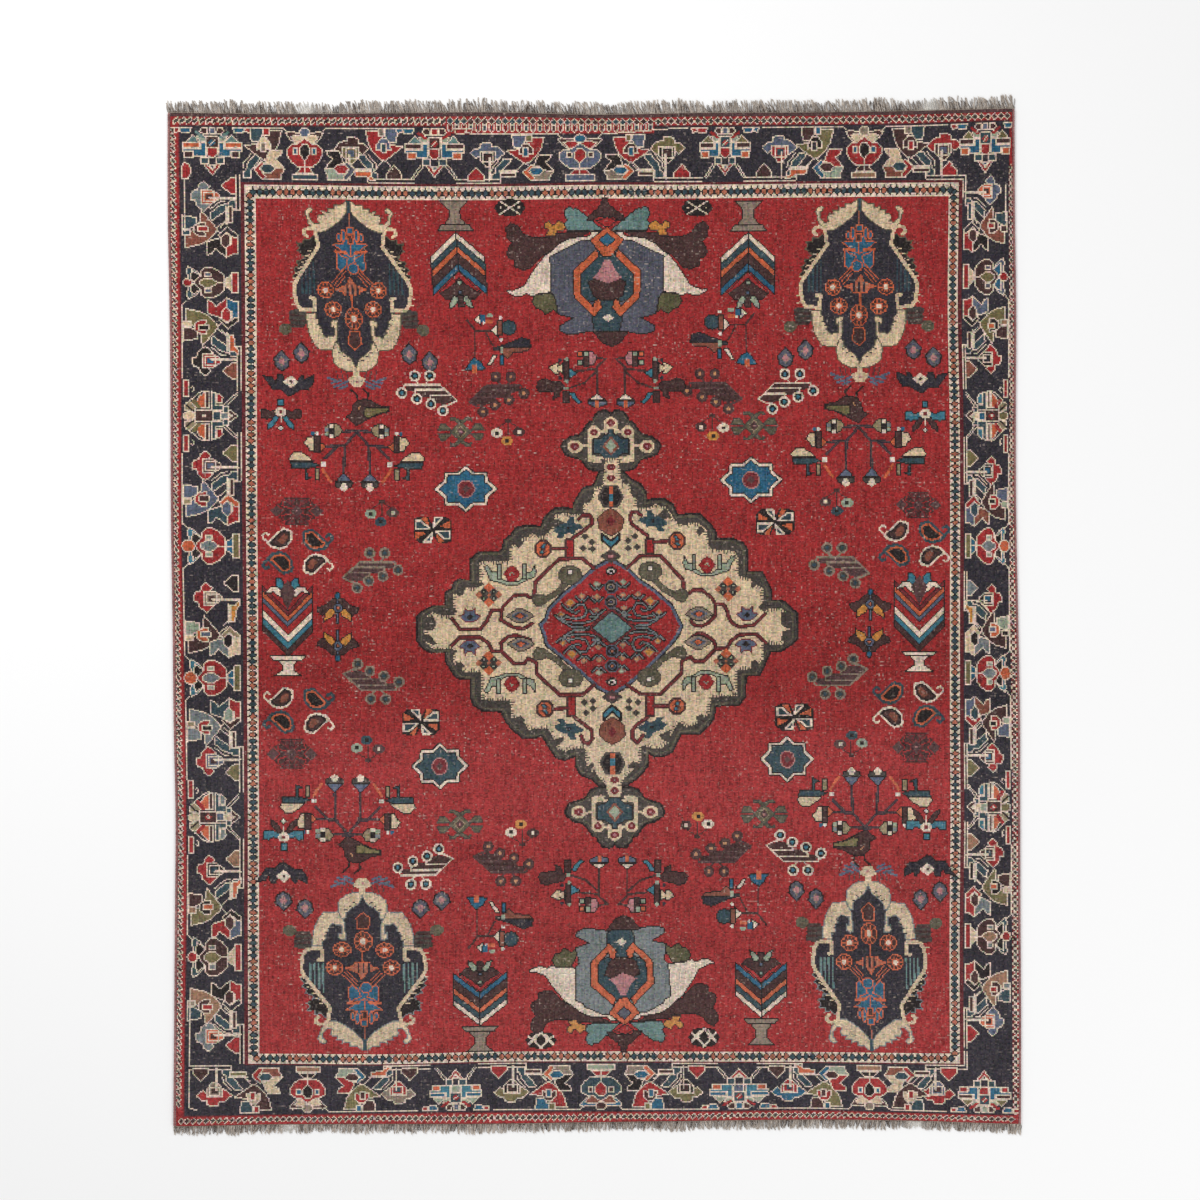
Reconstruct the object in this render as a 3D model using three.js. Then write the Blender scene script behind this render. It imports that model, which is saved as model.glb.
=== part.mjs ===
// A hand-knotted wool rug with a worn low pile, lying flat.
// Millimetres, +Z up, +X across the rug, +Y along its warps towards the upper end.
// The origin is the middle of the footprint, on the surface that the rug lies on.
// Pieces: the knotted rug itself, an overcast selvedge on each long side, and at each
// end a flat-woven band of warps whose cut ends are the fringe.
import * as THREE from "three";

// The rug's nominal rectangle, over the selvedges and without the fringe.
const RUG_WIDTH = 1904;
const RUG_LENGTH = 2274;
const PILE_THICKNESS = 6;
const PILE_EDGE_ROUNDING = 1.2;

const SELVEDGE_WIDTH = { left: 7, right: 6 };
const SELVEDGE_THICKNESS = 6.6;
const GAP = 0.3;

const BAND_WIDTH = 5;
const FRINGE_THICKNESS = 2.4;
const LOCKS_PER_END = 148;
const LOCK_ROOT_SHARE = 0.78;
const LOCK_TIP_SHARE = 0.36;

// How far each side stands out from the nominal rectangle, at equal steps along it.
// The long sides run from the lower end to the upper one, the ends from left to right.
const STANDS_OUT = {
  left: [-5, -7, -8.5, -10, -5.5, -3, 0.5, 1.5, 3.5, 7.5, 8],
  right: [9, 9.5, 8, 7.5, 7, 3, -1.5, -2.5, -1.5, -4.5, -5.5],
  lower: [5.5, 0.5, 0, -0.5, -4, -7, -10, -7.5, 0],
  upper: [-1.5, -4.5, -3, -0.5, -6, -2, -1, 2.5, 7.5],
};

// The fringe's length at equal steps from left to right, and how far its tips lean right.
const FRINGE = {
  upper: { length: [25, 21, 27, 24, 27, 22, 26, 24, 30, 29, 28], lean: [-3, -5, 3, -2, 4, -4, 2, -3, 4, 3, -3] },
  lower: { length: [17, 21, 20, 23, 21, 20, 16, 17, 18, 20, 18], lean: [2, 4, -3, 3, -2, 4, -4, -2, 3, -4, 4] },
};

const SIDE_STEPS = 44;
const END_STEPS = 48;

// A smooth curve through equally spaced values, read at a share from 0 to 1.
function smooth(values) {
  const points = values.map((value, i) => new THREE.Vector2(i / (values.length - 1), value));
  const curve = new THREE.SplineCurve(points);
  return (share) => curve.getPoint(THREE.MathUtils.clamp(share, 0, 1)).y;
}

const out = Object.fromEntries(
  Object.entries(STANDS_OUT).map(([side, values]) => [side, smooth(values)]),
);

// Where the rug's edges run. Each takes a share along its side and gives one coordinate.
const leftX = (share) => -RUG_WIDTH / 2 - out.left(share);
const rightX = (share) => RUG_WIDTH / 2 + out.right(share);
const lowerY = (share) => -RUG_LENGTH / 2 - out.lower(share);
const upperY = (share) => RUG_LENGTH / 2 + out.upper(share);

// A point on a long side, moved inwards from the outer edge.
function onSide(side, share, inwards) {
  const end = side === "left" ? 0 : 1;
  const y = THREE.MathUtils.lerp(lowerY(end), upperY(end), share);
  const x = side === "left" ? leftX(share) + inwards : rightX(share) - inwards;
  return new THREE.Vector2(x, y);
}

// A point on an end, moved away from the rug. With an inset the share runs between points
// that far inside the corners, still on the same curve.
function onEnd(end, share, outwards, inset = { left: 0, right: 0 }) {
  const corner = end === "upper" ? 1 : 0;
  const x = THREE.MathUtils.lerp(leftX(corner) + inset.left, rightX(corner) - inset.right, share);
  const along = THREE.MathUtils.inverseLerp(leftX(corner), rightX(corner), x);
  const y = end === "upper" ? upperY(along) + outwards : lowerY(along) - outwards;
  return new THREE.Vector2(x, y);
}

// Shares from 0 to 1 in equal steps.
const steps = (count) => Array.from({ length: count + 1 }, (_, i) => i / count);

// A repeatable scatter between -1 and 1 for a numbered lock.
function scatter(number, salt) {
  const wave = Math.sin(number * 12.9898 + salt * 78.233) * 43758.5453;
  return 2 * (wave - Math.floor(wave)) - 1;
}

// The knotted rug: one flat slab with the outline's slow waves and a rounded rim.
function rugGeometry() {
  const inset = { left: SELVEDGE_WIDTH.left + GAP, right: SELVEDGE_WIDTH.right + GAP };
  const outline = [
    ...steps(END_STEPS).map((share) => onEnd("lower", share, 0, inset)),
    ...steps(SIDE_STEPS).slice(1).map((share) => onSide("right", share, inset.right)),
    ...steps(END_STEPS).slice(1).map((share) => onEnd("upper", 1 - share, 0, inset)),
    ...steps(SIDE_STEPS).slice(1, -1).map((share) => onSide("left", 1 - share, inset.left)),
  ];
  const geometry = new THREE.ExtrudeGeometry(new THREE.Shape(outline), {
    depth: PILE_THICKNESS - 2 * PILE_EDGE_ROUNDING,
    steps: 1,
    bevelEnabled: true,
    bevelThickness: PILE_EDGE_ROUNDING,
    bevelSize: PILE_EDGE_ROUNDING,
    bevelOffset: -PILE_EDGE_ROUNDING,
    bevelSegments: 1,
  });
  return geometry.translate(0, 0, PILE_EDGE_ROUNDING);
}

// The overcast selvedge's cross-section, from the outer edge inwards: flat below, rounded above.
function selvedgeSection(width) {
  const high = SELVEDGE_THICKNESS;
  return [
    [0.12 * width, 0],
    [0.92 * width, 0],
    [width, 0.3 * high],
    [width, 0.7 * high],
    [0.78 * width, 0.95 * high],
    [0.5 * width, high],
    [0.22 * width, 0.93 * high],
    [0.03 * width, 0.66 * high],
    [0, 0.3 * high],
  ];
}

// A closed bar that carries a section along one long side of the rug.
function selvedgeGeometry(side) {
  const section = selvedgeSection(SELVEDGE_WIDTH[side]);
  const corners = section.length;
  const positions = [];
  for (const share of steps(SIDE_STEPS)) {
    for (const [inwards, z] of section) {
      const point = onSide(side, share, inwards);
      positions.push(point.x, point.y, z);
    }
  }
  const faces = [];
  for (let step = 0; step < SIDE_STEPS; step += 1) {
    for (let corner = 0; corner < corners; corner += 1) {
      const next = (corner + 1) % corners;
      const a = step * corners + corner;
      const b = step * corners + next;
      faces.push([a, b + corners, b], [a, a + corners, b + corners]);
    }
  }
  const lastRing = SIDE_STEPS * corners;
  for (let corner = 1; corner < corners - 1; corner += 1) {
    faces.push([0, corner, corner + 1]);
    faces.push([lastRing, lastRing + corner + 1, lastRing + corner]);
  }
  // The right-hand bar is the left one's mirror image, so its faces are wound the other way.
  const wound = side === "left" ? faces : faces.map(([a, b, c]) => [a, c, b]);
  const geometry = new THREE.BufferGeometry();
  geometry.setAttribute("position", new THREE.Float32BufferAttribute(positions, 3));
  geometry.setIndex(wound.flat());
  geometry.computeVertexNormals();
  return geometry;
}

// The flat-woven band at an end with its fringe: locks of warp ends that stand apart
// and are joined at their roots.
function fringeGeometry(end) {
  const length = smooth(FRINGE[end].length);
  const lean = smooth(FRINGE[end].lean);
  const salt = end === "upper" ? 1 : 2;
  const corner = end === "upper" ? 1 : 0;
  const pitch = (rightX(corner) - leftX(corner)) / LOCKS_PER_END;
  const away = end === "upper" ? 1 : -1;
  const bandInner = steps(END_STEPS).map((share) => onEnd(end, share, GAP));
  const locks = [];
  for (let lock = 0; lock < LOCKS_PER_END; lock += 1) {
    const middle = (lock + 0.5) / LOCKS_PER_END;
    const root = onEnd(end, middle, GAP + BAND_WIDTH);
    const reach = length(middle) * (1 + 0.16 * scatter(lock, salt)) - BAND_WIDTH;
    const tipX = root.x + lean(middle) + 1.4 * scatter(lock, salt + 7);
    const tipY = root.y + away * reach;
    const rootHalf = (LOCK_ROOT_SHARE * pitch) / 2;
    const tipHalf = (LOCK_TIP_SHARE * pitch) / 2;
    locks.push(
      new THREE.Vector2(root.x - rootHalf, root.y),
      new THREE.Vector2(tipX - tipHalf, tipY),
      new THREE.Vector2(tipX + tipHalf, tipY - away * 1.5),
      new THREE.Vector2(root.x + rootHalf, root.y),
    );
  }
  const outline = [...bandInner, ...locks.reverse()];
  return new THREE.ExtrudeGeometry(new THREE.Shape(outline), {
    depth: FRINGE_THICKNESS,
    steps: 1,
    bevelEnabled: false,
  });
}

const finish = (colour, roughness) =>
  new THREE.MeshStandardMaterial({ color: colour, roughness, metalness: 0 });
const KNOTTED_WOOL = finish(0xa5292f, 0.95);
const OVERCAST_WOOL = finish(0xb0646a, 0.95);
const WARP_YARN = finish(0x8c7d74, 0.98);

function piece(name, geometry, material) {
  const mesh = new THREE.Mesh(geometry, material);
  mesh.name = name;
  return mesh;
}

const rug = new THREE.Group();
rug.add(
  piece("rug_pile", rugGeometry(), KNOTTED_WOOL),
  piece("selvedge_left", selvedgeGeometry("left"), OVERCAST_WOOL),
  piece("selvedge_right", selvedgeGeometry("right"), OVERCAST_WOOL),
  piece("fringe_upper", fringeGeometry("upper"), WARP_YARN),
  piece("fringe_lower", fringeGeometry("lower"), WARP_YARN),
);

// The footprint's middle goes to the origin.
const footprint = new THREE.Box3().setFromObject(rug).getCenter(new THREE.Vector3());
rug.position.set(-footprint.x, -footprint.y, 0);

export default rug;
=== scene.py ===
"""A hand-knotted village rug lying flat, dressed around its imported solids.

The pattern is worked the way a knotter works it. A chart of knots is drawn motif by motif in
design units, each block of knots is carried by one face of the pile, and the pile's material
reads the knots back and gives each its wool. Lengths are metres in the part's own frame.
"""

from __future__ import annotations

import logging
import math
from dataclasses import dataclass, field
from enum import Enum
from typing import Optional, Sequence

import bpy
import numpy as np
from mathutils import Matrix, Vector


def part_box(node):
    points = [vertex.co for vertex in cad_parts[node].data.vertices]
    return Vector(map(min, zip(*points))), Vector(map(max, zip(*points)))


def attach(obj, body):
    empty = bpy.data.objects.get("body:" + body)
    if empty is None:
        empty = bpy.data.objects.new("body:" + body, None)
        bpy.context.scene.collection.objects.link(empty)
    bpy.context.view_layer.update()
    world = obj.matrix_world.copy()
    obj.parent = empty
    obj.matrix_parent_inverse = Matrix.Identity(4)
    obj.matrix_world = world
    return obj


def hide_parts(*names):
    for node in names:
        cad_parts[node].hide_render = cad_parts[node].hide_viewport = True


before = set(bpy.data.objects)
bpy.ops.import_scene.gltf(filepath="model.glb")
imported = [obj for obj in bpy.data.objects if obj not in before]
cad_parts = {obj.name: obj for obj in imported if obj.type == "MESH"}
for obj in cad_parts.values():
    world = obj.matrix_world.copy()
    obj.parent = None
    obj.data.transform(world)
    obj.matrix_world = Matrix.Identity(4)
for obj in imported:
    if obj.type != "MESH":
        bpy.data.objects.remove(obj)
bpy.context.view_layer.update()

LOG = logging.getLogger("rug")

UNIT_MM = 2.25
UNIT = UNIT_MM / 1000

THIN_LINE = 1.3  # up to this many knots wide, a slanted line is only stepped corner to corner
LEAST_REACH = 0.5  # the share of its width that such a line keeps at the least
TINY = 1e-9

Point = tuple[float, float]


class Dye(Enum):
    """The wools of the rug, each with its colour as sRGB bytes."""

    RED = (149, 44, 45)
    NAVY = (50, 47, 54)
    INK = (40, 35, 35)
    BROWN = (70, 48, 47)
    PLUM = (84, 60, 60)
    IVORY = (218, 197, 177)
    CREAM = (206, 181, 149)
    WHITE = (214, 202, 189)
    RUST = (126, 74, 60)
    TAN = (146, 108, 84)
    PINK = (172, 116, 118)
    ORANGE = (186, 92, 60)
    PEACH = (188, 132, 94)
    GOLD = (188, 126, 62)
    OLIVE = (112, 102, 68)
    MOSS = (88, 84, 60)
    KHAKI = (142, 126, 98)
    GREY = (132, 116, 102)
    TEAL = (52, 71, 78)
    JADE = (96, 122, 119)
    MINT = (146, 154, 134)
    SLATE = (86, 94, 112)
    MIST = (112, 118, 119)
    BLUE = (42, 91, 116)
    SEA = (58, 110, 126)
    WINE = (112, 44, 48)
    ROSE = (172, 118, 114)
    DARKRED = (96, 40, 44)
    SHADOW = (70, 64, 60)
    STEEL = (82, 83, 94)
    CLAY = (166, 98, 76)
    SAGE = (92, 86, 70)

    @property
    def code(self) -> int:
        """The knot's number on the chart."""
        return DYE_CODES[self]


DYE_CODES: dict[Dye, int] = {dye: number for number, dye in enumerate(Dye)}

(RED, NAVY, INK, BROWN, PLUM, IVORY, CREAM, WHITE, RUST, TAN, PINK, ORANGE, PEACH, GOLD, OLIVE,
 MOSS, KHAKI, GREY, TEAL, JADE, MINT, SLATE, MIST, BLUE, SEA, WINE, ROSE, DARKRED, SHADOW,
 STEEL, CLAY, SAGE) = Dye


def smooth_at(values: Sequence[float], share: np.ndarray) -> np.ndarray:
    """Reads a smooth curve through equally spaced values.

    Args:
        values: The curve's heights at equal steps.
        share: Where to read it, from 0 at the first value to 1 at the last.

    Returns:
        The curve's height at each share.
    """
    heights = np.asarray(values, float)
    last = len(heights) - 1
    place = np.clip(share, 0.0, 1.0) * last
    index = np.clip(np.floor(place).astype(int), 0, last - 1)
    part = place - index
    before = heights[np.maximum(index - 1, 0)]
    here = heights[index]
    there = heights[index + 1]
    after = heights[np.minimum(index + 2, last)]
    bend_in = 0.5 * (there - before)
    bend_out = 0.5 * (after - here)
    square = part * part
    cube = square * part
    return ((2 * here - 2 * there + bend_in + bend_out) * cube
            + (3 * there - 3 * here - 2 * bend_in - bend_out) * square
            + bend_in * part + here)


@dataclass(frozen=True)
class Thread:
    """One straight line of the chart, and where the finished rug has it.

    Attributes:
        chart: The line's place on the chart, in units from the middle.
        seen: Its places on the finished rug at equal steps along it, in the same units.
    """

    chart: float
    seen: tuple[float, ...]


@dataclass(frozen=True)
class Drift:
    """How far the weaving wanders from its chart.

    Attributes:
        half_width: Half of the width that the wefts' shares are counted over, in units.
        half_length: Half of the pile's length on the chart, in units.
        warps: Lines along the rug, from left to right.
        wefts: Lines across it, from the lower end to the upper one. The outer lines of both are
            the pile's own edges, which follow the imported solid.
    """

    half_width: float = 420.0
    half_length: float = 1137 / UNIT_MM
    warps: tuple[Thread, ...] = (
        Thread(-944.7 / UNIT_MM, (-417.6, -416.8, -416.1, -415.4, -417.4, -418.5, -420.1, -420.5,
                                  -421.4, -423.2, -423.4)),
        Thread(-409.6, (-409.0, -408.0, -406.6, -406.6, -408.0, -410.0, -411.8, -411.8,
                        -412.0, -413.2, -414.0)),
        Thread(-351.0, (-349.0, -349.2, -349.5, -349.5, -350.0, -350.5, -351.3, -351.7,
                        -352.0, -352.8, -354.0)),
        Thread(368.5, (369.5, 368.6, 368.5, 369.4, 368.8, 368.8, 369.0, 368.5,
                       366.6, 367.4, 368.5)),
        Thread(414.8, (418.0, 417.4, 417.0, 417.2, 416.4, 415.2, 414.6, 414.6,
                       414.6, 414.0, 414.4)),
        Thread(945.7 / UNIT_MM, (424.3, 424.5, 423.9, 423.6, 423.4, 421.6, 419.6, 419.2,
                                 419.6, 418.3, 417.9)),
    )
    wefts: tuple[Thread, ...] = (
        Thread(-1137 / UNIT_MM, (-507.8, -505.6, -505.3, -505.1, -503.6, -502.2, -500.9, -502.0,
                                 -505.3)),
        Thread(-493.5, (-497.0, -495.3, -494.0, -492.5, -492.2, -492.0, -490.9, -493.5, -496.0)),
        Thread(-445.5, (-447.0, -446.6, -447.2, -444.6, -444.2, -444.5, -444.8, -446.0, -447.0)),
        Thread(435.5, (436.0, 435.3, 434.0, 433.7, 435.3, 435.5, 436.5, 437.5, 438.0)),
        Thread(491.0, (491.4, 491.0, 490.4, 490.0, 490.2, 491.0, 492.0, 493.0, 497.0)),
        Thread(1137 / UNIT_MM, (504.7, 503.3, 504.0, 505.1, 502.7, 504.4, 504.9, 506.4, 508.7)),
    )

    def _shift(self, threads: tuple[Thread, ...], across: np.ndarray,
               share: np.ndarray) -> np.ndarray:
        """Gives how far points move across a set of threads.

        Args:
            threads: The warps or the wefts.
            across: The points' places on the chart, measured across the threads.
            share: The points' places along the threads, from 0 to 1.

        Returns:
            The distance that each point moves.
        """
        lines = np.array([thread.chart for thread in threads])
        moved = np.stack([smooth_at(thread.seen, share) - thread.chart for thread in threads])
        index = np.clip(np.searchsorted(lines, across) - 1, 0, len(lines) - 2)
        part = (across - lines[index]) / (lines[index + 1] - lines[index])
        part = np.clip(part, 0.0, 1.0)
        point = np.arange(across.size).reshape(across.shape)
        flat = moved.reshape(len(lines), -1)
        return flat[index, point] * (1 - part) + flat[index + 1, point] * part

    def seen(self, x: np.ndarray, y: np.ndarray) -> tuple[np.ndarray, np.ndarray]:
        """Moves points of the chart to where the finished rug has them.

        Args:
            x: Places across the rug, in units.
            y: Places along the rug, in units.

        Returns:
            The moved places across and along the rug.
        """
        up = (y + self.half_length) / (2 * self.half_length)
        over = (x + self.half_width) / (2 * self.half_width)
        return x + self._shift(self.warps, x, up), y + self._shift(self.wefts, y, over)

    def chart(self, x: float, y: float) -> Point:
        """Finds the point of the chart that the finished rug has at a place.

        Args:
            x: The place across the rug, in units.
            y: The place along the rug, in units.

        Returns:
            The same point on the chart.
        """
        guess_x = np.array([x], float)
        guess_y = np.array([y], float)
        for _ in range(4):
            at_x, at_y = self.seen(guess_x, guess_y)
            guess_x = guess_x + (x - at_x)
            guess_y = guess_y + (y - at_y)
        return float(guess_x[0]), float(guess_y[0])


@dataclass
class KnotChart:
    """The rug's pattern as a grid of knots, the lowest row first.

    Attributes:
        drift: How the weaving wanders, which places the chart on the rug.
        columns: Knots across the pile.
        rows: Knots along the pile.
    """

    drift: Drift = field(default_factory=Drift)
    columns: int = 672
    rows: int = 810

    def __post_init__(self) -> None:
        """Starts with plain field wool."""
        self.left = self.drift.warps[0].chart
        self.right = self.drift.warps[-1].chart
        self.lower = self.drift.wefts[0].chart
        self.upper = self.drift.wefts[-1].chart
        self.knot_width = (self.right - self.left) / self.columns
        self.knot_height = (self.upper - self.lower) / self.rows
        self.codes = np.full((self.rows, self.columns), RED.code, np.uint8)

    def _knots(self, points: np.ndarray) -> np.ndarray:
        """Turns points in units into places counted in knots."""
        return (points - (self.left, self.lower)) / (self.knot_width, self.knot_height)

    def _window(self, low: np.ndarray, high: np.ndarray) -> Optional[tuple[slice, slice]]:
        """Finds the rows and columns between two corners, or None off the rug.

        Args:
            low: The lower left corner, counted in knots.
            high: The upper right corner.

        Returns:
            The rows and columns, or None off the rug.
        """
        first = np.maximum(np.floor(low).astype(int), 0)
        last = np.minimum(np.ceil(high).astype(int) + 1, (self.columns, self.rows))
        if (last <= first).any():
            return None
        return slice(first[1], last[1]), slice(first[0], last[0])

    @staticmethod
    def _middles(window: tuple[slice, slice]) -> tuple[np.ndarray, np.ndarray]:
        """Gives the middles of a window's knots across and along, counted in knots."""
        return (np.arange(window[1].start, window[1].stop)[None, :] + 0.5,
                np.arange(window[0].start, window[0].stop)[:, None] + 0.5)

    def fill(self, points: np.ndarray, dye: Dye) -> None:
        """Knots the inside of an outline.

        Args:
            points: The outline's corners on the chart, in units.
            dye: The wool.
        """
        corners = self._knots(points)
        window = self._window(corners.min(axis=0), corners.max(axis=0))
        if window is None:
            return
        x, y = self._middles(window)
        inside = np.zeros((y.size, x.size), bool)
        for start, end in zip(corners, np.roll(corners, -1, axis=0)):
            if start[1] == end[1]:
                continue
            crosses = (start[1] > y) != (end[1] > y)
            meets = start[0] + (y - start[1]) * (end[0] - start[0]) / (end[1] - start[1])
            inside ^= crosses & (x < meets)
        self.codes[window][inside] = dye.code

    def stroke(self, points: np.ndarray, dye: Dye, width: float) -> None:
        """Knots a line, whose slanted runs touch only at their knots' corners where it is thin.

        Args:
            points: The line's corners on the chart, in units.
            dye: The wool.
            width: The line's width in knots.
        """
        corners = self._knots(points)
        for start, end in zip(corners[:-1], corners[1:]):
            run = end - start
            square = max(float(run @ run), TINY)
            reach = width / 2
            if width <= THIN_LINE:
                reach *= max(float(np.abs(run).max()) / math.sqrt(square), LEAST_REACH)
            window = self._window(np.minimum(start, end) - reach, np.maximum(start, end) + reach)
            if window is None:
                continue
            x, y = self._middles(window)
            part = np.clip(((x - start[0]) * run[0] + (y - start[1]) * run[1]) / square, 0, 1)
            apart = (x - start[0] - part * run[0]) ** 2 + (y - start[1] - part * run[1]) ** 2
            self.codes[window][apart <= reach * reach] = dye.code


@dataclass(frozen=True)
class Pen:
    """Draws a motif in its own coordinates onto the chart.

    Attributes:
        chart: The chart to draw on.
        origin: The chart's point at the motif's own zero, in units.
        across: The chart's step for one step right in the motif.
        along: The chart's step for one step up in the motif.
        edge: The wool that outlines filled shapes, or None.
        edge_width: The outline's width in knots.
    """

    chart: KnotChart
    origin: Point = (0.0, 0.0)
    across: Point = (1.0, 0.0)
    along: Point = (0.0, 1.0)
    edge: Optional[Dye] = None
    edge_width: float = 1.0

    def _chart_points(self, points: Sequence[Point]) -> np.ndarray:
        """Takes the motif's points to the chart."""
        local = np.asarray(points, float)
        return local @ np.array([self.across, self.along]) + self.origin

    def at(self, x: float, y: float, turn: float = 0.0, mirror: bool = False,
           size: tuple[float, float] = (1.0, 1.0), edge: Optional[Dye] = None) -> Pen:
        """Makes a pen for a motif placed within this one.

        Args:
            x: The motif's place across.
            y: The motif's place along.
            turn: How far it is turned to the left, in degrees.
            mirror: Whether its left and right are swapped.
            size: How much it is stretched across and along.
            edge: The wool for its outlines, or None to keep this pen's.

        Returns:
            The placed pen.
        """
        angle = math.radians(turn)
        right = np.array([math.cos(angle), math.sin(angle)]) * size[0] * (-1 if mirror else 1)
        up = np.array([-math.sin(angle), math.cos(angle)]) * size[1]
        axes = np.array([self.across, self.along])
        origin = np.array([x, y]) @ axes + self.origin
        across, along = right @ axes, up @ axes
        return Pen(self.chart, (origin[0], origin[1]), (across[0], across[1]),
                   (along[0], along[1]), edge or self.edge, self.edge_width)

    def edged(self, edge: Optional[Dye], width: float = 1.0) -> Pen:
        """Gives the same pen with another outline."""
        return Pen(self.chart, self.origin, self.across, self.along, edge, width)

    def fill(self, dye: Dye, *points: Point) -> None:
        """Fills an outline and draws its edge.

        Args:
            dye: The wool inside.
            points: The outline's corners in order.
        """
        outline = self._chart_points(points)
        self.chart.fill(outline, dye)
        if self.edge is not None:
            self.chart.stroke(np.vstack([outline, outline[:1]]), self.edge, self.edge_width)

    def line(self, dye: Dye, *points: Point, width: float = 1.0) -> None:
        """Draws a line through points, with its width in knots."""
        self.chart.stroke(self._chart_points(points), dye, width)

    def block(self, dye: Dye, x0: float, y0: float, x1: float, y1: float) -> None:
        """Fills an upright rectangle."""
        self.fill(dye, (x0, y0), (x1, y0), (x1, y1), (x0, y1))

    def disc(self, dye: Dye, x: float, y: float, across: float,
             along: Optional[float] = None, sides: int = 14) -> None:
        """Fills an oval.

        Args:
            dye: The wool inside.
            x: The middle's place across.
            y: The middle's place along.
            across: Its half width.
            along: Its half length, or None for a round one.
            sides: How many corners its outline has.
        """
        tall = across if along is None else along
        steps = [2 * math.pi * (step + 0.5) / sides for step in range(sides)]
        self.fill(dye, *((x + across * math.cos(a), y + tall * math.sin(a)) for a in steps))

    def diamond(self, dye: Dye, x: float, y: float, across: float,
                along: Optional[float] = None) -> None:
        """Fills a diamond, given its middle and its half width and length."""
        tall = across if along is None else along
        self.fill(dye, (x - across, y), (x, y - tall), (x + across, y), (x, y + tall))

    def pair(self) -> tuple[Pen, Pen]:
        """Gives this pen and its mirror image, for shapes drawn on both sides."""
        return self, self.at(0, 0, mirror=True)


def both_sides(*side: Point) -> tuple[Point, ...]:
    """Closes an outline's right side with its mirror image, from the last corner to the first.

    Args:
        side: The right side's corners in order, with x at 0 or more.

    Returns:
        All corners, with those on the middle line only once.
    """
    return (*side, *((-x, y) for x, y in reversed(side) if x))


MOTIF_HEIGHT = 55.0  # the main border's width as its motifs are drawn
PINCHED_SHARE = 0.89  # what is left of it beside the wider part of the outer band
BASE_LINES = ((2.8, INK), (1.1, IVORY), (4.5, IVORY))  # heights over the inner line, and wools
BASE_END = (1.4, 8)  # the heights between which a short line closes them
STALK_GAP = 4  # from a stalk to where its base line starts
HOUSE_REACH = 20.0  # from a house to where its base line stops
POT_REACH = 18  # half of the stretch that the outer ivory line leaves free at a pot
COMPASS_REACH = 38  # the same at a compass flower
RAIL_LEVEL = 54.2  # the outer ivory line's height
RAIL_BEND = 4  # how long the line's bent ends are
SAME_WOOL = 4  # how many figures of a chain follow one another in one wool
LOOPS_START = -145
LOOPS_END = 61
LOOP_COUNT = 30
BANDS = (
    # wool, left, lower, right and upper edge
    (DARKRED, -425, -510, 425, 510),
    (PLUM, -425, 501.9, 425, 510),
    (RED, -425, -510, 425, 501.9),
    (DARKRED, -410.6, -495.3, 416.0, 493.0),
    (INK, -410.2, -494.3, 415.4, 491.8),
    (NAVY, -409.6, -493.5, 414.8, 491),
    (DARKRED, -351, -445.5, 368.5, 435.5),
    (IVORY, -347.7, -443.7, 365.5, 432.6),
    (RED, -336.3, -434.2, 355.2, 419.2),
)


@dataclass(frozen=True)
class Side:
    """One side of the border, worked with outwards up and its length to the right.

    Attributes:
        chart: The chart to draw on.
        run: The chart's step for one step along the side.
        outward: The chart's step for one step away from the middle.
        inner: The main border's inner line, as a distance from the middle.
        height: The main border's width.
        pinch: The stretch where the band outside is wider, which leaves less of the border.
        squeeze: How wide the square flowers are.
    """

    chart: KnotChart
    run: Point
    outward: Point
    inner: float
    height: float
    pinch: Point = (0.0, 0.0)
    squeeze: float = 1.0

    @property
    def pen(self) -> Pen:
        """A pen whose x runs along the side and whose y is the distance from the middle."""
        return Pen(self.chart, (0.0, 0.0), self.run, self.outward)

    @property
    def scale(self) -> float:
        """The border's width as a share of the one that its motifs are drawn for."""
        return self.height / MOTIF_HEIGHT

    def chart_run(self, place: float) -> float:
        """Gives the chart's place along the side for a place on the finished rug."""
        far = self.inner + self.height / 2
        seen = np.array([place, far]) @ np.array([self.run, self.outward])
        return float(np.array(self.chart.drift.chart(seen[0], seen[1])) @ np.array(self.run))

    def room(self, place: float) -> float:
        """Gives the share of the border's width that is free at a place."""
        return PINCHED_SHARE if self.pinch[0] < place < self.pinch[1] else 1.0

    def place(self, place: float, facing: int = 1) -> Pen:
        """Gives a pen for a motif that stands on the main border's inner line.

        Args:
            place: The motif's place along the side on the finished rug.
            facing: 1, or -1 for a mirrored motif.

        Returns:
            The pen, with ivory outlines.
        """
        size = (1.0, self.scale * self.room(place))
        return self.pen.at(self.chart_run(place), self.inner, 0, facing < 0, size, IVORY)


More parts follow.
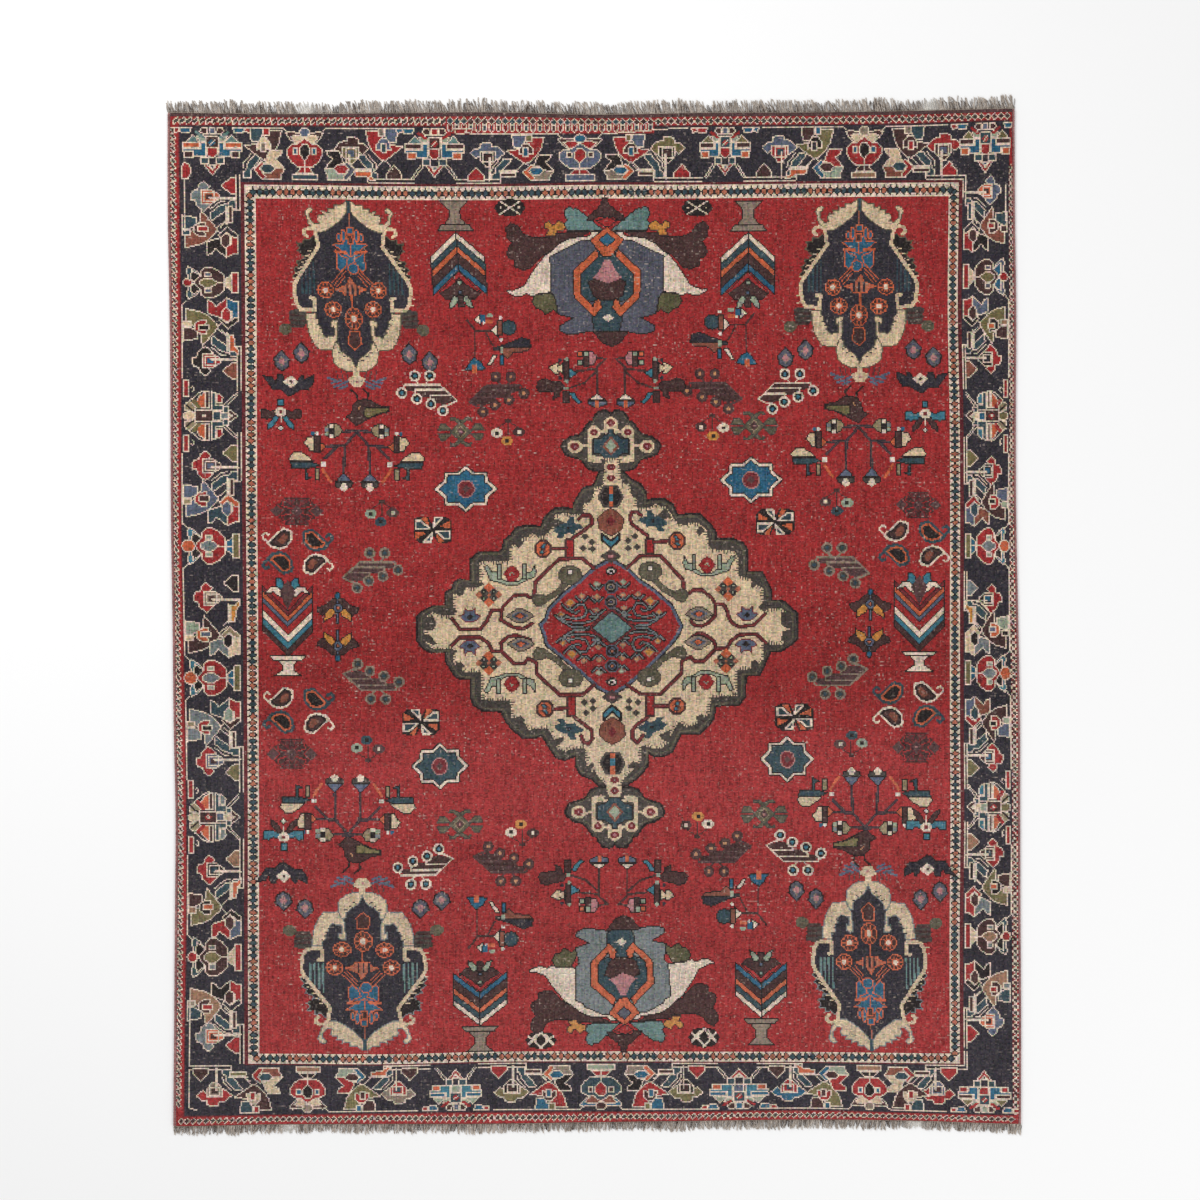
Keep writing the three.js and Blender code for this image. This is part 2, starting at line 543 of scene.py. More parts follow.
@dataclass(frozen=True)
class Vase:
    """A pot with two horned leaves and a ball, which the border's branches face.

    Attributes:
        body: The pot's wool.
        centre: The leaf on its middle.
        eye: The two windows beside it.
        neck: The pot's neck.
        base: The block that it stands on.
        horn: The upper horned leaves.
        under: The leaves below them.
        ball: The ball on top.
        wide: How much wider than usual it is.
        round: Half of the ball's width.
    """

    body: Dye
    centre: Dye
    eye: Dye
    neck: Dye
    base: Dye
    horn: Dye
    under: Dye
    ball: Dye
    wide: float = 1.0
    round: float = 4.8

    def draw(self, stand: Pen) -> None:
        """Draws the pot on the border's inner line.

        Args:
            stand: The pen that stands on the border's inner line.
        """
        pen = stand.at(0, 0, size=(self.wide, 1.0))
        pen.block(self.base, -12, 2.5, 12, 8.5)
        pen.fill(self.neck, (-9, 9), (9, 9), (4, 15), (-4, 15))
        for half in pen.pair():
            half.fill(self.horn, (2, 48.5), (15, 50), (18.5, 48.5), (15, 43), (9, 37.5), (8, 43))
            half.fill(self.under, (0, 43), (4, 46.5), (14, 45.5), (9, 38.5), (7, 37.5))
        pen.fill(self.body, *both_sides((8.5, 16), (14, 21), (17.5, 27), (17.5, 33), (13.5, 37),
                                        (7.5, 37.5), (3, 41.5), (0, 43.5)))
        pen.fill(self.centre, *both_sides((0, 21.5), (5, 28), (5, 33.5), (2, 38)))
        for half in pen.pair():
            half.block(self.eye, 7, 28, 11, 33.5)
        pen.line(IVORY, (0, 9), (0, 21.5))
        pen.disc(self.ball, 0, 49.5, self.round, self.round, 10)


@dataclass(frozen=True)
class Compass:
    """The square flower with four arms that parts one pair of branches from the next.

    Attributes:
        centre: The middle square.
        star: The small figure in it.
        shield: The petal below the middle.
        bars: The upper arms.
        hooks: The stepped arms below them.
        outer: The blocks under the arms' ends.
        leaves: The leaves above the arms.
        slash: The diagonals between the leaves and the arms.
        top: The petal above the middle.
        tip: The chevron at the bottom.
        heart: The chevron's inside.
        chips: The slanted shapes beside its top, on the left and on the right.
        crumbs: The smaller shapes beyond those.
        runs: Which sides have a base line running up to it.
        wide: How much it is stretched across.
    """

    centre: Dye
    star: Dye
    shield: Dye
    bars: Dye
    hooks: Dye
    outer: Dye
    leaves: Dye
    slash: Dye
    top: Dye
    tip: Dye
    heart: Dye
    chips: tuple[Dye, Dye] = (BLUE, BLUE)
    crumbs: tuple[Dye, Dye] = (RED, RED)
    runs: tuple[int, ...] = (-1, 1)
    wide: float = 1.0

    def draw(self, pen: Pen) -> None:
        """Draws the flower over the border's inner line.

        Args:
            pen: The pen, placed for the motif.
        """
        pen = pen.at(0, 0, size=(self.wide, 1.0))
        for half, chip, crumb in zip(pen.pair(), self.chips[::-1], self.crumbs[::-1]):
            half.fill(self.hooks, (6.5, 39), (11.5, 39), (11.5, 33), (29, 33), (29, 30), (18, 30),
                      (18, 25), (6.5, 25))
            half.block(self.bars, 12.5, 34, 29, 38.5)
            half.block(self.outer, 18.5, 24.5, 27, 30)
            half.fill(self.leaves, (12.5, 39.5), (25.5, 39.5), (19, 46.5))
            half.fill(MINT, (6.5, 40), (12, 40), (15, 45), (10, 47), (6.5, 44))
            half.line(self.slash, (8.5, 44), (15.5, 49), width=2.2)
            half.fill(BROWN, (4, 47), (8, 47), (12, 50), (10, 53.5), (5, 53.5))
            half.block(TEAL, 4, 18, 11.5, 24.5)
            half.fill(chip, (22, 48.5), (30, 48.5), (32, 54), (20, 54))
            half.fill(crumb, (31.5, 50), (37, 49), (38, 53.5), (32.5, 54))
        for way in self.runs:
            half = pen.at(0, 0, mirror=way < 0)
            half.line(IVORY, (11, 17), (21, 4.3))
            half.line(IVORY, (13.5, 18.5), (23.5, 4.3))
        pen.block(self.top, -2.8, 47, 2.8, 53.5)
        pen.block(self.centre, -6, 33.5, 6, 44.5)
        pen.edged(None).diamond(self.star, 0, 39, 3.8, 3.6)
        pen.line(IVORY, (-2.5, 36.5), (2.5, 41.5))
        pen.fill(self.shield, *both_sides((2, 24.5), (5, 27), (5, 33.5)))
        pen.fill(self.tip, *both_sides((0, 6.5), (8.5, 17.5), (5, 17.5), (0, 11.5)))
        pen.fill(self.heart, (-3, 17), (0, 12), (3, 17))


@dataclass(frozen=True)
class SideCompass:
    """The same flower as the long sides have it, with its arms turned up at the ends.

    Attributes:
        centre: The middle square.
        star: The small diamond in it.
        shield: The petal below the middle.
        foot: The petal below that.
        bars: The upper arms.
        hooks: The arms below them.
        upper: The flames above the arms.
        lower: The small leaves below them.
        slash: The diagonals beside the top petal.
        top: The petal above the middle.
        tip: The chevron at the bottom.
        chips: The upright shapes beside its top, on the left and on the right.
    """

    centre: Dye
    star: Dye
    shield: Dye
    foot: Dye
    bars: Dye
    hooks: Dye
    upper: Dye
    lower: Dye
    slash: Dye
    top: Dye
    tip: Dye
    chips: tuple[Dye, Dye] = (RED, RED)

    def draw(self, pen: Pen) -> None:
        """Draws the flower over the border's inner line.

        Args:
            pen: The pen, placed for the motif.
        """
        for half, chip in zip(pen.pair(), self.chips[::-1]):
            half.fill(chip, (19, 49), (36, 48.5), (36, 53.5), (19, 53.5))
            half.line(IVORY, (23, 46), (26, 43.5), (29, 45), (27, 47))
            half.block(self.bars, 8, 29.5, 24.5, 33)
            half.fill(self.hooks, (5.5, 28), (24, 28), (23, 24), (11, 24), (11, 17.5), (5.5, 17.5))
            half.fill(self.upper, (8, 34), (23.5, 34), (20, 38.5), (14, 42), (8, 38))
            half.fill(self.lower, (12.5, 18.5), (18, 17.5), (22, 20.5), (22.5, 23.5), (12.5, 23.5))
            half.line(self.slash, (9, 39.5), (15, 44.5), width=3.0)
            half.fill(KHAKI, (4.5, 43.5), (8, 42), (14.5, 47.5), (12.5, 51.5), (6, 52.5))
            half.line(INK, (5, 44.5), (11, 51.5), width=1.4)
            half.block(TEAL, 3.5, 12.5, 9, 17)
            half.line(IVORY, (25, 34), (23, 39), (15, 48))
            half.line(IVORY, (9, 14.5), (21, 4.3))
            half.line(IVORY, (10, 17.5), (23.5, 4.3))
        pen.fill(self.top, *both_sides((3, 43), (4.5, 49), (2.5, 53)))
        pen.block(self.centre, -5.8, 27, 5.8, 42.5)
        pen.edged(None).diamond(self.star, 0, 34.5, 3.4, 4)
        pen.diamond(self.centre, 0, 34.5, 1.2, 1.4)
        pen.block(self.shield, -4, 19.5, 4, 27)
        pen.block(self.foot, -3.2, 13, 3.2, 19)
        pen.fill(self.tip, *both_sides((0, 3.5), (7, 12.5), (4, 13)))
        pen.fill(CREAM, (-2, 12), (0, 8.5), (2, 12))


@dataclass(frozen=True)
class Spray:
    """One branch of the main border, from the leaf beside a pot to the house by a compass.

    Each entry holds the motif's place along the side, then its wools.

    Attributes:
        facing: 1 where the pot lies to the right, -1 where it lies to the left.
        leaf: Upper leaf, lower leaf, ball and chevron.
        flower: Body, chip, cap, ring and heart.
        bar: The bar under the flower.
        stalk: The leaf at the square flower's foot.
        square: Petals, shield and heart.
        house: The small house.
        end: Where the base line stops, or None for a compass's distance from the house.
    """

    facing: int
    leaf: Optional[tuple[float, Dye, Dye, Dye, Dye]] = None
    flower: Optional[tuple[float, Dye, Dye, Dye, Dye, Dye]] = None
    bar: Optional[tuple[float, Dye]] = None
    stalk: Optional[tuple[float, Dye]] = None
    square: Optional[tuple[float, Dye, Dye, Dye]] = None
    house: Optional[tuple[float, Dye]] = None
    end: Optional[float] = None

    def draw(self, side: Side) -> None:
        """Draws the branch on its side of the border.

        Args:
            side: The side of the border.
        """
        self._base_line(side)
        for entry, draw_entry, wide in (
                (self.house, self._house, 1.0), (self.stalk, self._stalk, 1.0),
                (self.square, self._square, side.squeeze), (self.bar, self._bar, 1.0),
                (self.flower, self._flower, 1.0), (self.leaf, self._leaf, 1.0)):
            if entry:
                place, *dyes = entry
                draw_entry(side.place(place, self.facing).at(0, 0, size=(wide, 1.0)), *dyes)

    def _base_line(self, side: Side) -> None:
        """Runs the double line under the square flower and the house.

        Args:
            side: The side of the border.
        """
        if self.stalk is None or self.house is None:
            return
        start = side.chart_run(self.stalk[0]) + STALK_GAP * self.facing
        end = self.end
        if end is None:
            end = side.chart_run(self.house[0]) - HOUSE_REACH * self.facing
        for high, dye in BASE_LINES:
            level = side.inner + high * side.scale
            side.pen.line(dye, (start, level), (end, level), width=1.0)
        low, high = (side.inner + level * side.scale for level in BASE_END)
        side.pen.line(IVORY, (start, low), (start, high))

    @staticmethod
    def _house(pen: Pen, dye: Dye) -> None:
        """Draws the small house at the end of the base line."""
        pen.fill(dye, *both_sides((8, 4), (8, 9), (0.5, 17.5)))

    @staticmethod
    def _stalk(pen: Pen, dye: Dye) -> None:
        """Draws the leaf that bends up from the base line to the pot's side."""
        pen.fill(dye, (-5, 4.5), (3, 4.5), (3.5, 12), (9, 19), (15, 27), (7, 27.5), (-1, 18),
                 (-1.5, 12), (-5, 10))
        pen.line(IVORY, (-5, 14), (-4, 19), (4, 28.5))

    @staticmethod
    def _square(pen: Pen, petals: Dye, shield: Dye, heart: Dye) -> None:
        """Draws the square flower with its stem.

        Args:
            pen: The pen, placed for the motif.
            petals: The petals' wool.
            shield: The shield's wool.
            heart: The heart's wool.
        """
        pen.fill(petals, (-19, 34), (-14, 38.5), (-9, 39), (-8, 43.5), (-4, 45.5), (2, 45.5),
                 (3, 41.5), (9, 40.5), (16, 33.5), (11, 29), (8, 27), (-9, 31), (-13, 28))
        pen.fill(shield, (-9, 35.5), (7, 35.5), (7, 26.5), (1, 19), (-3, 19), (-9, 26.5))
        pen.block(shield, -6, 24.5, 4, 33.5)
        pen.edged(None).block(heart, -4, 26, 2, 32)
        pen.line(IVORY, (0.5, 28), (0.5, 4), width=1.8)

    @staticmethod
    def _bar(pen: Pen, dye: Dye) -> None:
        """Draws the bar below the split flower, with a foot where it is orange or gold.

        Args:
            pen: The pen, placed for the motif.
            dye: The wool.
        """
        foot = ((-8, 7), (-13, 2.5), (-8, 2.5), (-3, 6.5)) if dye in (ORANGE, GOLD) else ((-8, 7.5),)
        pen.fill(dye, (8, 11.5), (-8, 11.5), *foot, (8, 7.5))
        pen.line(IVORY, (-8, 13.5), (9, 13.5), width=1.9)
        pen.line(IVORY, (7, 13.5), (13, 19))

    @staticmethod
    def _flower(pen: Pen, body: Dye, chip: Dye, cap: Dye, ring: Dye, heart: Dye) -> None:
        """Draws the flower that is split down to its heart.

        Args:
            pen: The pen, placed for the motif.
            body: The petals' wool.
            chip: The wool of the shape above them.
            cap: The wool of the small block at the top.
            ring: The wool round the heart.
            heart: The heart's wool.
        """
        pen.line(IVORY, (2, 22), (11, 12), (16, 5))
        pen.line(IVORY, (-1, 22), (-8, 14))
        pen.fill(chip, (-13, 53.5), (0, 54), (0.5, 48), (-4, 40), (-11, 40), (-12, 46))
        pen.fill(body, (-18, 36), (-8, 28), (0, 22), (4, 23), (12, 31), (16, 38), (19, 51),
                 (6, 51), (1, 43), (-5, 38))
        pen.fill(ring, (-6, 32), (-5.5, 38), (-2, 43.5), (4, 43.5), (8, 38), (8, 32), (4, 33),
                 (-2.5, 33))
        pen.block(heart, -2, 30.5, 3, 39)
        pen.block(cap, 1, 46.5, 6.5, 53.5)

    @staticmethod
    def _leaf(pen: Pen, upper: Dye, lower: Dye, ball: Dye, chevron: Dye) -> None:
        """Draws the leaf that is folded round a ball.

        Args:
            pen: The pen, placed for the motif.
            upper: The upper leaf's wool.
            lower: The lower leaf's wool.
            ball: The ball's wool.
            chevron: The chevron's wool.
        """
        pen.fill(lower, (-2, 3), (14, 3), (14, 7), (17.5, 13), (12, 15), (8, 14), (4, 9), (-4, 9))
        pen.fill(upper, (-2, 19), (1, 28), (3, 31.5), (15.5, 31.5), (14, 27), (9, 23.5), (13, 19),
                 (17.5, 13.5), (8, 14), (4, 18))
        pen.fill(ball, (-6.5, 14), (-3, 18), (4, 18), (8.5, 14), (4, 9.5), (-3, 9.5))
        pen.fill(chevron, (-13, 12.5), (-5, 20.5), (-2, 19), (-7.5, 13.5), (-1.5, 6), (-2, 3),
                 (-5, 3))


LEFT_POT = Vase(RED, MIST, MINT, BLUE, OLIVE, SEA, INK, ORANGE, round=6.3)
LEFT_DARK_POT = Vase(BROWN, OLIVE, MIST, CREAM, RED, TEAL, INK, RED, 1.08)
SLIM_DARK_POT = Vase(BROWN, OLIVE, SLATE, CREAM, RED, TEAL, INK, RED, 0.87, 4.2)
TOP_POT = Vase(RED, INK, BLUE, BROWN, TAN, BROWN, CREAM, GREY)
TALL_TOP_POT = Vase(RED, INK, BLUE, RED, TEAL, BROWN, CREAM, SLATE)
BLUE_POT = Vase(SLATE, RED, BROWN, RED, SLATE, BROWN, RED, BLUE, 1.2)
LOW_POT = Vase(RED, INK, BLUE, INK, TAN, BROWN, CREAM, GREY)
LOW_TEAL_POT = Vase(TEAL, RED, BROWN, RED, MINT, BLUE, RUST, BROWN, 1.15)

TOP_MOTIFS = (
    # each motif's place along its side, then the motif, as in the lists below for the other sides
    (-289, TALL_TOP_POT), (-14, BLUE_POT), (270, TOP_POT),
    (-381.5, Compass(BROWN, BLUE, RED, ORANGE, BLUE, BROWN, JADE, JADE, SLATE, RED, TEAL, runs=())),
    (-159.5, Compass(BROWN, RED, RED, BROWN, BLUE, ORANGE, JADE, RED, RED, RED, JADE,
                    (BLUE, RED), (BLUE, RED))),
    (131, Compass(TEAL, RED, RED, BROWN, BLUE, ORANGE, OLIVE, RED, SLATE, RED, BLUE,
                  (RED, BLUE), (RED, BLUE), wide=0.88)),
    (391, Compass(TEAL, RED, RED, BROWN, BLUE, ORANGE, OLIVE, RED, SLATE, RED, BLUE, runs=(),
                  wide=0.9)),
)
TOP_SPRAYS = (
    Spray(1, (-327, CREAM, RUST, TEAL, RED), (-331, BROWN, TEAL, RED, CREAM, GREY),
          stalk=(-346, TEAL)),
    Spray(-1, (-252, INK, MINT, RED, STEEL), (-209, RED, SLATE, GREY, SLATE, TEAL),
          (-231, ORANGE), (-222, TEAL), (-244, BROWN, OLIVE, SLATE), (-200, BROWN)),
    Spray(1, (-58, INK, GREY, BLUE, ORANGE), (-69, RED, SLATE, OLIVE, BROWN, BLUE),
          (-86, BROWN), (-97, TEAL), (-105, SLATE, INK, BROWN), (-118, RED)),
    Spray(-1, (27, INK, GREY, BLUE, ORANGE), (38, RED, SLATE, OLIVE, BROWN, BLUE),
          (52, BROWN), (64, TEAL), (72, OLIVE, INK, BROWN), (88, RED)),
    Spray(1, (232, RED, MINT, BROWN, BLUE), (220, OLIVE, BROWN, BLUE, INK, NAVY),
          (204, ORANGE), (198, TEAL), (187, SLATE, RED, TEAL), (170, BROWN)),
    Spray(-1, (306, CREAM, RUST, TEAL, RED), (317, BROWN, TEAL, GREY, BROWN, RED),
          (327, BROWN), (336, TEAL), (348, RED, BROWN, SLATE), (355, RED), 367),
)
LEFT_MOTIFS = (
    (-339, LEFT_DARK_POT), (-60, LEFT_POT), (72, LEFT_POT), (335, SLIM_DARK_POT),
    (-199, SideCompass(BROWN, RED, SLATE, CREAM, BROWN, TEAL, ORANGE, MIST, RED, CREAM, BROWN)),
    (202, SideCompass(BROWN, PLUM, TEAL, MIST, BROWN, TEAL, ORANGE, RED, OLIVE, CREAM, BROWN)),
)
LEFT_SPRAYS = (
    Spray(1, (-380, INK, RED, BROWN, NAVY), (-389, TAN, TEAL, GREY, BROWN, RED),
          (-402, BROWN), (-410, TEAL), (-417, MIST, ORANGE, BROWN), (-427, RED), -444),
    Spray(-1, (-304, RED, SLATE, BROWN, INK), (-288, OLIVE, BROWN, TAN, INK, ORANGE),
          (-272, ORANGE), (-266, TEAL), (-253, RED, INK, TEAL), (-241, TAN)),
    Spray(1, (-98, TEAL, RED, MINT, BROWN), (-110, MIST, MIST, KHAKI, RED, INK),
          (-122, BROWN), (-133, TEAL), (-142, RED, SLATE, BROWN), (-154, OLIVE)),
    Spray(-1, (-22, MIST, CREAM, INK, KHAKI), (-16, BROWN, MINT, CREAM, ORANGE, SLATE),
          (5, GOLD), None, (19, RED, GREY, BROWN), (35, INK)),
    Spray(-1, (110, TEAL, RED, SLATE, ORANGE), (120, SLATE, SLATE, KHAKI, RED, BROWN),
          (131, BROWN), (141, TEAL), (151, RED, BROWN, SLATE), (165, OLIVE)),
    Spray(1, (302, RED, BLUE, RED, INK), (290, OLIVE, BROWN, CREAM, RED, INK),
          (275, ORANGE), (267, TEAL), (258, INK, RED, BLUE), (247, RUST)),
    Spray(-1, (378, INK, RED, BROWN, NAVY), (389, RUST, TEAL, TEAL, BROWN, RED),
          (403, BROWN), (412, TEAL), (420, MIST, ORANGE, BROWN), (432, RED), 442),
)
RIGHT_MOTIFS = (
    (-341, Vase(BROWN, OLIVE, STEEL, CREAM, RED, SLATE, BLUE, RED)), (-72, LEFT_POT),
    (55, LEFT_POT), (318, Vase(BROWN, TAN, MIST, CREAM, RED, TEAL, INK, RED)),
    (-202, SideCompass(BROWN, RED, BLUE, CREAM, BROWN, TEAL, ORANGE, SEA, RED, OLIVE, BROWN)),
    (189, SideCompass(BROWN, RED, MINT, CREAM, BROWN, TEAL, ORANGE, SEA, RED, OLIVE, BROWN)),
)
RIGHT_SPRAYS = (
    Spray(1, (-383, INK, RED, BROWN, NAVY), (-393, RUST, TEAL, BROWN, BROWN, RED),
          (-407, TEAL), (-415, TEAL), (-426, SLATE, ORANGE, BROWN)),
    Spray(-1, (-304, SLATE, RED, BROWN, INK), (-292, OLIVE, BROWN, TAN, INK, ORANGE),
          (-278, BROWN), (-269, TEAL), (-260, RED, INK, NAVY), (-249, RUST)),
    Spray(1, (-109, RUST, SLATE, TEAL, RED), (-117, BROWN, SLATE, MINT, RED, INK),
          (-130, BROWN), (-138, TEAL), (-146, RED, INK, BLUE), (-160, OLIVE)),
    Spray(1, (20, MIST, CREAM, INK, CREAM), (11, BROWN, MINT, INK, ORANGE, SLATE),
          (-3, GOLD), (-12, TEAL), (-18, RED, INK, BLUE), (-30, MIST), -46),
    Spray(-1, (96, RUST, SLATE, TEAL, RED), (106, BROWN, SLATE, MINT, RED, INK),
          (118, BROWN), (129, TEAL), (138, RED, BROWN, BLUE), (150, OLIVE)),
    Spray(1, (281, MIST, RED, BROWN, RED), (268, OLIVE, BROWN, CREAM, INK, ORANGE),
          (253, INK), (245, TEAL), (236, RED, BROWN, TEAL), (224, TAN)),
    Spray(-1, (360, INK, RED, BROWN, INK), (371, TAN, TEAL, MIST, BROWN, RED),
          (386, BROWN), (394, TEAL), (402, SLATE, ORANGE, BROWN), (415, RED), 428),
)
LOWER_MOTIFS = (
    (-275, LOW_POT), (-7, LOW_TEAL_POT), (286, LOW_POT),
    (-390, Compass(TEAL, RED, RED, BROWN, BLUE, RED, OLIVE, RED, MINT, RED, BROWN, runs=(),
                   wide=0.86)),
    (-145, Compass(TEAL, RED, SLATE, BLUE, SEA, ORANGE, MINT, RED, BLUE, RED, MINT)),
    (138, Compass(TEAL, RED, MINT, BLUE, SEA, ORANGE, MINT, RED, SLATE, RED, RED, wide=0.88)),
)
LOWER_SPRAYS = (
    Spray(1, (-308, CREAM, RUST, TEAL, RED), (-317, BROWN, TEAL, RED, CREAM, RED),
          (-328, BROWN), (-336, TEAL), (-342, RED, SLATE, BROWN), (-355, RED), -366),
    Spray(-1, (-237, RED, MINT, BROWN, BLUE), (-229, OLIVE, BROWN, BLUE, RED, BROWN),
          (-213, ORANGE), (-204, TEAL), (-196, BLUE, RED, TEAL), (-183, BROWN)),
    Spray(1, (-48, INK, GREY, BLUE, ORANGE), (-57, RED, BLUE, OLIVE, BROWN, BLUE),
          (-72, BROWN), (-82, TEAL), (-90, OLIVE, INK, BROWN), (-103, RED)),
    Spray(-1, (38, INK, GREY, BLUE, ORANGE), (46, RED, BLUE, OLIVE, BROWN, BLUE),
          (61, BROWN), (72, TEAL), (81, OLIVE, INK, BROWN), (95, RED)),
    Spray(1, (241, RED, MINT, BROWN, BLUE), (231, OLIVE, BROWN, BLUE, RED, BROWN),
          (215, ORANGE), (206, TEAL), (197, GREY, RED, TEAL), (184, BROWN)),
    Spray(-1, (329, CREAM, RUST, TEAL, RED), (341, BROWN, TEAL, RED, CREAM, RED),
          (356, OLIVE), (366, TEAL), (378, RED, GREY, BROWN), (393, BROWN), 406),
)


@dataclass(frozen=True)
class Guard:
    """A chain of linked figures along one side, on the band beside the main border.

    Attributes:
        start: Where the chain begins along the side.
        end: Where it stops.
        middle: The chain's distance from the middle of the rug.
        pitch: How far one figure is from the next.
        half: Half of a figure's height.
        dyes: The wools, which change after every four figures.
        shift: How many figures of the first wool are already past.
    """

    start: float
    end: float
    middle: float
    pitch: float
    half: float
    dyes: tuple[Dye, Dye] = (TEAL, CLAY)
    shift: int = 0

    def draw(self, side: Side) -> None:
        """Draws the chain on its side.

        Args:
            side: The side of the border.
        """
        count = round((self.end - self.start) / self.pitch)
        step = (self.end - self.start) / count
        for number in range(count):
            pen = side.pen.at(self.start + (number + 0.5) * step, self.middle)
            self._figure(pen, self.dyes[(number + self.shift) // SAME_WOOL % 2], step / 2)

    def _figure(self, pen: Pen, dye: Dye, reach: float) -> None:
        """Draws one ink-edged star that touches its neighbours."""
        across, along = 0.66 * reach, 0.6 * self.half
        pen.block(INK, -across, -along, across, along)
        pen.edged(INK).diamond(dye, 0, 0, reach, self.half)


@dataclass(frozen=True)
class StarGuard(Guard):
    """The same chain at the upper end, where every figure is a small star."""

    def _figure(self, pen: Pen, dye: Dye, reach: float) -> None:
        """Draws one hexagon with ink points above, below and beside it.

        Args:
            pen: The pen, placed for the motif.
            dye: The wool.
            reach: Half of the figure's length along the chain.
        """
        pen.line(INK, (0, -self.half), (0, self.half), width=1.0)
        pen.line(INK, (-reach, 0), (reach, 0), width=1.0)
        side, high = 0.8 * reach, 0.74 * self.half
        pen.edged(INK).fill(dye, (-side, -0.4 * high), (0, -high), (side, -0.4 * high),
                            (side, 0.4 * high), (0, high), (-side, 0.4 * high))


@dataclass(frozen=True)
class Lattice(Guard):
    """The narrow outer chain of ivory-edged diamonds on red.

    Attributes:
        lean: How far each diamond's top leans along the side.
    """

    dyes: tuple[Dye, Dye] = (SHADOW, BROWN)
    lean: float = 0.0

    def _figure(self, pen: Pen, dye: Dye, reach: float) -> None:
        """Draws one ivory-edged diamond that leans along the side."""
        tips = ((-reach, 0), (-self.lean, -self.half), (reach, 0), (self.lean, self.half))
        pen.edged(IVORY, 0.85).fill(dye, *tips)


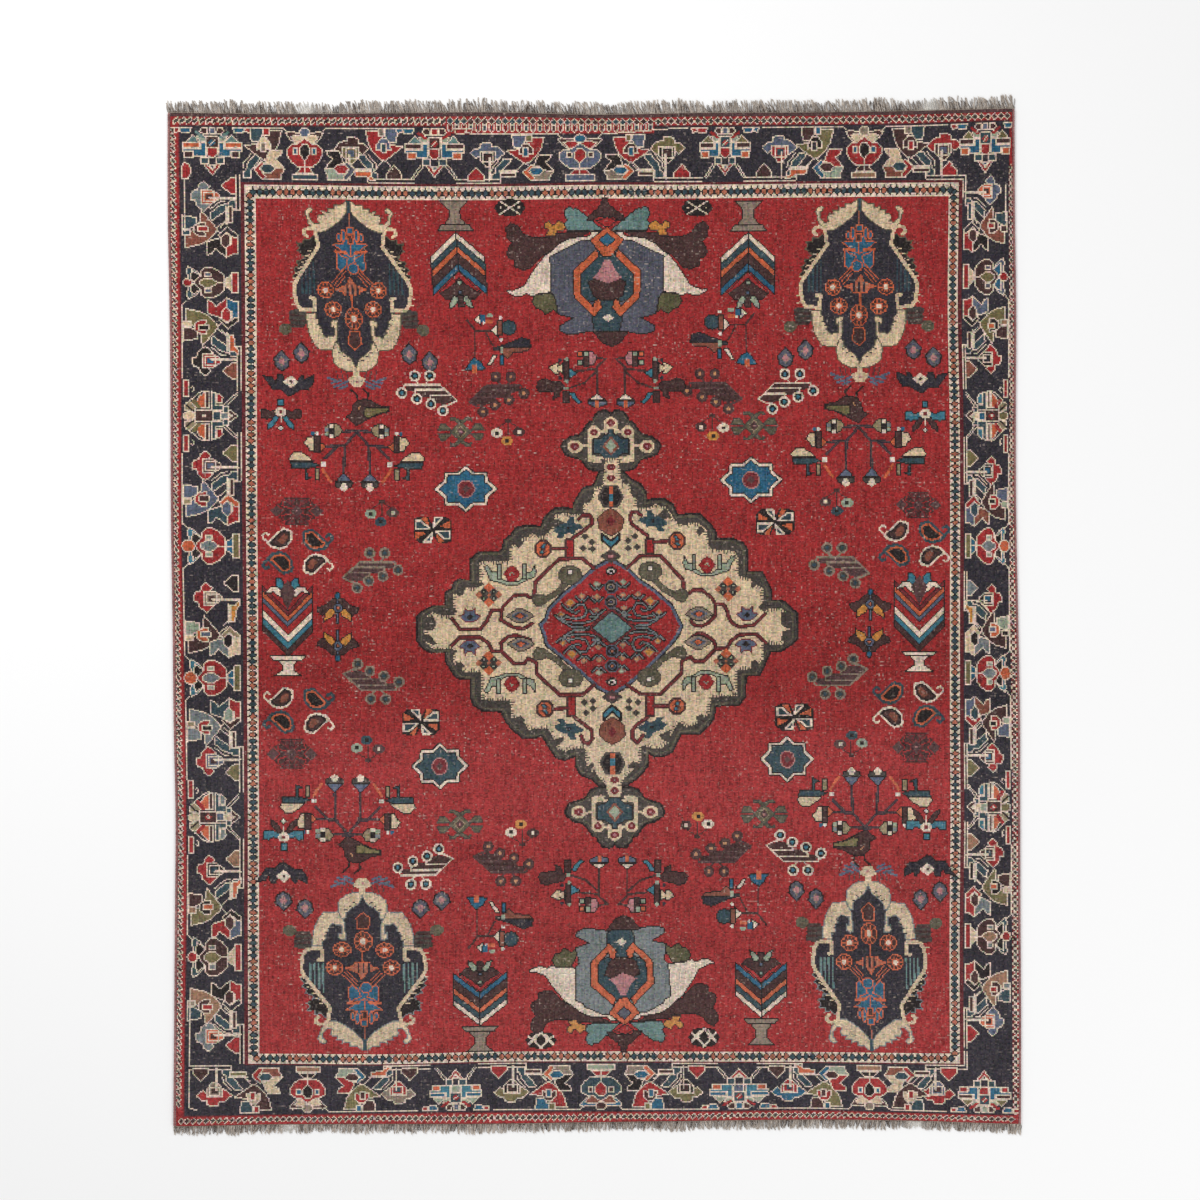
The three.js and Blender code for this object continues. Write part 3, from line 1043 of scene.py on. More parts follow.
@dataclass
class Border:
    """Everything outside the field: the red edge, the guards and the navy main border.

    Attributes:
        chart: The chart to draw on.
    """

    chart: KnotChart

    def __post_init__(self) -> None:
        """Sets up the four sides."""
        self.top = Side(self.chart, (1, 0), (0, 1), 435.5, 55.5, (-146.0, 62.0))
        self.left = Side(self.chart, (0, 1), (-1, 0), 351.0, 58.6, squeeze=0.86)
        self.right = Side(self.chart, (0, -1), (1, 0), 368.5, 46.3, squeeze=0.84)
        self.lower = Side(self.chart, (-1, 0), (0, -1), 445.5, 48.0)

    def draw(self) -> None:
        """Draws the bands from the outside in, then the motifs."""
        self._bands()
        self._outer_guards()
        self._inner_guards()
        tables = ((self.top, TOP_SPRAYS, TOP_MOTIFS), (self.left, LEFT_SPRAYS, LEFT_MOTIFS),
                  (self.right, RIGHT_SPRAYS, RIGHT_MOTIFS),
                  (self.lower, LOWER_SPRAYS, LOWER_MOTIFS))
        for side, sprays, motifs in tables:
            self._rails(side, motifs)
            for spray in sprays:
                spray.draw(side)
            for place, motif in motifs:
                motif.draw(side.place(place))
        self._corners()

    def _bands(self) -> None:
        """Fills the plain bands that lie round one another."""
        for dye, *edges in BANDS:
            Pen(self.chart).block(dye, *edges)

    def _outer_guards(self) -> None:
        """Draws the narrow edgings outside the main border."""
        Lattice(-486, 490, 417.2, 6.05, 3.3, lean=1.9).draw(self.left)
        Lattice(-450, 494, 418.0, 6.1, 2.5, lean=0.6).draw(self.right)
        Lattice(-417, -145, 497.2, 6.4, 4.1, lean=2.4).draw(self.top)
        Lattice(62, 417, 497.0, 6.6, 4.0, shift=2).draw(self.top)
        Lattice(-417, 417, 500.0, 6.3, 3.3, lean=0.8, shift=3).draw(self.lower)
        self._loops()

    def _loops(self) -> None:
        """Draws the row of diamonds and the loops below them at the upper end."""
        pen = self.top.pen
        first, last = LOOPS_START - 1, LOOPS_END + 1
        pen.block(DARKRED, first, 483.5, last, 485.5)
        pen.block(RED, first, 485, last, 501)
        Lattice(LOOPS_START, LOOPS_END, 497.0, 6.9, 4.1, (TEAL, BROWN), 1).draw(self.top)
        for number in range(LOOP_COUNT):
            middle = LOOPS_START + (number + 0.5) * (LOOPS_END - LOOPS_START) / LOOP_COUNT
            loop = pen.at(middle, 0)
            loop.line(IVORY, (-2.3, 494), (-2.3, 489), (0, 486.3), (2.3, 489), (2.3, 494),
                      width=1.0)
            dye = (BROWN, TEAL)[(number + 1) // SAME_WOOL % 2]
            loop.line(dye, (0, 489), (0, 492.5), width=1.4)

    def _inner_guards(self) -> None:
        """Draws the linked diamonds on the pale band next to the field."""
        Guard(-437, 425, 341.9, 6.1, 4.5).draw(self.left)
        Guard(-427, 437, 360.4, 6.2, 4.1, shift=2).draw(self.right)
        StarGuard(-342, 360, 425.7, 6.6, 5.1).draw(self.top)
        Guard(-360, 342, 439.0, 6.6, 4.1, shift=3).draw(self.lower)

    def _rails(self, side: Side, motifs: Sequence[tuple[float, object]]) -> None:
        """Draws the ivory line along the outer edge between each pot and the next compass.

        Args:
            side: The side of the border.
            motifs: The side's pots and compass flowers, each after its place.
        """
        places = sorted((place, isinstance(motif, Vase)) for place, motif in motifs)
        scale = side.scale
        for (here, pot_here), (there, pot_there) in zip(places[:-1], places[1:]):
            here += POT_REACH if pot_here else COMPASS_REACH
            there -= POT_REACH if pot_there else COMPASS_REACH
            start, end = side.chart_run(here), side.chart_run(there)
            low, high = (side.inner + RAIL_LEVEL * scale * side.room(place)
                         for place in (here, there))
            side.pen.line(IVORY, (start, low - RAIL_BEND * scale * pot_here),
                          (start + RAIL_BEND, low), (end - RAIL_BEND, high),
                          (end, high - RAIL_BEND * scale * pot_there))

    def _corners(self) -> None:
        """Draws what stands in the border's corners beside the compass flowers."""
        cup = self.top.place(-408)
        cup.fill(RED, (-4, 3), (2, 3), (5, 9), (5, 14), (2, 18), (-2, 19), (-4, 15))
        cup.line(IVORY, (-1.5, 3), (-1.5, -48), width=1.8)
        self.right.pen.line(IVORY, (-430, 412.5), (-395, 412.5), width=1.4)
        self.left.pen.line(IVORY, (-444, 405.5), (-380, 405.5), width=1.8)
        pen = Pen(self.chart)
        ivory_levels = [high for high, dye in BASE_LINES if dye is IVORY]
        for level in ivory_levels:
            far = self.right.inner + level * 0.85
            high = self.top.inner + level
            pen.line(IVORY, (360, high), (far, high), (far, 418))
            low = -self.lower.inner - level
            pen.line(IVORY, (362, low), (far, low), (far, -432))
        pen.line(IVORY, (-406, -451), (-406, -486), (-398, -489))


class Facing(Enum):
    """Which way a field motif faces, as its signs across and along."""

    PLAIN = (1, 1)
    MIRRORED = (-1, 1)
    FLIPPED = (1, -1)
    TURNED = (-1, -1)

    def pen(self, chart: KnotChart, x: float, y: float, wide: float = 1.0, tall: float = 1.0,
            lean: float = 0.0, edge: Optional[Dye] = None) -> Pen:
        """Gives a pen for a motif in the field.

        Args:
            chart: The chart to draw on.
            x: The motif's place across the finished rug.
            y: The motif's place along it.
            wide: How much the motif is stretched across.
            tall: How much it is stretched along.
            lean: How far it leans to the right for each unit of its height.
            edge: The wool for its outlines.

        Returns:
            The pen, whose zero is the motif's middle.
        """
        across, along = self.value
        return Pen(chart, chart.drift.chart(x, y), (across * wide, 0.0), (lean, along * tall), edge)


QUARTERS = tuple(Facing)
PLAIN, MIRRORED, FLIPPED, TURNED = Facing


@dataclass(frozen=True)
class Cartouche:
    """The navy shield with cream scrolls and a flowering tree that stands in each corner.

    Attributes:
        body: The shield's ground.
        scroll: The scrolls, the outline and the knob at its foot.
        tree: The tree.
        leaf: The slanted lines beside the tree.
        rough: The uneven rim of the scrolls and the leaves.
    """

    body: Dye = NAVY
    scroll: Dye = IVORY
    tree: Dye = BLUE
    leaf: Dye = TEAL
    rough: Dye = SAGE

    def draw(self, pen: Pen) -> None:
        """Draws the whole shield.

        Args:
            pen: The pen, placed for the motif.
        """
        for half in pen.pair():
            self._surroundings(half)
            half.fill(self.body, (0, 67), (-9, 57), (-18, 50), (-25, 46), (-35, 46), (-34, 31),
                      (-54, 0), (-57, -6), (-57, -28), (-53, -32), (-41, -32), (-43, -46),
                      (-40, -58), (-30, -68), (-20, -64), (-19, -76), (-10, -84), (0, -90))
            for step in range(4):
                half.line(self.leaf, (-50 + 4 * step, 2 + 4 * step), (-50 + 4 * step, -16), width=1.6)
            self._scrolls(half.edged(self.rough, 0.9))
        pen.fill(self.scroll, *both_sides((3, -91), (3, -98), (9, -101), (6, -106), (4, -109)))
        pen.disc(PINK, 0, -104, 1.4)
        pen.block(TEAL, -1.6, 64, 1.6, 77)
        pen.line(CLAY, (0, 64), (0, 50))
        self._tree(pen.at(0, 0, edge=ORANGE))
        self._flowers(pen.edged(ORANGE))

    def _surroundings(self, half: Pen) -> None:
        """Draws the leaves and buds beside one half.

        Args:
            half: The pen of that half.
        """
        rough = half.edged(self.rough)
        rough.fill(INK, (-31, 40), (-37, 41), (-41, 37), (-46, 38.5), (-47, 33.5), (-53.5, 34.5),
                   (-51, 29.5), (-54, 26), (-48, 25), (-49, 20.5), (-42, 22), (-34, 20))
        rough.fill(INK, (-38, 20), (-46, 21), (-49, 17), (-55, 15.5), (-53, 11.5), (-58, 8),
                   (-55, 4.5), (-59, 1), (-57, -3), (-50, 4))
        for level in (33, 29, 25):
            half.line(INK, (-40, level), (-50, level - 1), width=1.6)
        half.fill(SHADOW, (-48, -33), (-57, -32), (-65, -34), (-63, -51), (-50, -51), (-45, -40))
        for low in (-38, -43, -48):
            half.line(BROWN, (-64, low), (-50, low - 1), width=1.6)
        half.disc(SAGE, -69, -52, 7, 6, 8)
        for x, y in ((-54, -76), (-74, -84)):
            drop = half.at(x, y)
            drop.edged(INK, 1.3).fill(STEEL, *both_sides((0, 11), (8, 2), (6, -6), (0, -10)))
            drop.diamond(PINK, 0, -0.5, 3.6, 5.6)
            for point in ((0, 3.5), (-3.6, -1), (3.6, -1), (0, -4)):
                drop.diamond(GREY, *point, 1.5, 1.5)
        for points in (((-29, -100), (-21, -103)), ((-25, -105), (-16, -103)),
                       ((-23, -109), (-16, -107)), ((-17, -111), (-10, -108)),
                       ((-14, -106), (-8, -103))):
            half.line(SLATE, *points, width=2.0)
        for x in (-20, -15, -10):
            half.line(PLUM, (x, -94), (x + 2, -102), width=0.9)

    def _scrolls(self, half: Pen) -> None:
        """Draws the cream outline, the top scroll and the crescents of one half.

        Args:
            half: The pen of that half.
        """
        dye = self.scroll
        half.line(dye, (-34.5, 47), (-32, 31), (-56, -4), (-58, -9), (-58, -16), (-56.5, -26),
                  (-53, -32), (-39, -33), (-38.5, -21), (-42, -20.5), width=2.9)
        half.fill(dye, (-1.5, 77), (-1.5, 66), (-9, 57), (-18, 50), (-25, 46), (-31, 45), (-37, 49),
                  (-41, 54), (-42, 60), (-44, 64), (-42, 68), (-38, 70), (-36, 68), (-37, 65),
                  (-40, 64), (-39, 58), (-35, 53), (-30, 54), (-32, 58), (-30, 62), (-25, 62),
                  (-27, 66), (-20, 65), (-21, 69), (-14, 68), (-14, 72), (-8, 72))
        half.line(dye, (-33.5, 47), (-40, 49), (-45, 47.5), (-46, 43.5), (-43, 41), width=2.6)
        half.fill(dye, (-47.5, -36), (-47, -47), (-45, -57), (-41.5, -65), (-37, -71.5), (-23, -73),
                  (-20.5, -67), (-17.5, -62), (-16, -43), (-19, -42), (-23, -44.5), (-22.5, -50),
                  (-20, -48.5), (-20, -58), (-24, -58.5), (-28.5, -60), (-31.5, -56.5), (-32, -52),
                  (-35, -48), (-35, -43), (-38, -40), (-38, -35.5))
        half.fill(dye, (-19.5, -65), (-16, -66), (-15.5, -72), (-11, -76), (-7, -79), (-3.5, -82),
                  (0, -90), (0, -94), (-9, -93.5), (-16, -90.5), (-22, -85), (-23, -74))
        for x, y in ((-36, -41), (-34, -46), (-32, -50), (-30, -54), (-14, -74), (-10, -78), (-6, -82)):
            half.line(self.body, (x, y), (x - 2.6, y - 1), width=1.0)
        for y in (27, 22, 16, 10, 5, -1, -20, -27):
            edge = 0.62 * (29 - max(y, -4))
            half.line(dye, (-37 - edge, y), (-41 - edge, y - 1), width=0.9)

    def _tree(self, pen: Pen) -> None:
        """Draws the blue tree in the shield's upper half.

        Args:
            pen: The pen, placed for the motif.
        """
        pen.edged(None).block(self.tree, -11, 8, 11, 23)
        for half in pen.pair():
            half.disc(self.tree, -11, 40, 2, 4.5, 8)
            half.disc(self.tree, -6.5, 42, 2.2, 6.5, 8)
            half.fill(self.tree, (0, 36), (-4, 40), (-7, 34), (-17, 33), (-8, 26), (0, 21))
            half.fill(self.tree, (-3, 19), (-10, 22), (-14, 26), (-14, 9), (-11, 6), (-5, 12))
            half.line(ORANGE, (-15, 26), (-5, 25), width=2.4)
            for shift in (0, 4, 8):
                half.line(ORANGE, (-6, 10 - shift), (-20 + 0.6 * shift, -5 - 0.5 * shift))
        pen.block(self.tree, -3, 44, 3, 50)
        pen.block(BROWN, -2.5, 34, 2.5, 42)
        pen.disc(self.tree, 2, 9, 5.5)

    @staticmethod
    def _flowers(pen: Pen) -> None:
        """Draws the tent and the flowers in the shield's lower half.

        Args:
            pen: The pen, placed for the motif.
        """
        pen.fill(CLAY, (-2, 0), (-5, -7), (-17, -12), (-10, -14), (-8, -18), (6, -18), (7, -14),
                 (14, -12), (3, -7))
        for x in (-5, 0, 5):
            pen.line(NAVY, (x, -8), (x, -17), width=1.6)
        pen.line(ORANGE, (-1, -18), (-1, -32), width=1.6)
        pen.fill(BROWN, (-5, -54), (5, -54), (7, -66), (0, -72), (-6, -66))
        for x, y, wide, tall in ((-27, -12.5, 8, 8), (26, -12.5, 8, 8), (-20, -32, 8.5, 8),
                                 (20, -31.5, 8.5, 8), (0, -41, 8.5, 11)):
            pen.disc(BROWN, x, y, wide, tall, 9)
            for turn in (0, 36, 72, 108, 144):
                over = 0.95 * wide * math.cos(math.radians(turn))
                up = 0.95 * tall * math.sin(math.radians(turn))
                pen.line(ORANGE, (x - over, y - up), (x + over, y + up), width=0.8)
            pen.edged(None).disc(ORANGE, x, y, 0.5 * wide, 0.5 * tall, 8)
            pen.edged(None).disc(IVORY, x, y, 0.3 * wide, 0.34 * tall, 8)


@dataclass(frozen=True)
class Shield:
    """A shield of chevrons with two leaves at its foot, and the pot that it stands by.

    Attributes:
        bands: The chevrons from the point on, each as its wool, its place and its width.
        reach: Half of the shield's width.
        pot: The pot's wool, place, width and height.
        posy: Whether a winged flower stands at the open end, in place of the small leaves.
        slope: How far the chevrons drop for each unit across.
    """

    bands: tuple[tuple[Dye, float, float], ...]
    reach: float
    pot: tuple[Dye, float, float]
    posy: bool = False
    slope: float = 1.0

    def draw(self, pen: Pen) -> None:
        """Draws the chevrons, the open end and the pot.

        Args:
            pen: The pen, placed for the motif.
        """
        ink = pen.edged(INK)
        reach = self.reach
        for dye, top, thick in self.bands:
            low = top - reach * self.slope
            ink.fill(dye, (-reach, low), (0, top), (reach, low), (reach, low - thick),
                     (0, top - thick), (-reach, low - thick))
        if self.posy:
            self._posy(pen)
        else:
            self._leaves(ink)
        dye, base, tall = self.pot
        foot = base + 0.2 * tall
        ink.fill(dye, (-18, base), (18, base), (14, foot), (-14, foot))
        ink.fill(dye, (-11, foot), (11, foot), (5.5, base + 0.45 * tall), (5.5, base + 0.7 * tall),
                 (8, base + 0.8 * tall), (14, base + tall), (-14, base + tall),
                 (-8, base + 0.8 * tall), (-5.5, base + 0.7 * tall), (-5.5, base + 0.45 * tall))

    @staticmethod
    def _leaves(ink: Pen) -> None:
        """Draws the line down the point, the red chevron and the two leaves below it.

        Args:
            ink: The pen, with ink outlines.
        """
        ink.line(INK, (0, 35), (0, -3), width=1.0)
        ink.fill(RED, *both_sides((0, -4), (21, -25), (16, -29)))
        ink.fill(BROWN, *both_sides((0, -10), (8, -18), (20, -26), (14, -32)))
        ink.disc(MINT, 0, -15, 2.4)
        ink.block(SLATE, -2, -27, 2, -23)
        ink.block(BROWN, -3, -39, 3, -28)
        for half in ink.pair():
            half.fill(MINT, (-3, -29), (-7, -28), (-11, -35), (-12, -41), (-7, -39), (-2, -32))

    @staticmethod
    def _posy(pen: Pen) -> None:
        """Draws the flower with two ivory wings and two blue petals.

        Args:
            pen: The pen, placed for the motif.
        """
        for half in pen.edged(INK).pair():
            half.fill(SEA, (-4, -30), (-7, -29), (-12, -32), (-11, -40), (-7, -40), (-4, -36))
            half.fill(IVORY, (-23, -24), (-17, -31), (-10, -31), (-5, -26), (-3, -20), (-8, -21),
                      (-14, -26))
        pen.fill(PLUM, *both_sides((0, -38), (3, -34), (8, -26), (4, -16), (0, -8)))


@dataclass(frozen=True)
class Comb:
    """A slanted leaf with six berries on stalks, like a cock's comb.

    Attributes:
        body: The leaf.
        line: The lines over it.
        rim: The berries' rings.
        ring: The inside of the rings.
        heart: The berries' middles.
        facing: 1, or -1 where its tip points the other way.
    """

    body: Dye
    line: Dye
    rim: Dye
    ring: Dye
    heart: Dye
    facing: int = 1

    def draw(self, pen: Pen) -> None:
        """Draws the leaf, then the berries over it.

        Args:
            pen: The pen, placed for the motif.
        """
        pen = pen.at(0, 0, mirror=self.facing < 0)
        wide = 1.3 if self.line is IVORY else 1.6
        pen.fill(self.body, (-30, -9), (-13, 7), (20, 7), (22, 1), (11, 0), (8, -5), (-2, -5),
                 (-6, -10), (-16, -13))
        for points in (((-30, -9), (-13, 7), (22, 7), (24, 2)), ((-18, 2), (12, 2), (11, -3)),
                       ((-24, -4), (-3, -4), (-4, -8)), ((-30, -9), (-22, -13), (-16, -14)),
                       ((2, 7), (-2, 12)), ((7, 7), (12, 12))):
            pen.line(self.line, *points, width=wide)
        for x, y in ((-3, 16), (12, 16), (25, -1), (10, -7), (-4, -12), (-16, -19)):
            berry = pen.edged(self.rim, 1.5)
            berry.disc(self.ring, x, y, 4.8, sides=10)
            pen.disc(self.heart, x, y, 1.9, sides=8)


@dataclass(frozen=True)
class Bird:
    """A bird with one folded wing, standing on two thin legs.

    Attributes:
        body: The bird.
        wing: Its wing.
    """

    body: Dye = BROWN
    wing: Dye = OLIVE

    def draw(self, pen: Pen) -> None:
        """Draws the bird, legs upwards.

        Args:
            pen: The pen, placed for the motif.
        """
        ink = pen.edged(INK)
        for foot in (((-6, 9), (-7, 15), (-13, 20)), ((3, 9), (5, 16), (-1, 21))):
            pen.line(INK, *foot, width=1.5)
        ink.fill(self.body, (-12, -4), (-11, 4), (-7, 9), (1, 11), (8, 9), (16, 4), (25, 3),
                 (25, -2), (16, -4), (5, -9), (-2, -13), (-8, -16), (-13, -11), (-18, -7))
        ink.fill(self.wing, (0, -7), (1, 2), (16, 2), (25, 2), (24, -2), (14, -4), (5, -8))
        pen.line(PEACH, (-5, 1), (-3, 4))


@dataclass(frozen=True)
class FlowerTree:
    """A forked stem with two bells below, two round flowers, two side flowers and two leaves.

    Attributes:
        round_flower: The flowers above.
        side: The flowers beside them.
        leaf: The leaves' upper parts.
        bell: The bells below.
    """

    round_flower: Dye = KHAKI
    side: Dye = CREAM
    leaf: Dye = CREAM
    bell: Dye = SLATE

    def draw(self, pen: Pen) -> None:
        """Draws one half and its mirror image.

        Args:
            pen: The pen, placed for the motif.
        """
        for half in pen.pair():
            for points in (((0, 27), (-15, 26)), ((0, 26), (-12, 12), (-31, 11)),
                           ((-12, 12), (-13, -14)), ((-20, 11), (-32, -1))):
                half.line(NAVY, *points, width=2.3)
                half.line(PLUM, *points)
            ink = half.edged(INK)
            ink.fill(self.round_flower, (-14, 27), (-18, 33), (-26, 34), (-32, 30), (-32, 23),
                     (-27, 20), (-19, 21))
            half.block(INK, -28, 21, -22, 33)
            half.block(MIST, -32, 26, -28, 30)
            half.block(MINT, -32, 21.5, -28, 25)
            half.block(IVORY, -27, 30, -23, 33.5)
            half.block(IVORY, -27, 20, -23, 23.5)
            ink.fill(self.side, (-53, 14), (-49, 20), (-43, 21), (-43, 6), (-47, 6), (-49, 11))
            ink.block(BROWN, -42.5, 5, -37, 22)
            ink.fill(ORANGE, (-37, 16), (-31, 11), (-37, 5))
            half.disc(BLUE, -44, 24, 2)
            half.disc(WHITE, -40, 24, 1.8)
            ink.fill(self.leaf, (-68, -1), (-63, 5), (-55, 5), (-47, 0), (-43, -4), (-66, -4))
            ink.fill(TEAL, (-66, -5), (-44, -5), (-37, -8), (-44, -10), (-50, -11), (-49, -20),
                     (-45, -20), (-52, -23), (-52, -11), (-65, -11))
            half.block(WHITE, -36, -9, -31, -4.5)
            half.line(ORANGE, (-34, -12), (-31, -17), (-26, -24), width=2.2)
            ink.block(KHAKI, -42, -22, -38, -11)
            ink.fill(self.bell, (-13, -15), (-21, -24), (-5, -24))
            ink.fill(SHADOW, (-22, -25), (-4, -25), (-5, -29), (-13, -32), (-21, -29))
            half.fill(IVORY, (-15, -26), (-11, -26), (-9, -31), (-13, -34), (-17, -31))


@dataclass(frozen=True)
class Branch:
    """A bent stem with two split flowers, a long leaf and a bell.

    Attributes:
        leaf: The long leaf.
        stripe: The parts beside it and the larger flower's stripe.
        half_ball: The larger flower.
        bell: The bell and the smaller flower's window.
        leg: The slanted leg under the leaf.
    """

    leaf: Dye = NAVY
    stripe: Dye = RUST
    half_ball: Dye = TEAL
    bell: Dye = BLUE
    leg: Dye = IVORY

    def draw(self, pen: Pen) -> None:
        """Draws the branch with its bell at the left.

        Args:
            pen: The pen, placed for the motif.
        """
        pen.line(BROWN, (-22, 18), (-14, 8), (-14, -20), width=1.8)
        pen.line(BROWN, (-14, 7), (5, 7), width=1.6)
        pen.line(BROWN, (-3, 5), (4, -8), width=1.4)
        ink = pen.edged(INK)
        ink.fill(self.bell, (-24, -32), (-19, -24), (-15, -20), (-8, -24), (-4, -31), (-10, -33),
                 (-20, -33))
        pen.block(ORANGE, -17, -35, -12.5, -27)
        ink.fill(IVORY, (-15, 18), (-9, 24), (-8, 13))
        pen.block(self.bell, -8, 16, -3, 23)
        pen.disc(MINT, 1, 22, 3.5, 2)
        pen.block(ORANGE, -3, 14, 4, 18)
        pen.disc(WHITE, -5, 15, 1.4)
        ink.disc(self.half_ball, 20, 10, 8, 7.5, 10)
        ink.fill(IVORY, (2, 7), (10, 16), (10, 0))
        ink.block(self.stripe, 9, 2, 14, 17)
        for x, y in ((12, 20), (12, -2)):
            pen.disc(WHITE, x, y, 1.8)
        ink.fill(self.leaf, (5, -10), (16, -7), (33, 0), (41, -3), (42, -9), (5, -13))
        ink.fill(self.stripe, (10, -10), (42, -10), (38, -14), (24, -15), (18, -21), (11, -14))
        ink.block(BLUE, 10.5, -27, 15, -17)
        pen.block(MINT, 11, -15, 14, -9)
        ink.fill(self.leg, (4, -17), (9, -17), (1, -28), (-2, -28))


@dataclass(frozen=True)
class MiddlePair:
    """The two stems that face one another above and below the medallion.

    Attributes:
        leaf: Their largest leaves.
    """

    leaf: Dye = BROWN

    def draw(self, pen: Pen) -> None:
        """Draws one half and its mirror image.

        Args:
            pen: The pen, placed for the motif.
        """
        for half in pen.pair():
            for points in (((-14, 9), (-14, -20)), ((-14, 9), (-34, 7)), ((-14, 11), (-5, 19),
                           (-14, 20)), ((-15, 6), (-27, -5), (-42, -10))):
                half.line(BROWN, *points, width=1.8)
            ink = half.edged(INK)
            ink.fill(PINK, (-14, 20), (-18, 27), (-22, 27), (-22, 13), (-17, 13))
            ink.block(BROWN, -27, 12, -22, 27)
            ink.block(ORANGE, -33, 21, -28, 26)
            ink.block(MINT, -33, 13, -28, 18)
            half.block(MINT, -26.5, 22, -23, 26)
            ink.fill(CREAM, (-62, 11), (-55, 15), (-52, 15), (-53, 12), (-48, 15), (-48, 4),
                     (-53, 8), (-52, 4), (-56, 4))
            ink.block(BROWN, -47, -2, -42, 19)
            ink.fill(SEA, (-42, 10), (-33, 5), (-42, -1))
            for x, y, dye in ((-51, 18, NAVY), (-44, 19, MINT), (-51, 0, NAVY), (-44, -3, MINT)):
                half.disc(dye, x, y, 2)
            ink.fill(self.leaf, (-75, -9), (-72, -2), (-66, 0), (-59, -3), (-50, -4), (-46, -9),
                     (-51, -13), (-52, -18), (-58, -21), (-57, -14), (-72, -13))
            ink.block(BROWN, -48, -25, -42, -13)
            half.block(MINT, -47, -12, -43, -9)
            ink.fill(SEA, (-42, -15), (-37, -14), (-33, -21), (-29, -24), (-33, -26), (-38, -21))
            ink.fill(SLATE, (-23, -23), (-5, -23), (-5, -27), (-12, -29), (-17, -29), (-23, -26))
            ink.fill(IVORY, (-23, -22), (-14, -16), (-6, -22))
            half.block(ORANGE, -16, -30, -12, -23)


@dataclass(frozen=True)
class Trio:
    """Three small round flowers on one stem.

    Attributes:
        left: The flower at the left.
        right: The flower at the right.
        middle: The flower between and below them.
    """

    left: Dye
    right: Dye
    middle: Dye

    def draw(self, pen: Pen) -> None:
        """Draws the stem and the flowers.

        Args:
            pen: The pen, placed for the motif.
        """
        for points in (((0, 11), (-10, 4)), ((0, 11), (11, 4)), ((0, 13), (0, -3))):
            pen.line(BROWN, *points)
        pen.block(BROWN, -3, 10, 3, 13)
        for dye, heart, x, y in ((self.left, INK, -11, -1), (self.right, IVORY, 11, 0),
                                 (self.middle, INK, -1, -9)):
            pen.disc(dye, x, y, 6.2, 4.8, 10)
            pen.block(heart, x - 1.8, y - 1.8, x + 1.8, y + 1.8)


@dataclass(frozen=True)
class KhakiCross:
    """A flat cross whose arms end in pairs of leaves."""

    def draw(self, pen: Pen) -> None:
        """Draws a quarter four times over, then the middle.

        Args:
            pen: The pen, placed for the motif.
        """
        for side in pen.pair():
            for quarter in (side, side.at(0, 0, size=(1, -1))):
                ink = quarter.edged(SHADOW)
                ink.fill(SAGE, (3, 2), (9, 1.5), (15, 8), (20, 8), (23, 1.5), (12, 1.5))
                ink.fill(SAGE, (0, 5), (3, 9), (7, 12), (11, 11), (10, 14), (5, 14), (0, 11))
        pen.edged(SHADOW).diamond(SAGE, 0, 0, 11, 10)
        pen.edged(KHAKI).diamond(PLUM, 0, 0, 5, 6)
        pen.block(PINK, -1, -1, 1, 1)


@dataclass(frozen=True)
class Star:
    """A star with eight points, outlined in ivory.

    Attributes:
        body: The star.
    """

    body: Dye

    def draw(self, pen: Pen) -> None:
        """Draws the star and its round middle.

        Args:
            pen: The pen, placed for the motif.
        """
        ring = both_sides((0, -21), (7.5, -14.5), (19.5, -14.5), (20, -7.5), (29, 0), (20, 7.5),
                          (19.5, 14.5), (7.5, 14.5), (0, 21))
        pen.edged(INK, 4.2).fill(INK, *ring)
        pen.edged(IVORY, 2.4).fill(self.body, *ring)
        pen.at(0, 0, size=(0.93, 0.93)).edged(INK).fill(self.body, *ring)
        pen.edged(ROSE).disc(WINE, 0, 0, 8.5, 8.5, 12)
        pen.diamond(PLUM, 0, 0, 4)


@dataclass(frozen=True)
class Pinwheel:
    """A small box of eight wedges that turn round its middle."""

    def draw(self, pen: Pen) -> None:
        """Draws four wedges, then the same four turned half round.

        Args:
            pen: The pen, placed for the motif.
        """
        pen.fill(INK, (-19, -8), (-19, 11), (-13, 13.5), (-5, 13.5), (-1, 6), (2, 13.5), (13, 13.5),
                 (19, 8), (19, -11), (13, -13.5), (5, -13.5), (1, -6), (-2, -13.5), (-13, -13.5))
        for half in (pen, pen.at(0, 0, turn=180)):
            pale = half.edged(IVORY, 1.4)
            pale.fill(TEAL, (-17, 1.5), (-17, 9), (-12, 9), (-3, 1.5))
            half.fill(ORANGE, (-12, 12), (-6, 13), (-3, 4), (-4, 4))
            pale.fill(TEAL, (0.5, 3), (2, 12), (9, 12))
            half.fill(ORANGE, (6, 3), (17, 9), (17, 1.5))
            half.block(INK, -17, -0.6, 17, 0.6)


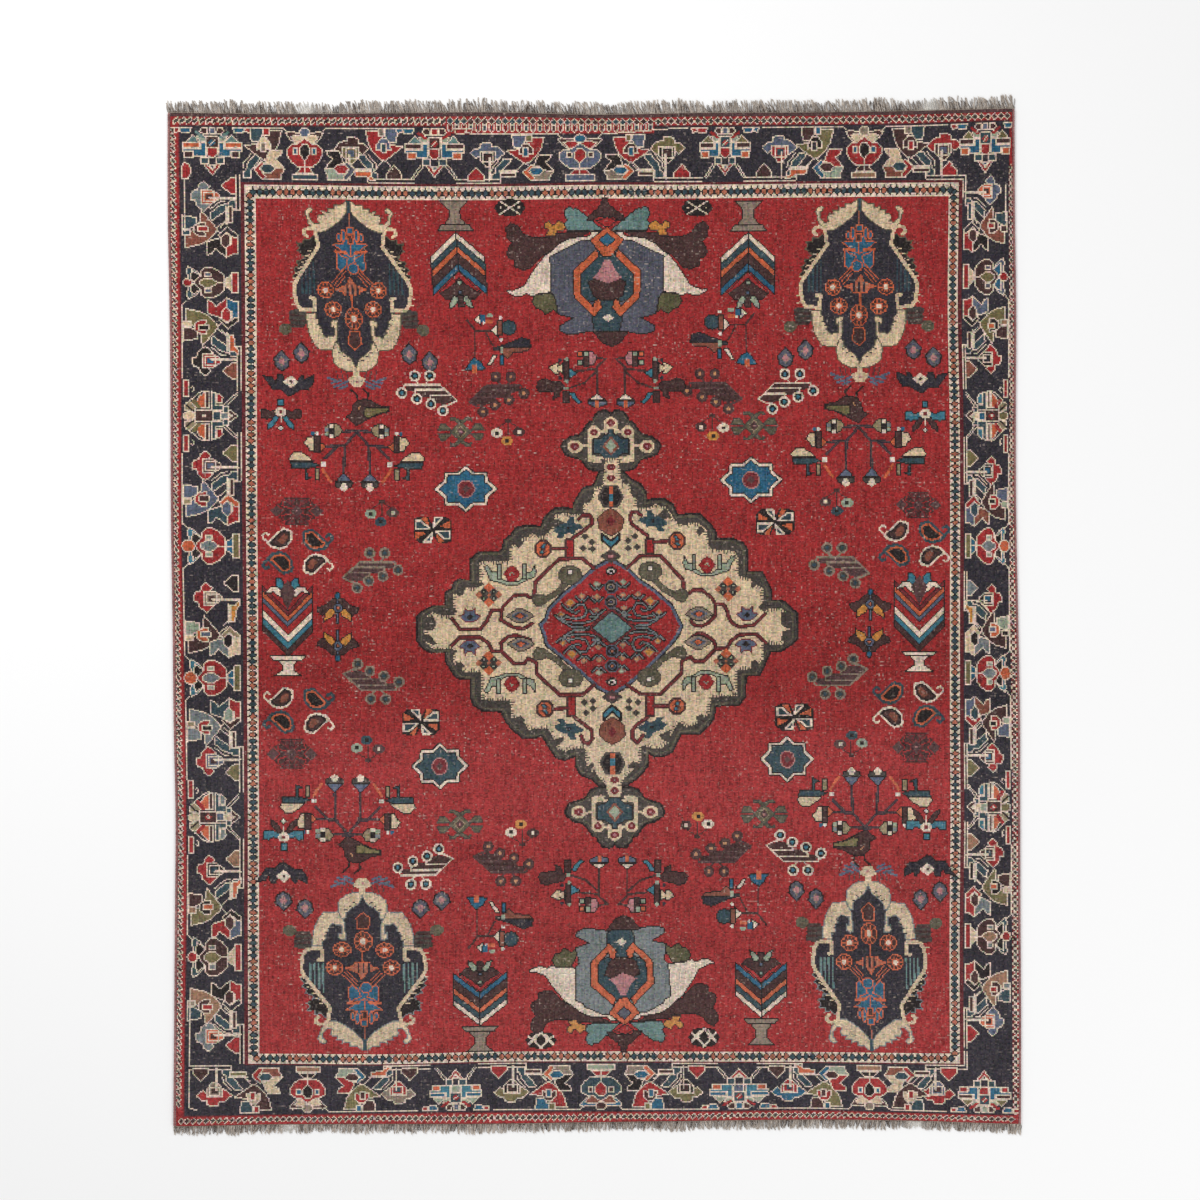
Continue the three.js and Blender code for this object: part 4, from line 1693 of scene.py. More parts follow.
@dataclass(frozen=True)
class Paisleys:
    """Four small paisleys with curled tips, two ivory and two teal ones.

    Attributes:
        swapped: Whether left and right are swapped.
    """

    swapped: bool = False

    def draw(self, pen: Pen) -> None:
        """Draws the four in their places.

        Args:
            pen: The pen, placed for the motif.
        """
        pen = pen.at(0, 0, mirror=self.swapped)
        for x, y, mirror, flip, pale in ((-13, 12, False, 1, True), (17, 11, True, 1, False),
                                         (-13, -12, False, -1, False), (17, -13, True, -1, True)):
            self._paisley(pen.at(x, y, mirror=mirror, size=(1, flip)), pale)

    @staticmethod
    def _paisley(pen: Pen, pale: bool) -> None:
        """Draws one paisley with its tip to the left.

        Args:
            pen: The pen, placed for the motif.
            pale: Whether it is one of the ivory ones.
        """
        body = ((8, 8), (1, 10), (-3, 7), (-10, 0), (-15, -4), (-11, -8), (-3, -10), (3, -8),
                (8, -2), (9, 5))
        rim, inner, heart = (IVORY, BROWN, RUST) if pale else (TEAL, ORANGE, INK)
        pen.line(rim, (-14, -4), (-19, 0), (-20, 3), (-17, 6), (-14, 4), width=1.5 if pale else 2.4)
        pen.edged(rim, 1.7 if pale else 2.8).fill(inner, *body)
        pen.at(0, 0, size=(0.8, 0.8)).edged(INK if pale else ORANGE, 1.4).fill(
            inner if pale else heart, *body)
        pen.at(1, 0, size=(0.4, 0.5)).fill(heart, *body)


@dataclass(frozen=True)
class Bee:
    """A bee seen from above, with dark upper wings and gold lower ones.

    Attributes:
        upper: The upper wings.
        lower: The lower wings.
        body: The body.
    """

    upper: Dye = BROWN
    lower: Dye = GOLD
    body: Dye = SLATE

    def draw(self, pen: Pen) -> None:
        """Draws the wings, then the body.

        Args:
            pen: The pen, placed for the motif.
        """
        for half in pen.edged(INK).pair():
            half.fill(self.upper, (0, 10), (6, 9), (12, 3), (21, 0), (20, -4), (15, -8), (8, -3),
                      (0, 2))
            half.fill(self.lower, (2, -3), (7, 0), (13, -6), (14, -14), (11, -12), (4, -8))
        ink = pen.edged(INK)
        ink.block(self.body, -1.5, -16, 1.5, 12)
        ink.disc(BLUE, 0, 12, 2.8, 3.6, 8)
        ink.disc(self.body, 0, 0, 4.8, 5, 8)
        pen.edged(INK).disc(CLAY, 0, 0, 2)


@dataclass(frozen=True)
class Moth:
    """A moth at the field's edge, with a pale flower for its body.

    Attributes:
        wing: The wings.
        tail: The tips below them.
    """

    wing: Dye = BROWN
    tail: Dye = SEA

    def draw(self, pen: Pen) -> None:
        """Draws the wings, the head and the flower.

        Args:
            pen: The pen, placed for the motif.
        """
        for half in pen.edged(INK).pair():
            half.fill(self.wing, (3, 2), (11, 0), (15, 3), (20, 2), (20, -6), (14, -7), (4, -5))
            half.fill(self.tail, (1, -5), (6, -4), (13, -13), (13, -18), (7, -14))
        pen.edged(INK).block(SEA, -3, 6, 3, 13)
        pen.disc(IVORY, 0, 0, 6, 5, 7)
        pen.block(WINE, -1.6, -1.6, 1.6, 1.6)
        pen.line(IVORY, (0, -4), (0, -11))
        pen.edged(INK).diamond(WHITE, 0, -16, 2.8)


@dataclass(frozen=True)
class Beast:
    """A humped four-legged animal with a pale diamond on its side.

    Attributes:
        body: The animal.
    """

    body: Dye = NAVY

    def draw(self, pen: Pen) -> None:
        """Draws the animal, legs upwards.

        Args:
            pen: The pen, placed for the motif.
        """
        pen.edged(INK).fill(self.body, (-28, 6), (-18, 4), (-15, -1), (-13, 7), (-8, 7), (-6, 0),
                            (6, 0), (8, 3), (11, 7), (13, 6), (13, 2), (23, 7), (23, 0), (18, -7),
                            (11, -7), (5, -11), (0, -14), (-4, -13), (-9, -8), (-18, -8), (-22, -2))
        pen.diamond(IVORY, 0, 0, 7.5, 6.5)
        pen.diamond(BROWN, 0, 0, 2, 2)


@dataclass(frozen=True)
class Lozenge:
    """A dark lozenge: a small one with ivory lines, or a wide one of plum diamonds.

    Attributes:
        wide: Whether it is the wide one.
        lattice: Whether a small one has a lattice in place of a cross.
    """

    wide: bool = False
    lattice: bool = False

    def draw(self, pen: Pen) -> None:
        """Draws the lozenge.

        Args:
            pen: The pen, placed for the motif.
        """
        if self.wide:
            self._plum(pen)
            return
        pen.fill(INK, *both_sides((0, 9), (11, 7), (16, 0), (11, -7), (0, -9)))
        for half in pen.pair():
            if self.lattice:
                half.line(IVORY, (-12, -4), (1, 8), width=1.4)
                half.line(IVORY, (-1, -8), (12, 4), width=1.4)
                half.line(IVORY, (-12, 3), (-4, -6), width=1.4)
                half.block(IVORY, 4, -1, 6, 1)
            else:
                half.line(IVORY, (-10, -6.5), (10, 6.5), width=1.3)
                half.block(IVORY, 8, -1, 10, 1)

    @staticmethod
    def _plum(pen: Pen) -> None:
        """Draws the wide lozenge of diamonds and bars.

        Args:
            pen: The pen, placed for the motif.
        """
        pen.edged(BROWN).fill(BROWN, *both_sides((12, 13), (14, 9), (28, 0), (14, -9), (12, -13)))
        for half in pen.pair():
            half.edged(RED).diamond(PLUM, 20, 0, 7.5, 6.5)
            for up in (-1, 1):
                half.line(WINE, (0, 3 * up), (14, 12 * up), width=1.3)
                half.line(RED, (4, 2 * up), (15, 5 * up), (12, 12 * up))
                half.edged(WINE).fill(PLUM, (2, 12 * up), (9, 12 * up), (4, 7 * up))
        pen.edged(WINE).diamond(PLUM, 0, 0, 7, 7)
        pen.block(PINK, -0.9, -0.9, 0.9, 0.9)


@dataclass(frozen=True)
class Palmette:
    """The great winged flower at each end of the field.

    Attributes:
        field: Its inner ground.
        core: The diamond above its heart.
        waist: Half of the inner ground's width.
        turn: How far the whole flower is turned to the left, in degrees.
    """

    field: Dye
    core: Dye
    waist: float = 57.0
    turn: float = 0.0

    def draw(self, pen: Pen) -> None:
        """Draws the flower from its outer leaves to its heart.

        Args:
            pen: The pen, placed for the motif.
        """
        pen = pen.at(0, 0, turn=self.turn)
        self._outer(pen)
        waist = self.waist
        for half in pen.edged(INK).pair():
            half.fill(self.field, (0, 48), (-24, 48), (-32, 44), (-42, 39), (7 - waist, 35),
                      (-waist, 32), (1 - waist, -4), (5 - waist, -9), (-49, -26), (-34, -30),
                      (-48, -38), (-47, -43), (-40, -46), (-31, -46), (-15, -43), (0, -46))
        self._heart(pen.edged(INK))

    def _outer(self, pen: Pen) -> None:
        """Draws the crown, the lobes, the small leaves and the ivory horns.

        Args:
            pen: The pen, placed for the motif.
        """
        ink = pen.edged(INK)
        for half in ink.pair():
            half.fill(BROWN, (-15, 57), (-51, 55), (-51, 52), (-74, 51), (-84, 55), (-89, 63),
                      (-96, 66), (-101, 61), (-100, 51), (-95, 47), (-99, 40), (-100, 35), (-98, 31),
                      (-92, 29), (-92, 22), (-84, 19), (-77, 20), (-63, 34))
            half.edged(BROWN).fill(GOLD, (-40, 64), (-46, 66), (-49, 68), (-52, 64), (-55, 63),
                                   (-58, 68), (-63, 65), (-62, 60), (-58, 59), (-61, 53), (-52, 53),
                                   (-50, 57), (-43, 58))
            half.fill(JADE, (-4, 58), (-15, 67), (-23, 74), (-31, 80), (-34, 79), (-37, 82), (-41, 80),
                      (-43, 74), (-40, 68), (-43, 65), (-40, 58))
            half.fill(MOSS, (-55, -5), (-72, -6), (-75, -13), (-71, -20), (-66, -21), (-62, -26),
                      (-57, -24), (-54, -21), (-49, -25), (-45, -23))
            half.fill(IVORY, (-7, 56), (-15, 56), (-18, 52), (-37, 50), (-47, 45), (-56, 37),
                      (-63, 32), (-71, 22), (-77, 13), (-83, 3), (-95, -2), (-100, -1), (-99, -4),
                      (-93, -7), (-87, -8), (-80, -5), (-75, -8), (-68, -5), (1 - self.waist, -4),
                      (-self.waist, 32), (7 - self.waist, 35), (-42, 39), (-32, 44), (-24, 48),
                      (-16, 48))
        ink.fill(RED, (-11, 67), (0, 71), (10, 67), (0, 60))
        ink.fill(BROWN, (-5, 90), (0, 90), (1, 84), (6, 80), (16, 72), (18, 68), (12, 67), (5, 71.5),
                 (-7, 71.5), (-14, 68), (-20, 68), (-18, 72), (-9, 80), (-6, 84))

    def _heart(self, ink: Pen) -> None:
        """Draws the shield at the flower's heart.

        Args:
            ink: The pen, with ink outlines.
        """
        ink.fill(TEAL, *both_sides((14, 34), (29, 14), (30, -8), (9, -16), (15, -27), (14, -40),
                                   (8, -47)))
        ink.fill(BROWN, (-19, 6), (-10, 10), (0, 4), (10, 10), (19, 6), (16, -8), (7, -13), (-7, -13),
                 (-14, -8))
        ink.fill(BROWN, (-15, -43), (22, -43), (13, -55), (4, -59), (-5, -55))
        ink.edged(None).fill(PINK, (-3, 28), (3, 28), (8, 18), (13, 12), (16, 10.5), (10, 8), (0, 4),
                             (-8, 8), (-15, 10), (-11, 13), (-6, 20))
        for half in ink.pair():
            half.fill(ORANGE, (-11, 39), (-34, 17), (-33, -9), (-13, -29), (-5, -20), (-7.5, -11),
                      (-12, -12.5), (-14, -19), (-26, -6), (-26.5, 13), (-8, 32))
        ink.fill(ORANGE, *both_sides((0, 61), (17, 48), (4, 31)))
        ink.diamond(self.core, 0, 48, 8, 7)
        ink.edged(None).diamond(IVORY, 1, -30, 6, 4)


TOP_BANDS = ((IVORY, 35.5, 6.5), (TEAL, 29, 7.5), (ORANGE, 21.5, 6.5), (BROWN, 15, 10.5),
             (BLUE, 4.5, 7))
SIDE_BANDS = ((BROWN, 38, 7), (SEA, 31, 6.5), (IVORY, 24.5, 7.5), (RED, 17, 8), (SLATE, 9, 5),
              (ORANGE, 4, 6), (WINE, -2, 5))
CORNER_SHIELD = Shield(TOP_BANDS, 27, (GREY, 37, 29.5), slope=0.92)
FIELD_MOTIFS = (
    # the motif, then its place in each quarter with any stretch across, along and lean
    (Cartouche(scroll=CREAM), ((-242, 340, 1, 1, -0.042), (264.7, 343, 1, 0.985))),
    (Cartouche(scroll=CREAM, leaf=JADE, rough=MIST),
     ((), (), (-230, -361, 1.07, 0.925, 0.013), (275.5, -356, 0.97, 0.99, 0.021))),
    (CORNER_SHIELD, ((-135.5, 350, 1, 1, -0.07), (154, 350), (-114, -377, 1, 0.85),
                     (167, -368, 0.95, 0.88))),
    (Lozenge(), ((-84, 410), (103, 410))),
    (Lozenge(lattice=True), ((), (), (-53, -422), (110, -419, 1, 1.15))),
    (Branch(), ((-105, 280), (138, 286), (-103, -311), (150, -288))),
    (Comb(BROWN, PLUM, BROWN, PLUM, PEACH), ((-95, 225), (118, 228), (-90, -247), (127, -237))),
    (Comb(BROWN, IVORY, IVORY, INK, SEA, -1), ((-167, 226), (194, 228), (-171, -250),
                                               (202, -236))),
    (Comb(PLUM, GREY, GREY, SHADOW, TEAL), ((-221, 49), (245, 54), (-220, -65), (243, -60))),
    (Bird(), ((-230, 208), (256, 211), (-238, -234), (264, -227))),
    (FlowerTree(), ((-237, 160), (264.5, 165), (-246, -190), (270.5, -183))),
    (Trio(IVORY, BROWN, GOLD), ((-86, 186), (118, 191), (-72, -215), (103, -207))),
    (Trio(MINT, PLUM, TEAL), ((-212, 105), (242, 116), (-226, -131), (257, -126))),
    (KhakiCross(), ((-133, 186), (160, 192), (-134, -206), (170, -196))),
    (Star(BLUE), ((-128, 129), (157, 138))),
    (Star(TEAL), ((), (), (-154, -148, 0.9, 1), (193, -141, 0.85, 1))),
    (Pinwheel(), ((-161, 88), (181, 96), (-173, -104), (200, -99))),
    (Bee(), ((-256, 10), (276, 14), (-256, -28), (275, -24))),
    (Moth(), ((-313, 206),)),
    (Moth(SEA, BROWN), ((), (331, 204), (-310, -219), (332, -209))),
    (Beast(), ((-303, 236), (326, 239), (-310, -258), (333, -251))),
    (Lozenge(True), ((-297, 107), (324, 113, 0.85, 0.95), (-302, -136, 0.95, 1.1),
                     (322, -129, 0.9, 1.1))),
)
ALIKE_MOTIFS = (
    # the motif, which way it faces, then its places as above
    (Paisleys(), PLAIN, ((-298, 67), (318, 75), (-297, -92))),
    (Paisleys(True), PLAIN, ((316, -86),)),
    (Shield(SIDE_BANDS, 25, (IVORY, 38, 20), True), FLIPPED, ((-306, 0), (325, 5))),
    (MiddlePair(), PLAIN, ((17, 240),)),
    (MiddlePair(), FLIPPED, ((19, -267),)),
    (Palmette(STEEL, BLUE), PLAIN, ((13, 330),)),
    (Palmette(MIST, STEEL, 51.0, -2.7), FLIPPED, ((28, -351, 0.93, 0.916),)),
)


def draw_field(chart: KnotChart) -> None:
    """Draws the motifs strewn over the field, outside the medallion.

    Args:
        chart: The chart to draw on.
    """
    for motif, spots in FIELD_MOTIFS:
        for facing, spot in zip(QUARTERS, spots):
            if spot:
                motif.draw(facing.pen(chart, *spot))
    for motif, facing, spots in ALIKE_MOTIFS:
        for spot in spots:
            motif.draw(facing.pen(chart, *spot))


MEDALLION_RIM = (
    (-177, -21), (-177, 3), (-173, 8), (-161, 14), (-149, 13), (-149, 27), (-142, 31), (-139, 38),
    (-134, 40.5), (-124, 38), (-124, 60), (-115, 67), (-95, 67), (-91, 71), (-90, 79), (-83, 84),
    (-78, 91), (-70, 93), (-60, 93), (-53, 92), (-50, 100), (-44, 107), (-38, 110.5), (-27, 110.5),
    (-20, 109), (-20, 115), (-16, 122), (-10, 131), (0, 133), (6, 147), (30, 147), (38, 139),
    (47, 134), (52, 127), (52, 117), (58, 119), (71, 119), (79, 114), (84, 103), (95, 104.5),
    (106, 104), (116, 95), (122, 86), (122, 79), (140, 79), (149, 75), (153, 69), (154, 46),
    (168, 46), (173, 36), (177, 28), (178, 17), (189, 17), (197, 10), (203, 5), (204, -20),
    (197, -27), (188, -33), (177, -33), (172, -44), (166, -57), (152, -58), (151, -79), (145, -87),
    (122, -88), (119, -102), (112, -110), (106, -116), (87, -116), (81, -128), (78, -134), (70, -138),
    (60, -139), (54, -135), (53, -149), (43, -160), (32, -168), (4, -168), (-2, -162), (-14, -157),
    (-18, -150), (-18, -138), (-30, -142), (-38, -140), (-45, -130), (-53, -117), (-60, -120),
    (-71, -120), (-80, -113), (-88, -104), (-93, -93), (-112, -92), (-121, -86), (-124, -77),
    (-124, -60), (-137, -59), (-142, -53), (-149, -41), (-149, -32), (-163, -33), (-171, -29),
)
MEDALLION_GROUND = (
    (-169, -22), (-169, 2), (-161, 8), (-157, 5), (-141, 4), (-141, 25), (-136, 29), (-127, 32),
    (-114, 32), (-114, 57), (-107, 58.5), (-84, 58), (-84, 72), (-78, 76), (-72, 80), (-66, 82),
    (-61, 86), (-57, 82), (-48, 83), (-43, 89), (-41, 97), (-38, 104), (-30, 105), (-11, 104),
    (-11, 113), (-6, 117), (1, 126), (1, 130), (9, 133), (12, 160), (25, 160), (28, 135), (35, 134),
    (43, 122), (43, 110), (57, 111), (62, 114), (66, 112), (72, 111), (78, 103), (84, 94), (92, 93),
    (97, 96), (106, 95), (113, 88), (115, 72), (118, 69), (140, 67), (145, 60), (145, 42),
    (157, 39), (163, 33), (169, 29), (169, 16), (173, 9), (187, 9), (194, 5), (196, -20), (187, -27),
    (170, -26), (169, -42), (163, -47), (156, -51), (143, -52), (143, -78), (117, -79), (115, -96),
    (108, -100), (103, -106), (92, -109), (85, -104), (79, -112), (74, -125), (66, -131), (58, -130),
    (47, -128), (46, -148), (37, -153), (31, -159), (26, -166), (25, -176), (12, -176), (12, -168),
    (3, -159), (-1, -155), (-8, -150), (-10, -130), (-20, -130), (-29, -134), (-37, -131),
    (-41, -121), (-46, -111), (-58, -110), (-66, -112), (-71, -103), (-76, -101), (-83, -99),
    (-84, -82), (-100, -82), (-113, -80), (-113, -53), (-129, -53), (-137, -50), (-141, -42),
    (-141, -30), (-160, -30),
)
RIM_LEAVES = (
    ((-171, 2), (-161, 4), (-158, -2), (-159, -9), (-163, -11), (-171, -11)),
    ((-171, -14), (-164, -15), (-157, -24), (-161, -26), (-166, -22), (-171, -22)),
    ((-142, 5), (-137, 7), (-138, 12), (-142, 11)),
    ((-139, 26), (-134, 23), (-129, 26), (-130, 31), (-136, 31)),
    ((-115, 33), (-109, 34), (-113, 38)), ((-80, 75), (-75, 71), (-70, 76), (-75, 82)),
    ((-43, 92), (-37, 90), (-29, 96), (-36, 99), (-42, 98)),
    ((-11, 116), (-4, 115), (-2, 119), (1, 126), (-6, 126)),
    ((44, 118), (38, 122), (36, 131), (45, 126)), ((72, 110), (61, 101), (66, 98), (78, 101)),
    ((112, 88), (105, 82), (102, 86), (105, 92)), ((170, 18), (164, 10), (170, 6), (174, 10)),
    ((163, 34), (158, 29), (156, 33), (160, 38)), ((195, 5), (187, 5), (187, -6), (190, -9), (196, -9)),
    ((196, -12), (189, -13), (186, -24), (191, -23), (196, -20)),
    ((157, -43), (162, -42), (165, -47), (157, -52)), ((102, -98), (108, -96), (112, -103), (103, -106)),
    ((76, -112), (64, -117), (68, -122), (76, -125)), ((38, -143), (46, -146), (45, -152), (33, -150)),
    ((-8, -150), (-2, -144), (0, -147), (-4, -153)), ((0, -152), (3, -157), (-6, -158)),
    ((-42, -122), (-30, -118), (-31, -123), (-40, -130)), ((-82, -100), (-73, -97), (-69, -101),
                                                           (-73, -107)),
    ((-139, -44), (-133, -42), (-129, -47), (-136, -52)), ((-141, -31), (-137, -31), (-141, -37)),
)


@dataclass(frozen=True)
class MedallionVine:
    """The red vine in one quarter of the medallion, as it grows from the inner lozenge.

    Attributes:
        trunk: The thick upright part, as its middle, its lower end and its upper end.
        lines: The thin parts.
    """

    trunk: tuple[float, float, float]
    lines: tuple[tuple[Point, ...], ...]

    def draw(self, pen: Pen) -> None:
        """Draws the vine's dark edge, then its red.

        Args:
            pen: The pen, placed for the motif.
        """
        x, low, high = self.trunk
        pen.edged(BROWN, 1.4).fill(RED, (x - 4, low), (x + 4, low), (x + 4, high), (x - 4, high))
        for dye, width in ((BROWN, 3.4), (WINE, 1.5)):
            for points in self.lines:
                pen.line(dye, *points, width=width)


VINES = (
    MedallionVine((-24, 60, 79), (
        ((-142, 1), (-134, -10), (-114, -10), (-107, -2), (-102, 9), (-92, 9), (-91, 12), (-80, 23),
         (-68, 24), (-64, 21)), ((-92, 9), (-93, -1), (-88, -4), (-80, -9), (-70, -10), (-62, -5)),
        ((-60, 23), (-58, 37), (-35, 59), (-12, 60), (0, 50)), ((-28, 70), (-42, 70)),
        ((-21, 80), (-12, 86), (-2, 94), (-2, 100), (-4, 103), (-11, 103), (-15, 99)))),
    MedallionVine((56, 64, 79), (
        ((171, 4), (160, -7), (145, -9), (138, -5), (135, 0), (133, 8), (129, 14), (121, 14),
         (118, 20), (108, 28), (99, 28), (95, 25)),
        ((121, 14), (121, 2), (114, -5), (108, -8), (100, -7), (97, -3)),
        ((90, 27), (89, 38), (67, 62), (46, 62), (33, 50)), ((60, 76), (74, 77)),
        ((54, 82), (38, 94), (36, 100), (38, 106), (43, 106), (47, 103)))),
    MedallionVine((-23, -98, -78), (
        ((-142, -26), (-134, -18), (-114, -18), (-106, -24), (-102, -32), (-92, -33), (-93, -24),
         (-86, -18), (-78, -16.5), (-64, -21)),
        ((-92, -33), (-86, -39), (-80, -45), (-70, -45), (-66, -40), (-60, -43)),
        ((-58, -44), (-57, -56), (-34, -77), (-12, -77), (0, -67)), ((-27, -90), (-41, -91)),
        ((-20, -99), (-12, -105), (-3, -112), (-2, -121), (-6, -126), (-11, -124), (-13, -118)))),
    MedallionVine((56, -98, -77), (
        ((172, -25), (162, -16), (145, -17), (137, -23), (133, -30), (122, -31), (120, -23),
         (110, -16), (104, -15), (98, -19)),
        ((121, -31), (110, -43), (100, -43), (97, -39), (91, -41)),
        ((88, -43), (87, -56), (66, -76), (46, -76), (33, -67)), ((60, -88), (75, -88)),
        ((54, -99), (42, -107), (38, -113), (38, -120), (43, -125), (49, -117)))),
)


@dataclass(frozen=True)
class MedallionFlowers:
    """The small motifs of the medallion's cream ground, each placed in all four quarters.

    Attributes:
        chart: The chart to draw on.
    """

    chart: KnotChart

    def draw(self) -> None:
        """Draws every motif in its quarters."""
        for motif, spots in (
                (self._roundel, ((-51, 69), (83, 77), (-49, -91), (83, -88))),
                (self._boat, ((-82, 44), (113, 53), (-82, -66), (112, -64))),
                (self._blossom, ((-105, 23), (134, 29), (-105, -45), (132, -43))),
                (self._eye, ((-74, 2), (105, 4), (-73, -26), (104, -24))),
                (self._spiky, ((-124, 1), (153, 3), (-124, -28), (152, -26))),
                (self._bean, ((-24, 43), (56, 47), (-23, -60), (55, -59))),
                (self._splash, ((-26, 90), (59, 97), (-25, -111), (58, -109))),
                (self._four_leaves, ((-6, 75), (38, 76), (-5, -89), (39, -89)))):
            for facing, (x, y) in zip(QUARTERS, spots):
                motif(facing.pen(self.chart, x, y, edge=INK))

    @staticmethod
    def _roundel(pen: Pen) -> None:
        """Draws an orange octagon with two slanted windows.

        Args:
            pen: The pen, placed for the motif.
        """
        pen.edged(BROWN, 1.8).disc(ORANGE, 0, 0, 8.5, 8.5, 8)
        for up in (-1, 1):
            pen.line(BROWN, (-4 * up, 1 * up), (2 * up, 7 * up))
            pen.edged(BROWN).fill(SEA, (-2 * up, 0.5 * up), (2 * up, 0.5 * up), (3 * up, 5 * up),
                                  (-0.5 * up, 4.5 * up))

    @staticmethod
    def _boat(pen: Pen) -> None:
        """Draws the mint crescent with hooked ends round a red diamond.

        Args:
            pen: The pen, placed for the motif.
        """
        pen.edged(INK).fill(MINT, (-28, 7), (-24, 9), (-20, 2), (-15, 2), (-11, -4), (-5, -8),
                            (5, -8), (12, -4), (15, 1), (19, 2), (23, 9), (24, 2), (22, -4),
                            (15, -6), (6, -11), (-5, -11), (-14, -8), (-22, -6), (-24, 0))
        for x in (-13, 13):
            pen.edged(INK).block(MINT, x - 1.8, -5, x + 1.8, 10)
        pen.edged(WINE).fill(RED, *both_sides((0, 8), (4, 6), (8, 0), (4, -6), (0, -8)))
        pen.line(MINT, (-2, -1), (0, 2), (2, 0))

    @staticmethod
    def _blossom(pen: Pen) -> None:
        """Draws a blossom of four orange petals on a dark diamond.

        Args:
            pen: The pen, placed for the motif.
        """
        pen.edged(None).fill(SHADOW, *both_sides((5, 8), (12, 0), (5, -8)))
        for y in (-7.5, 7.5):
            pen.edged(None).diamond(ORANGE, 0, y, 5.5, 5)
        for x in (-10, 10):
            pen.edged(None).diamond(CLAY, x, 0, 3.5, 3.5)
            pen.disc(MINT, x / 2, 3.5, 2, 1.7, 6)
            pen.disc(MINT, x / 2, -3.5, 2, 1.7, 6)
        pen.edged(None).diamond(CLAY, 0, 0, 2)

    @staticmethod
    def _eye(pen: Pen) -> None:
        """Draws a pointed oval with an orange heart.

        Args:
            pen: The pen, placed for the motif.
        """
        pen.fill(GREY, (-14, 0), (-8, 4), (-3, 7), (3, 7), (9, 4), (14, 0), (9, -4), (3, -6.5),
                 (-4, -6), (-9, -3.5))
        pen.edged(SLATE).fill(SHADOW, (-8, 0), (0, 4), (8, 0), (0, -4))
        pen.edged(None).diamond(ORANGE, 0, 0, 4, 2.6)

    @staticmethod
    def _spiky(pen: Pen) -> None:
        """Draws a slate flower with two red-edged points."""
        pen.edged(WINE).fill(SLATE, *both_sides((2, 6), (5, 9), (6, 3), (11, 1), (7, -3), (4, -5)))
        pen.diamond(INK, 0, 0, 3, 2.6)

    @staticmethod
    def _bean(pen: Pen) -> None:
        """Draws a round leaf with a pale window and a long stalk.

        Args:
            pen: The pen, placed for the motif.
        """
        bare = pen.edged(SHADOW)
        bare.fill(SAGE, (-8, -8), (-14, -15), (-24, -21), (-28, -19), (-36, -19), (-38, -25),
                  (-34, -31), (-27, -30), (-22, -26), (-12, -20), (0, -9))
        bare.disc(SAGE, 0, 0, 12, 9.5, 12)
        bare.block(WHITE, -2.5, 0, 2.5, 5)

    @staticmethod
    def _splash(pen: Pen) -> None:
        """Draws a ragged teal star.

        Args:
            pen: The pen, placed for the motif.
        """
        pen.edged(None).fill(TEAL, (-15, -3), (-11, 2), (-6, 4), (-2, 5), (2, 11), (7, 11), (6, 5),
                             (13, 3), (15, 0), (8, -3), (6, -7), (2, -5), (-3, -6), (-5, -10),
                             (-12, -10), (-9, -6), (-13, -4))
        pen.block(SLATE, -1, -1, 1, 1)

    @staticmethod
    def _four_leaves(pen: Pen) -> None:
        """Draws four small dark leaves."""
        for x, y in ((-3, 6), (4, 1), (-5, -5), (4, -6)):
            pen.edged(None).diamond(SHADOW, x, y, 4, 3.6)


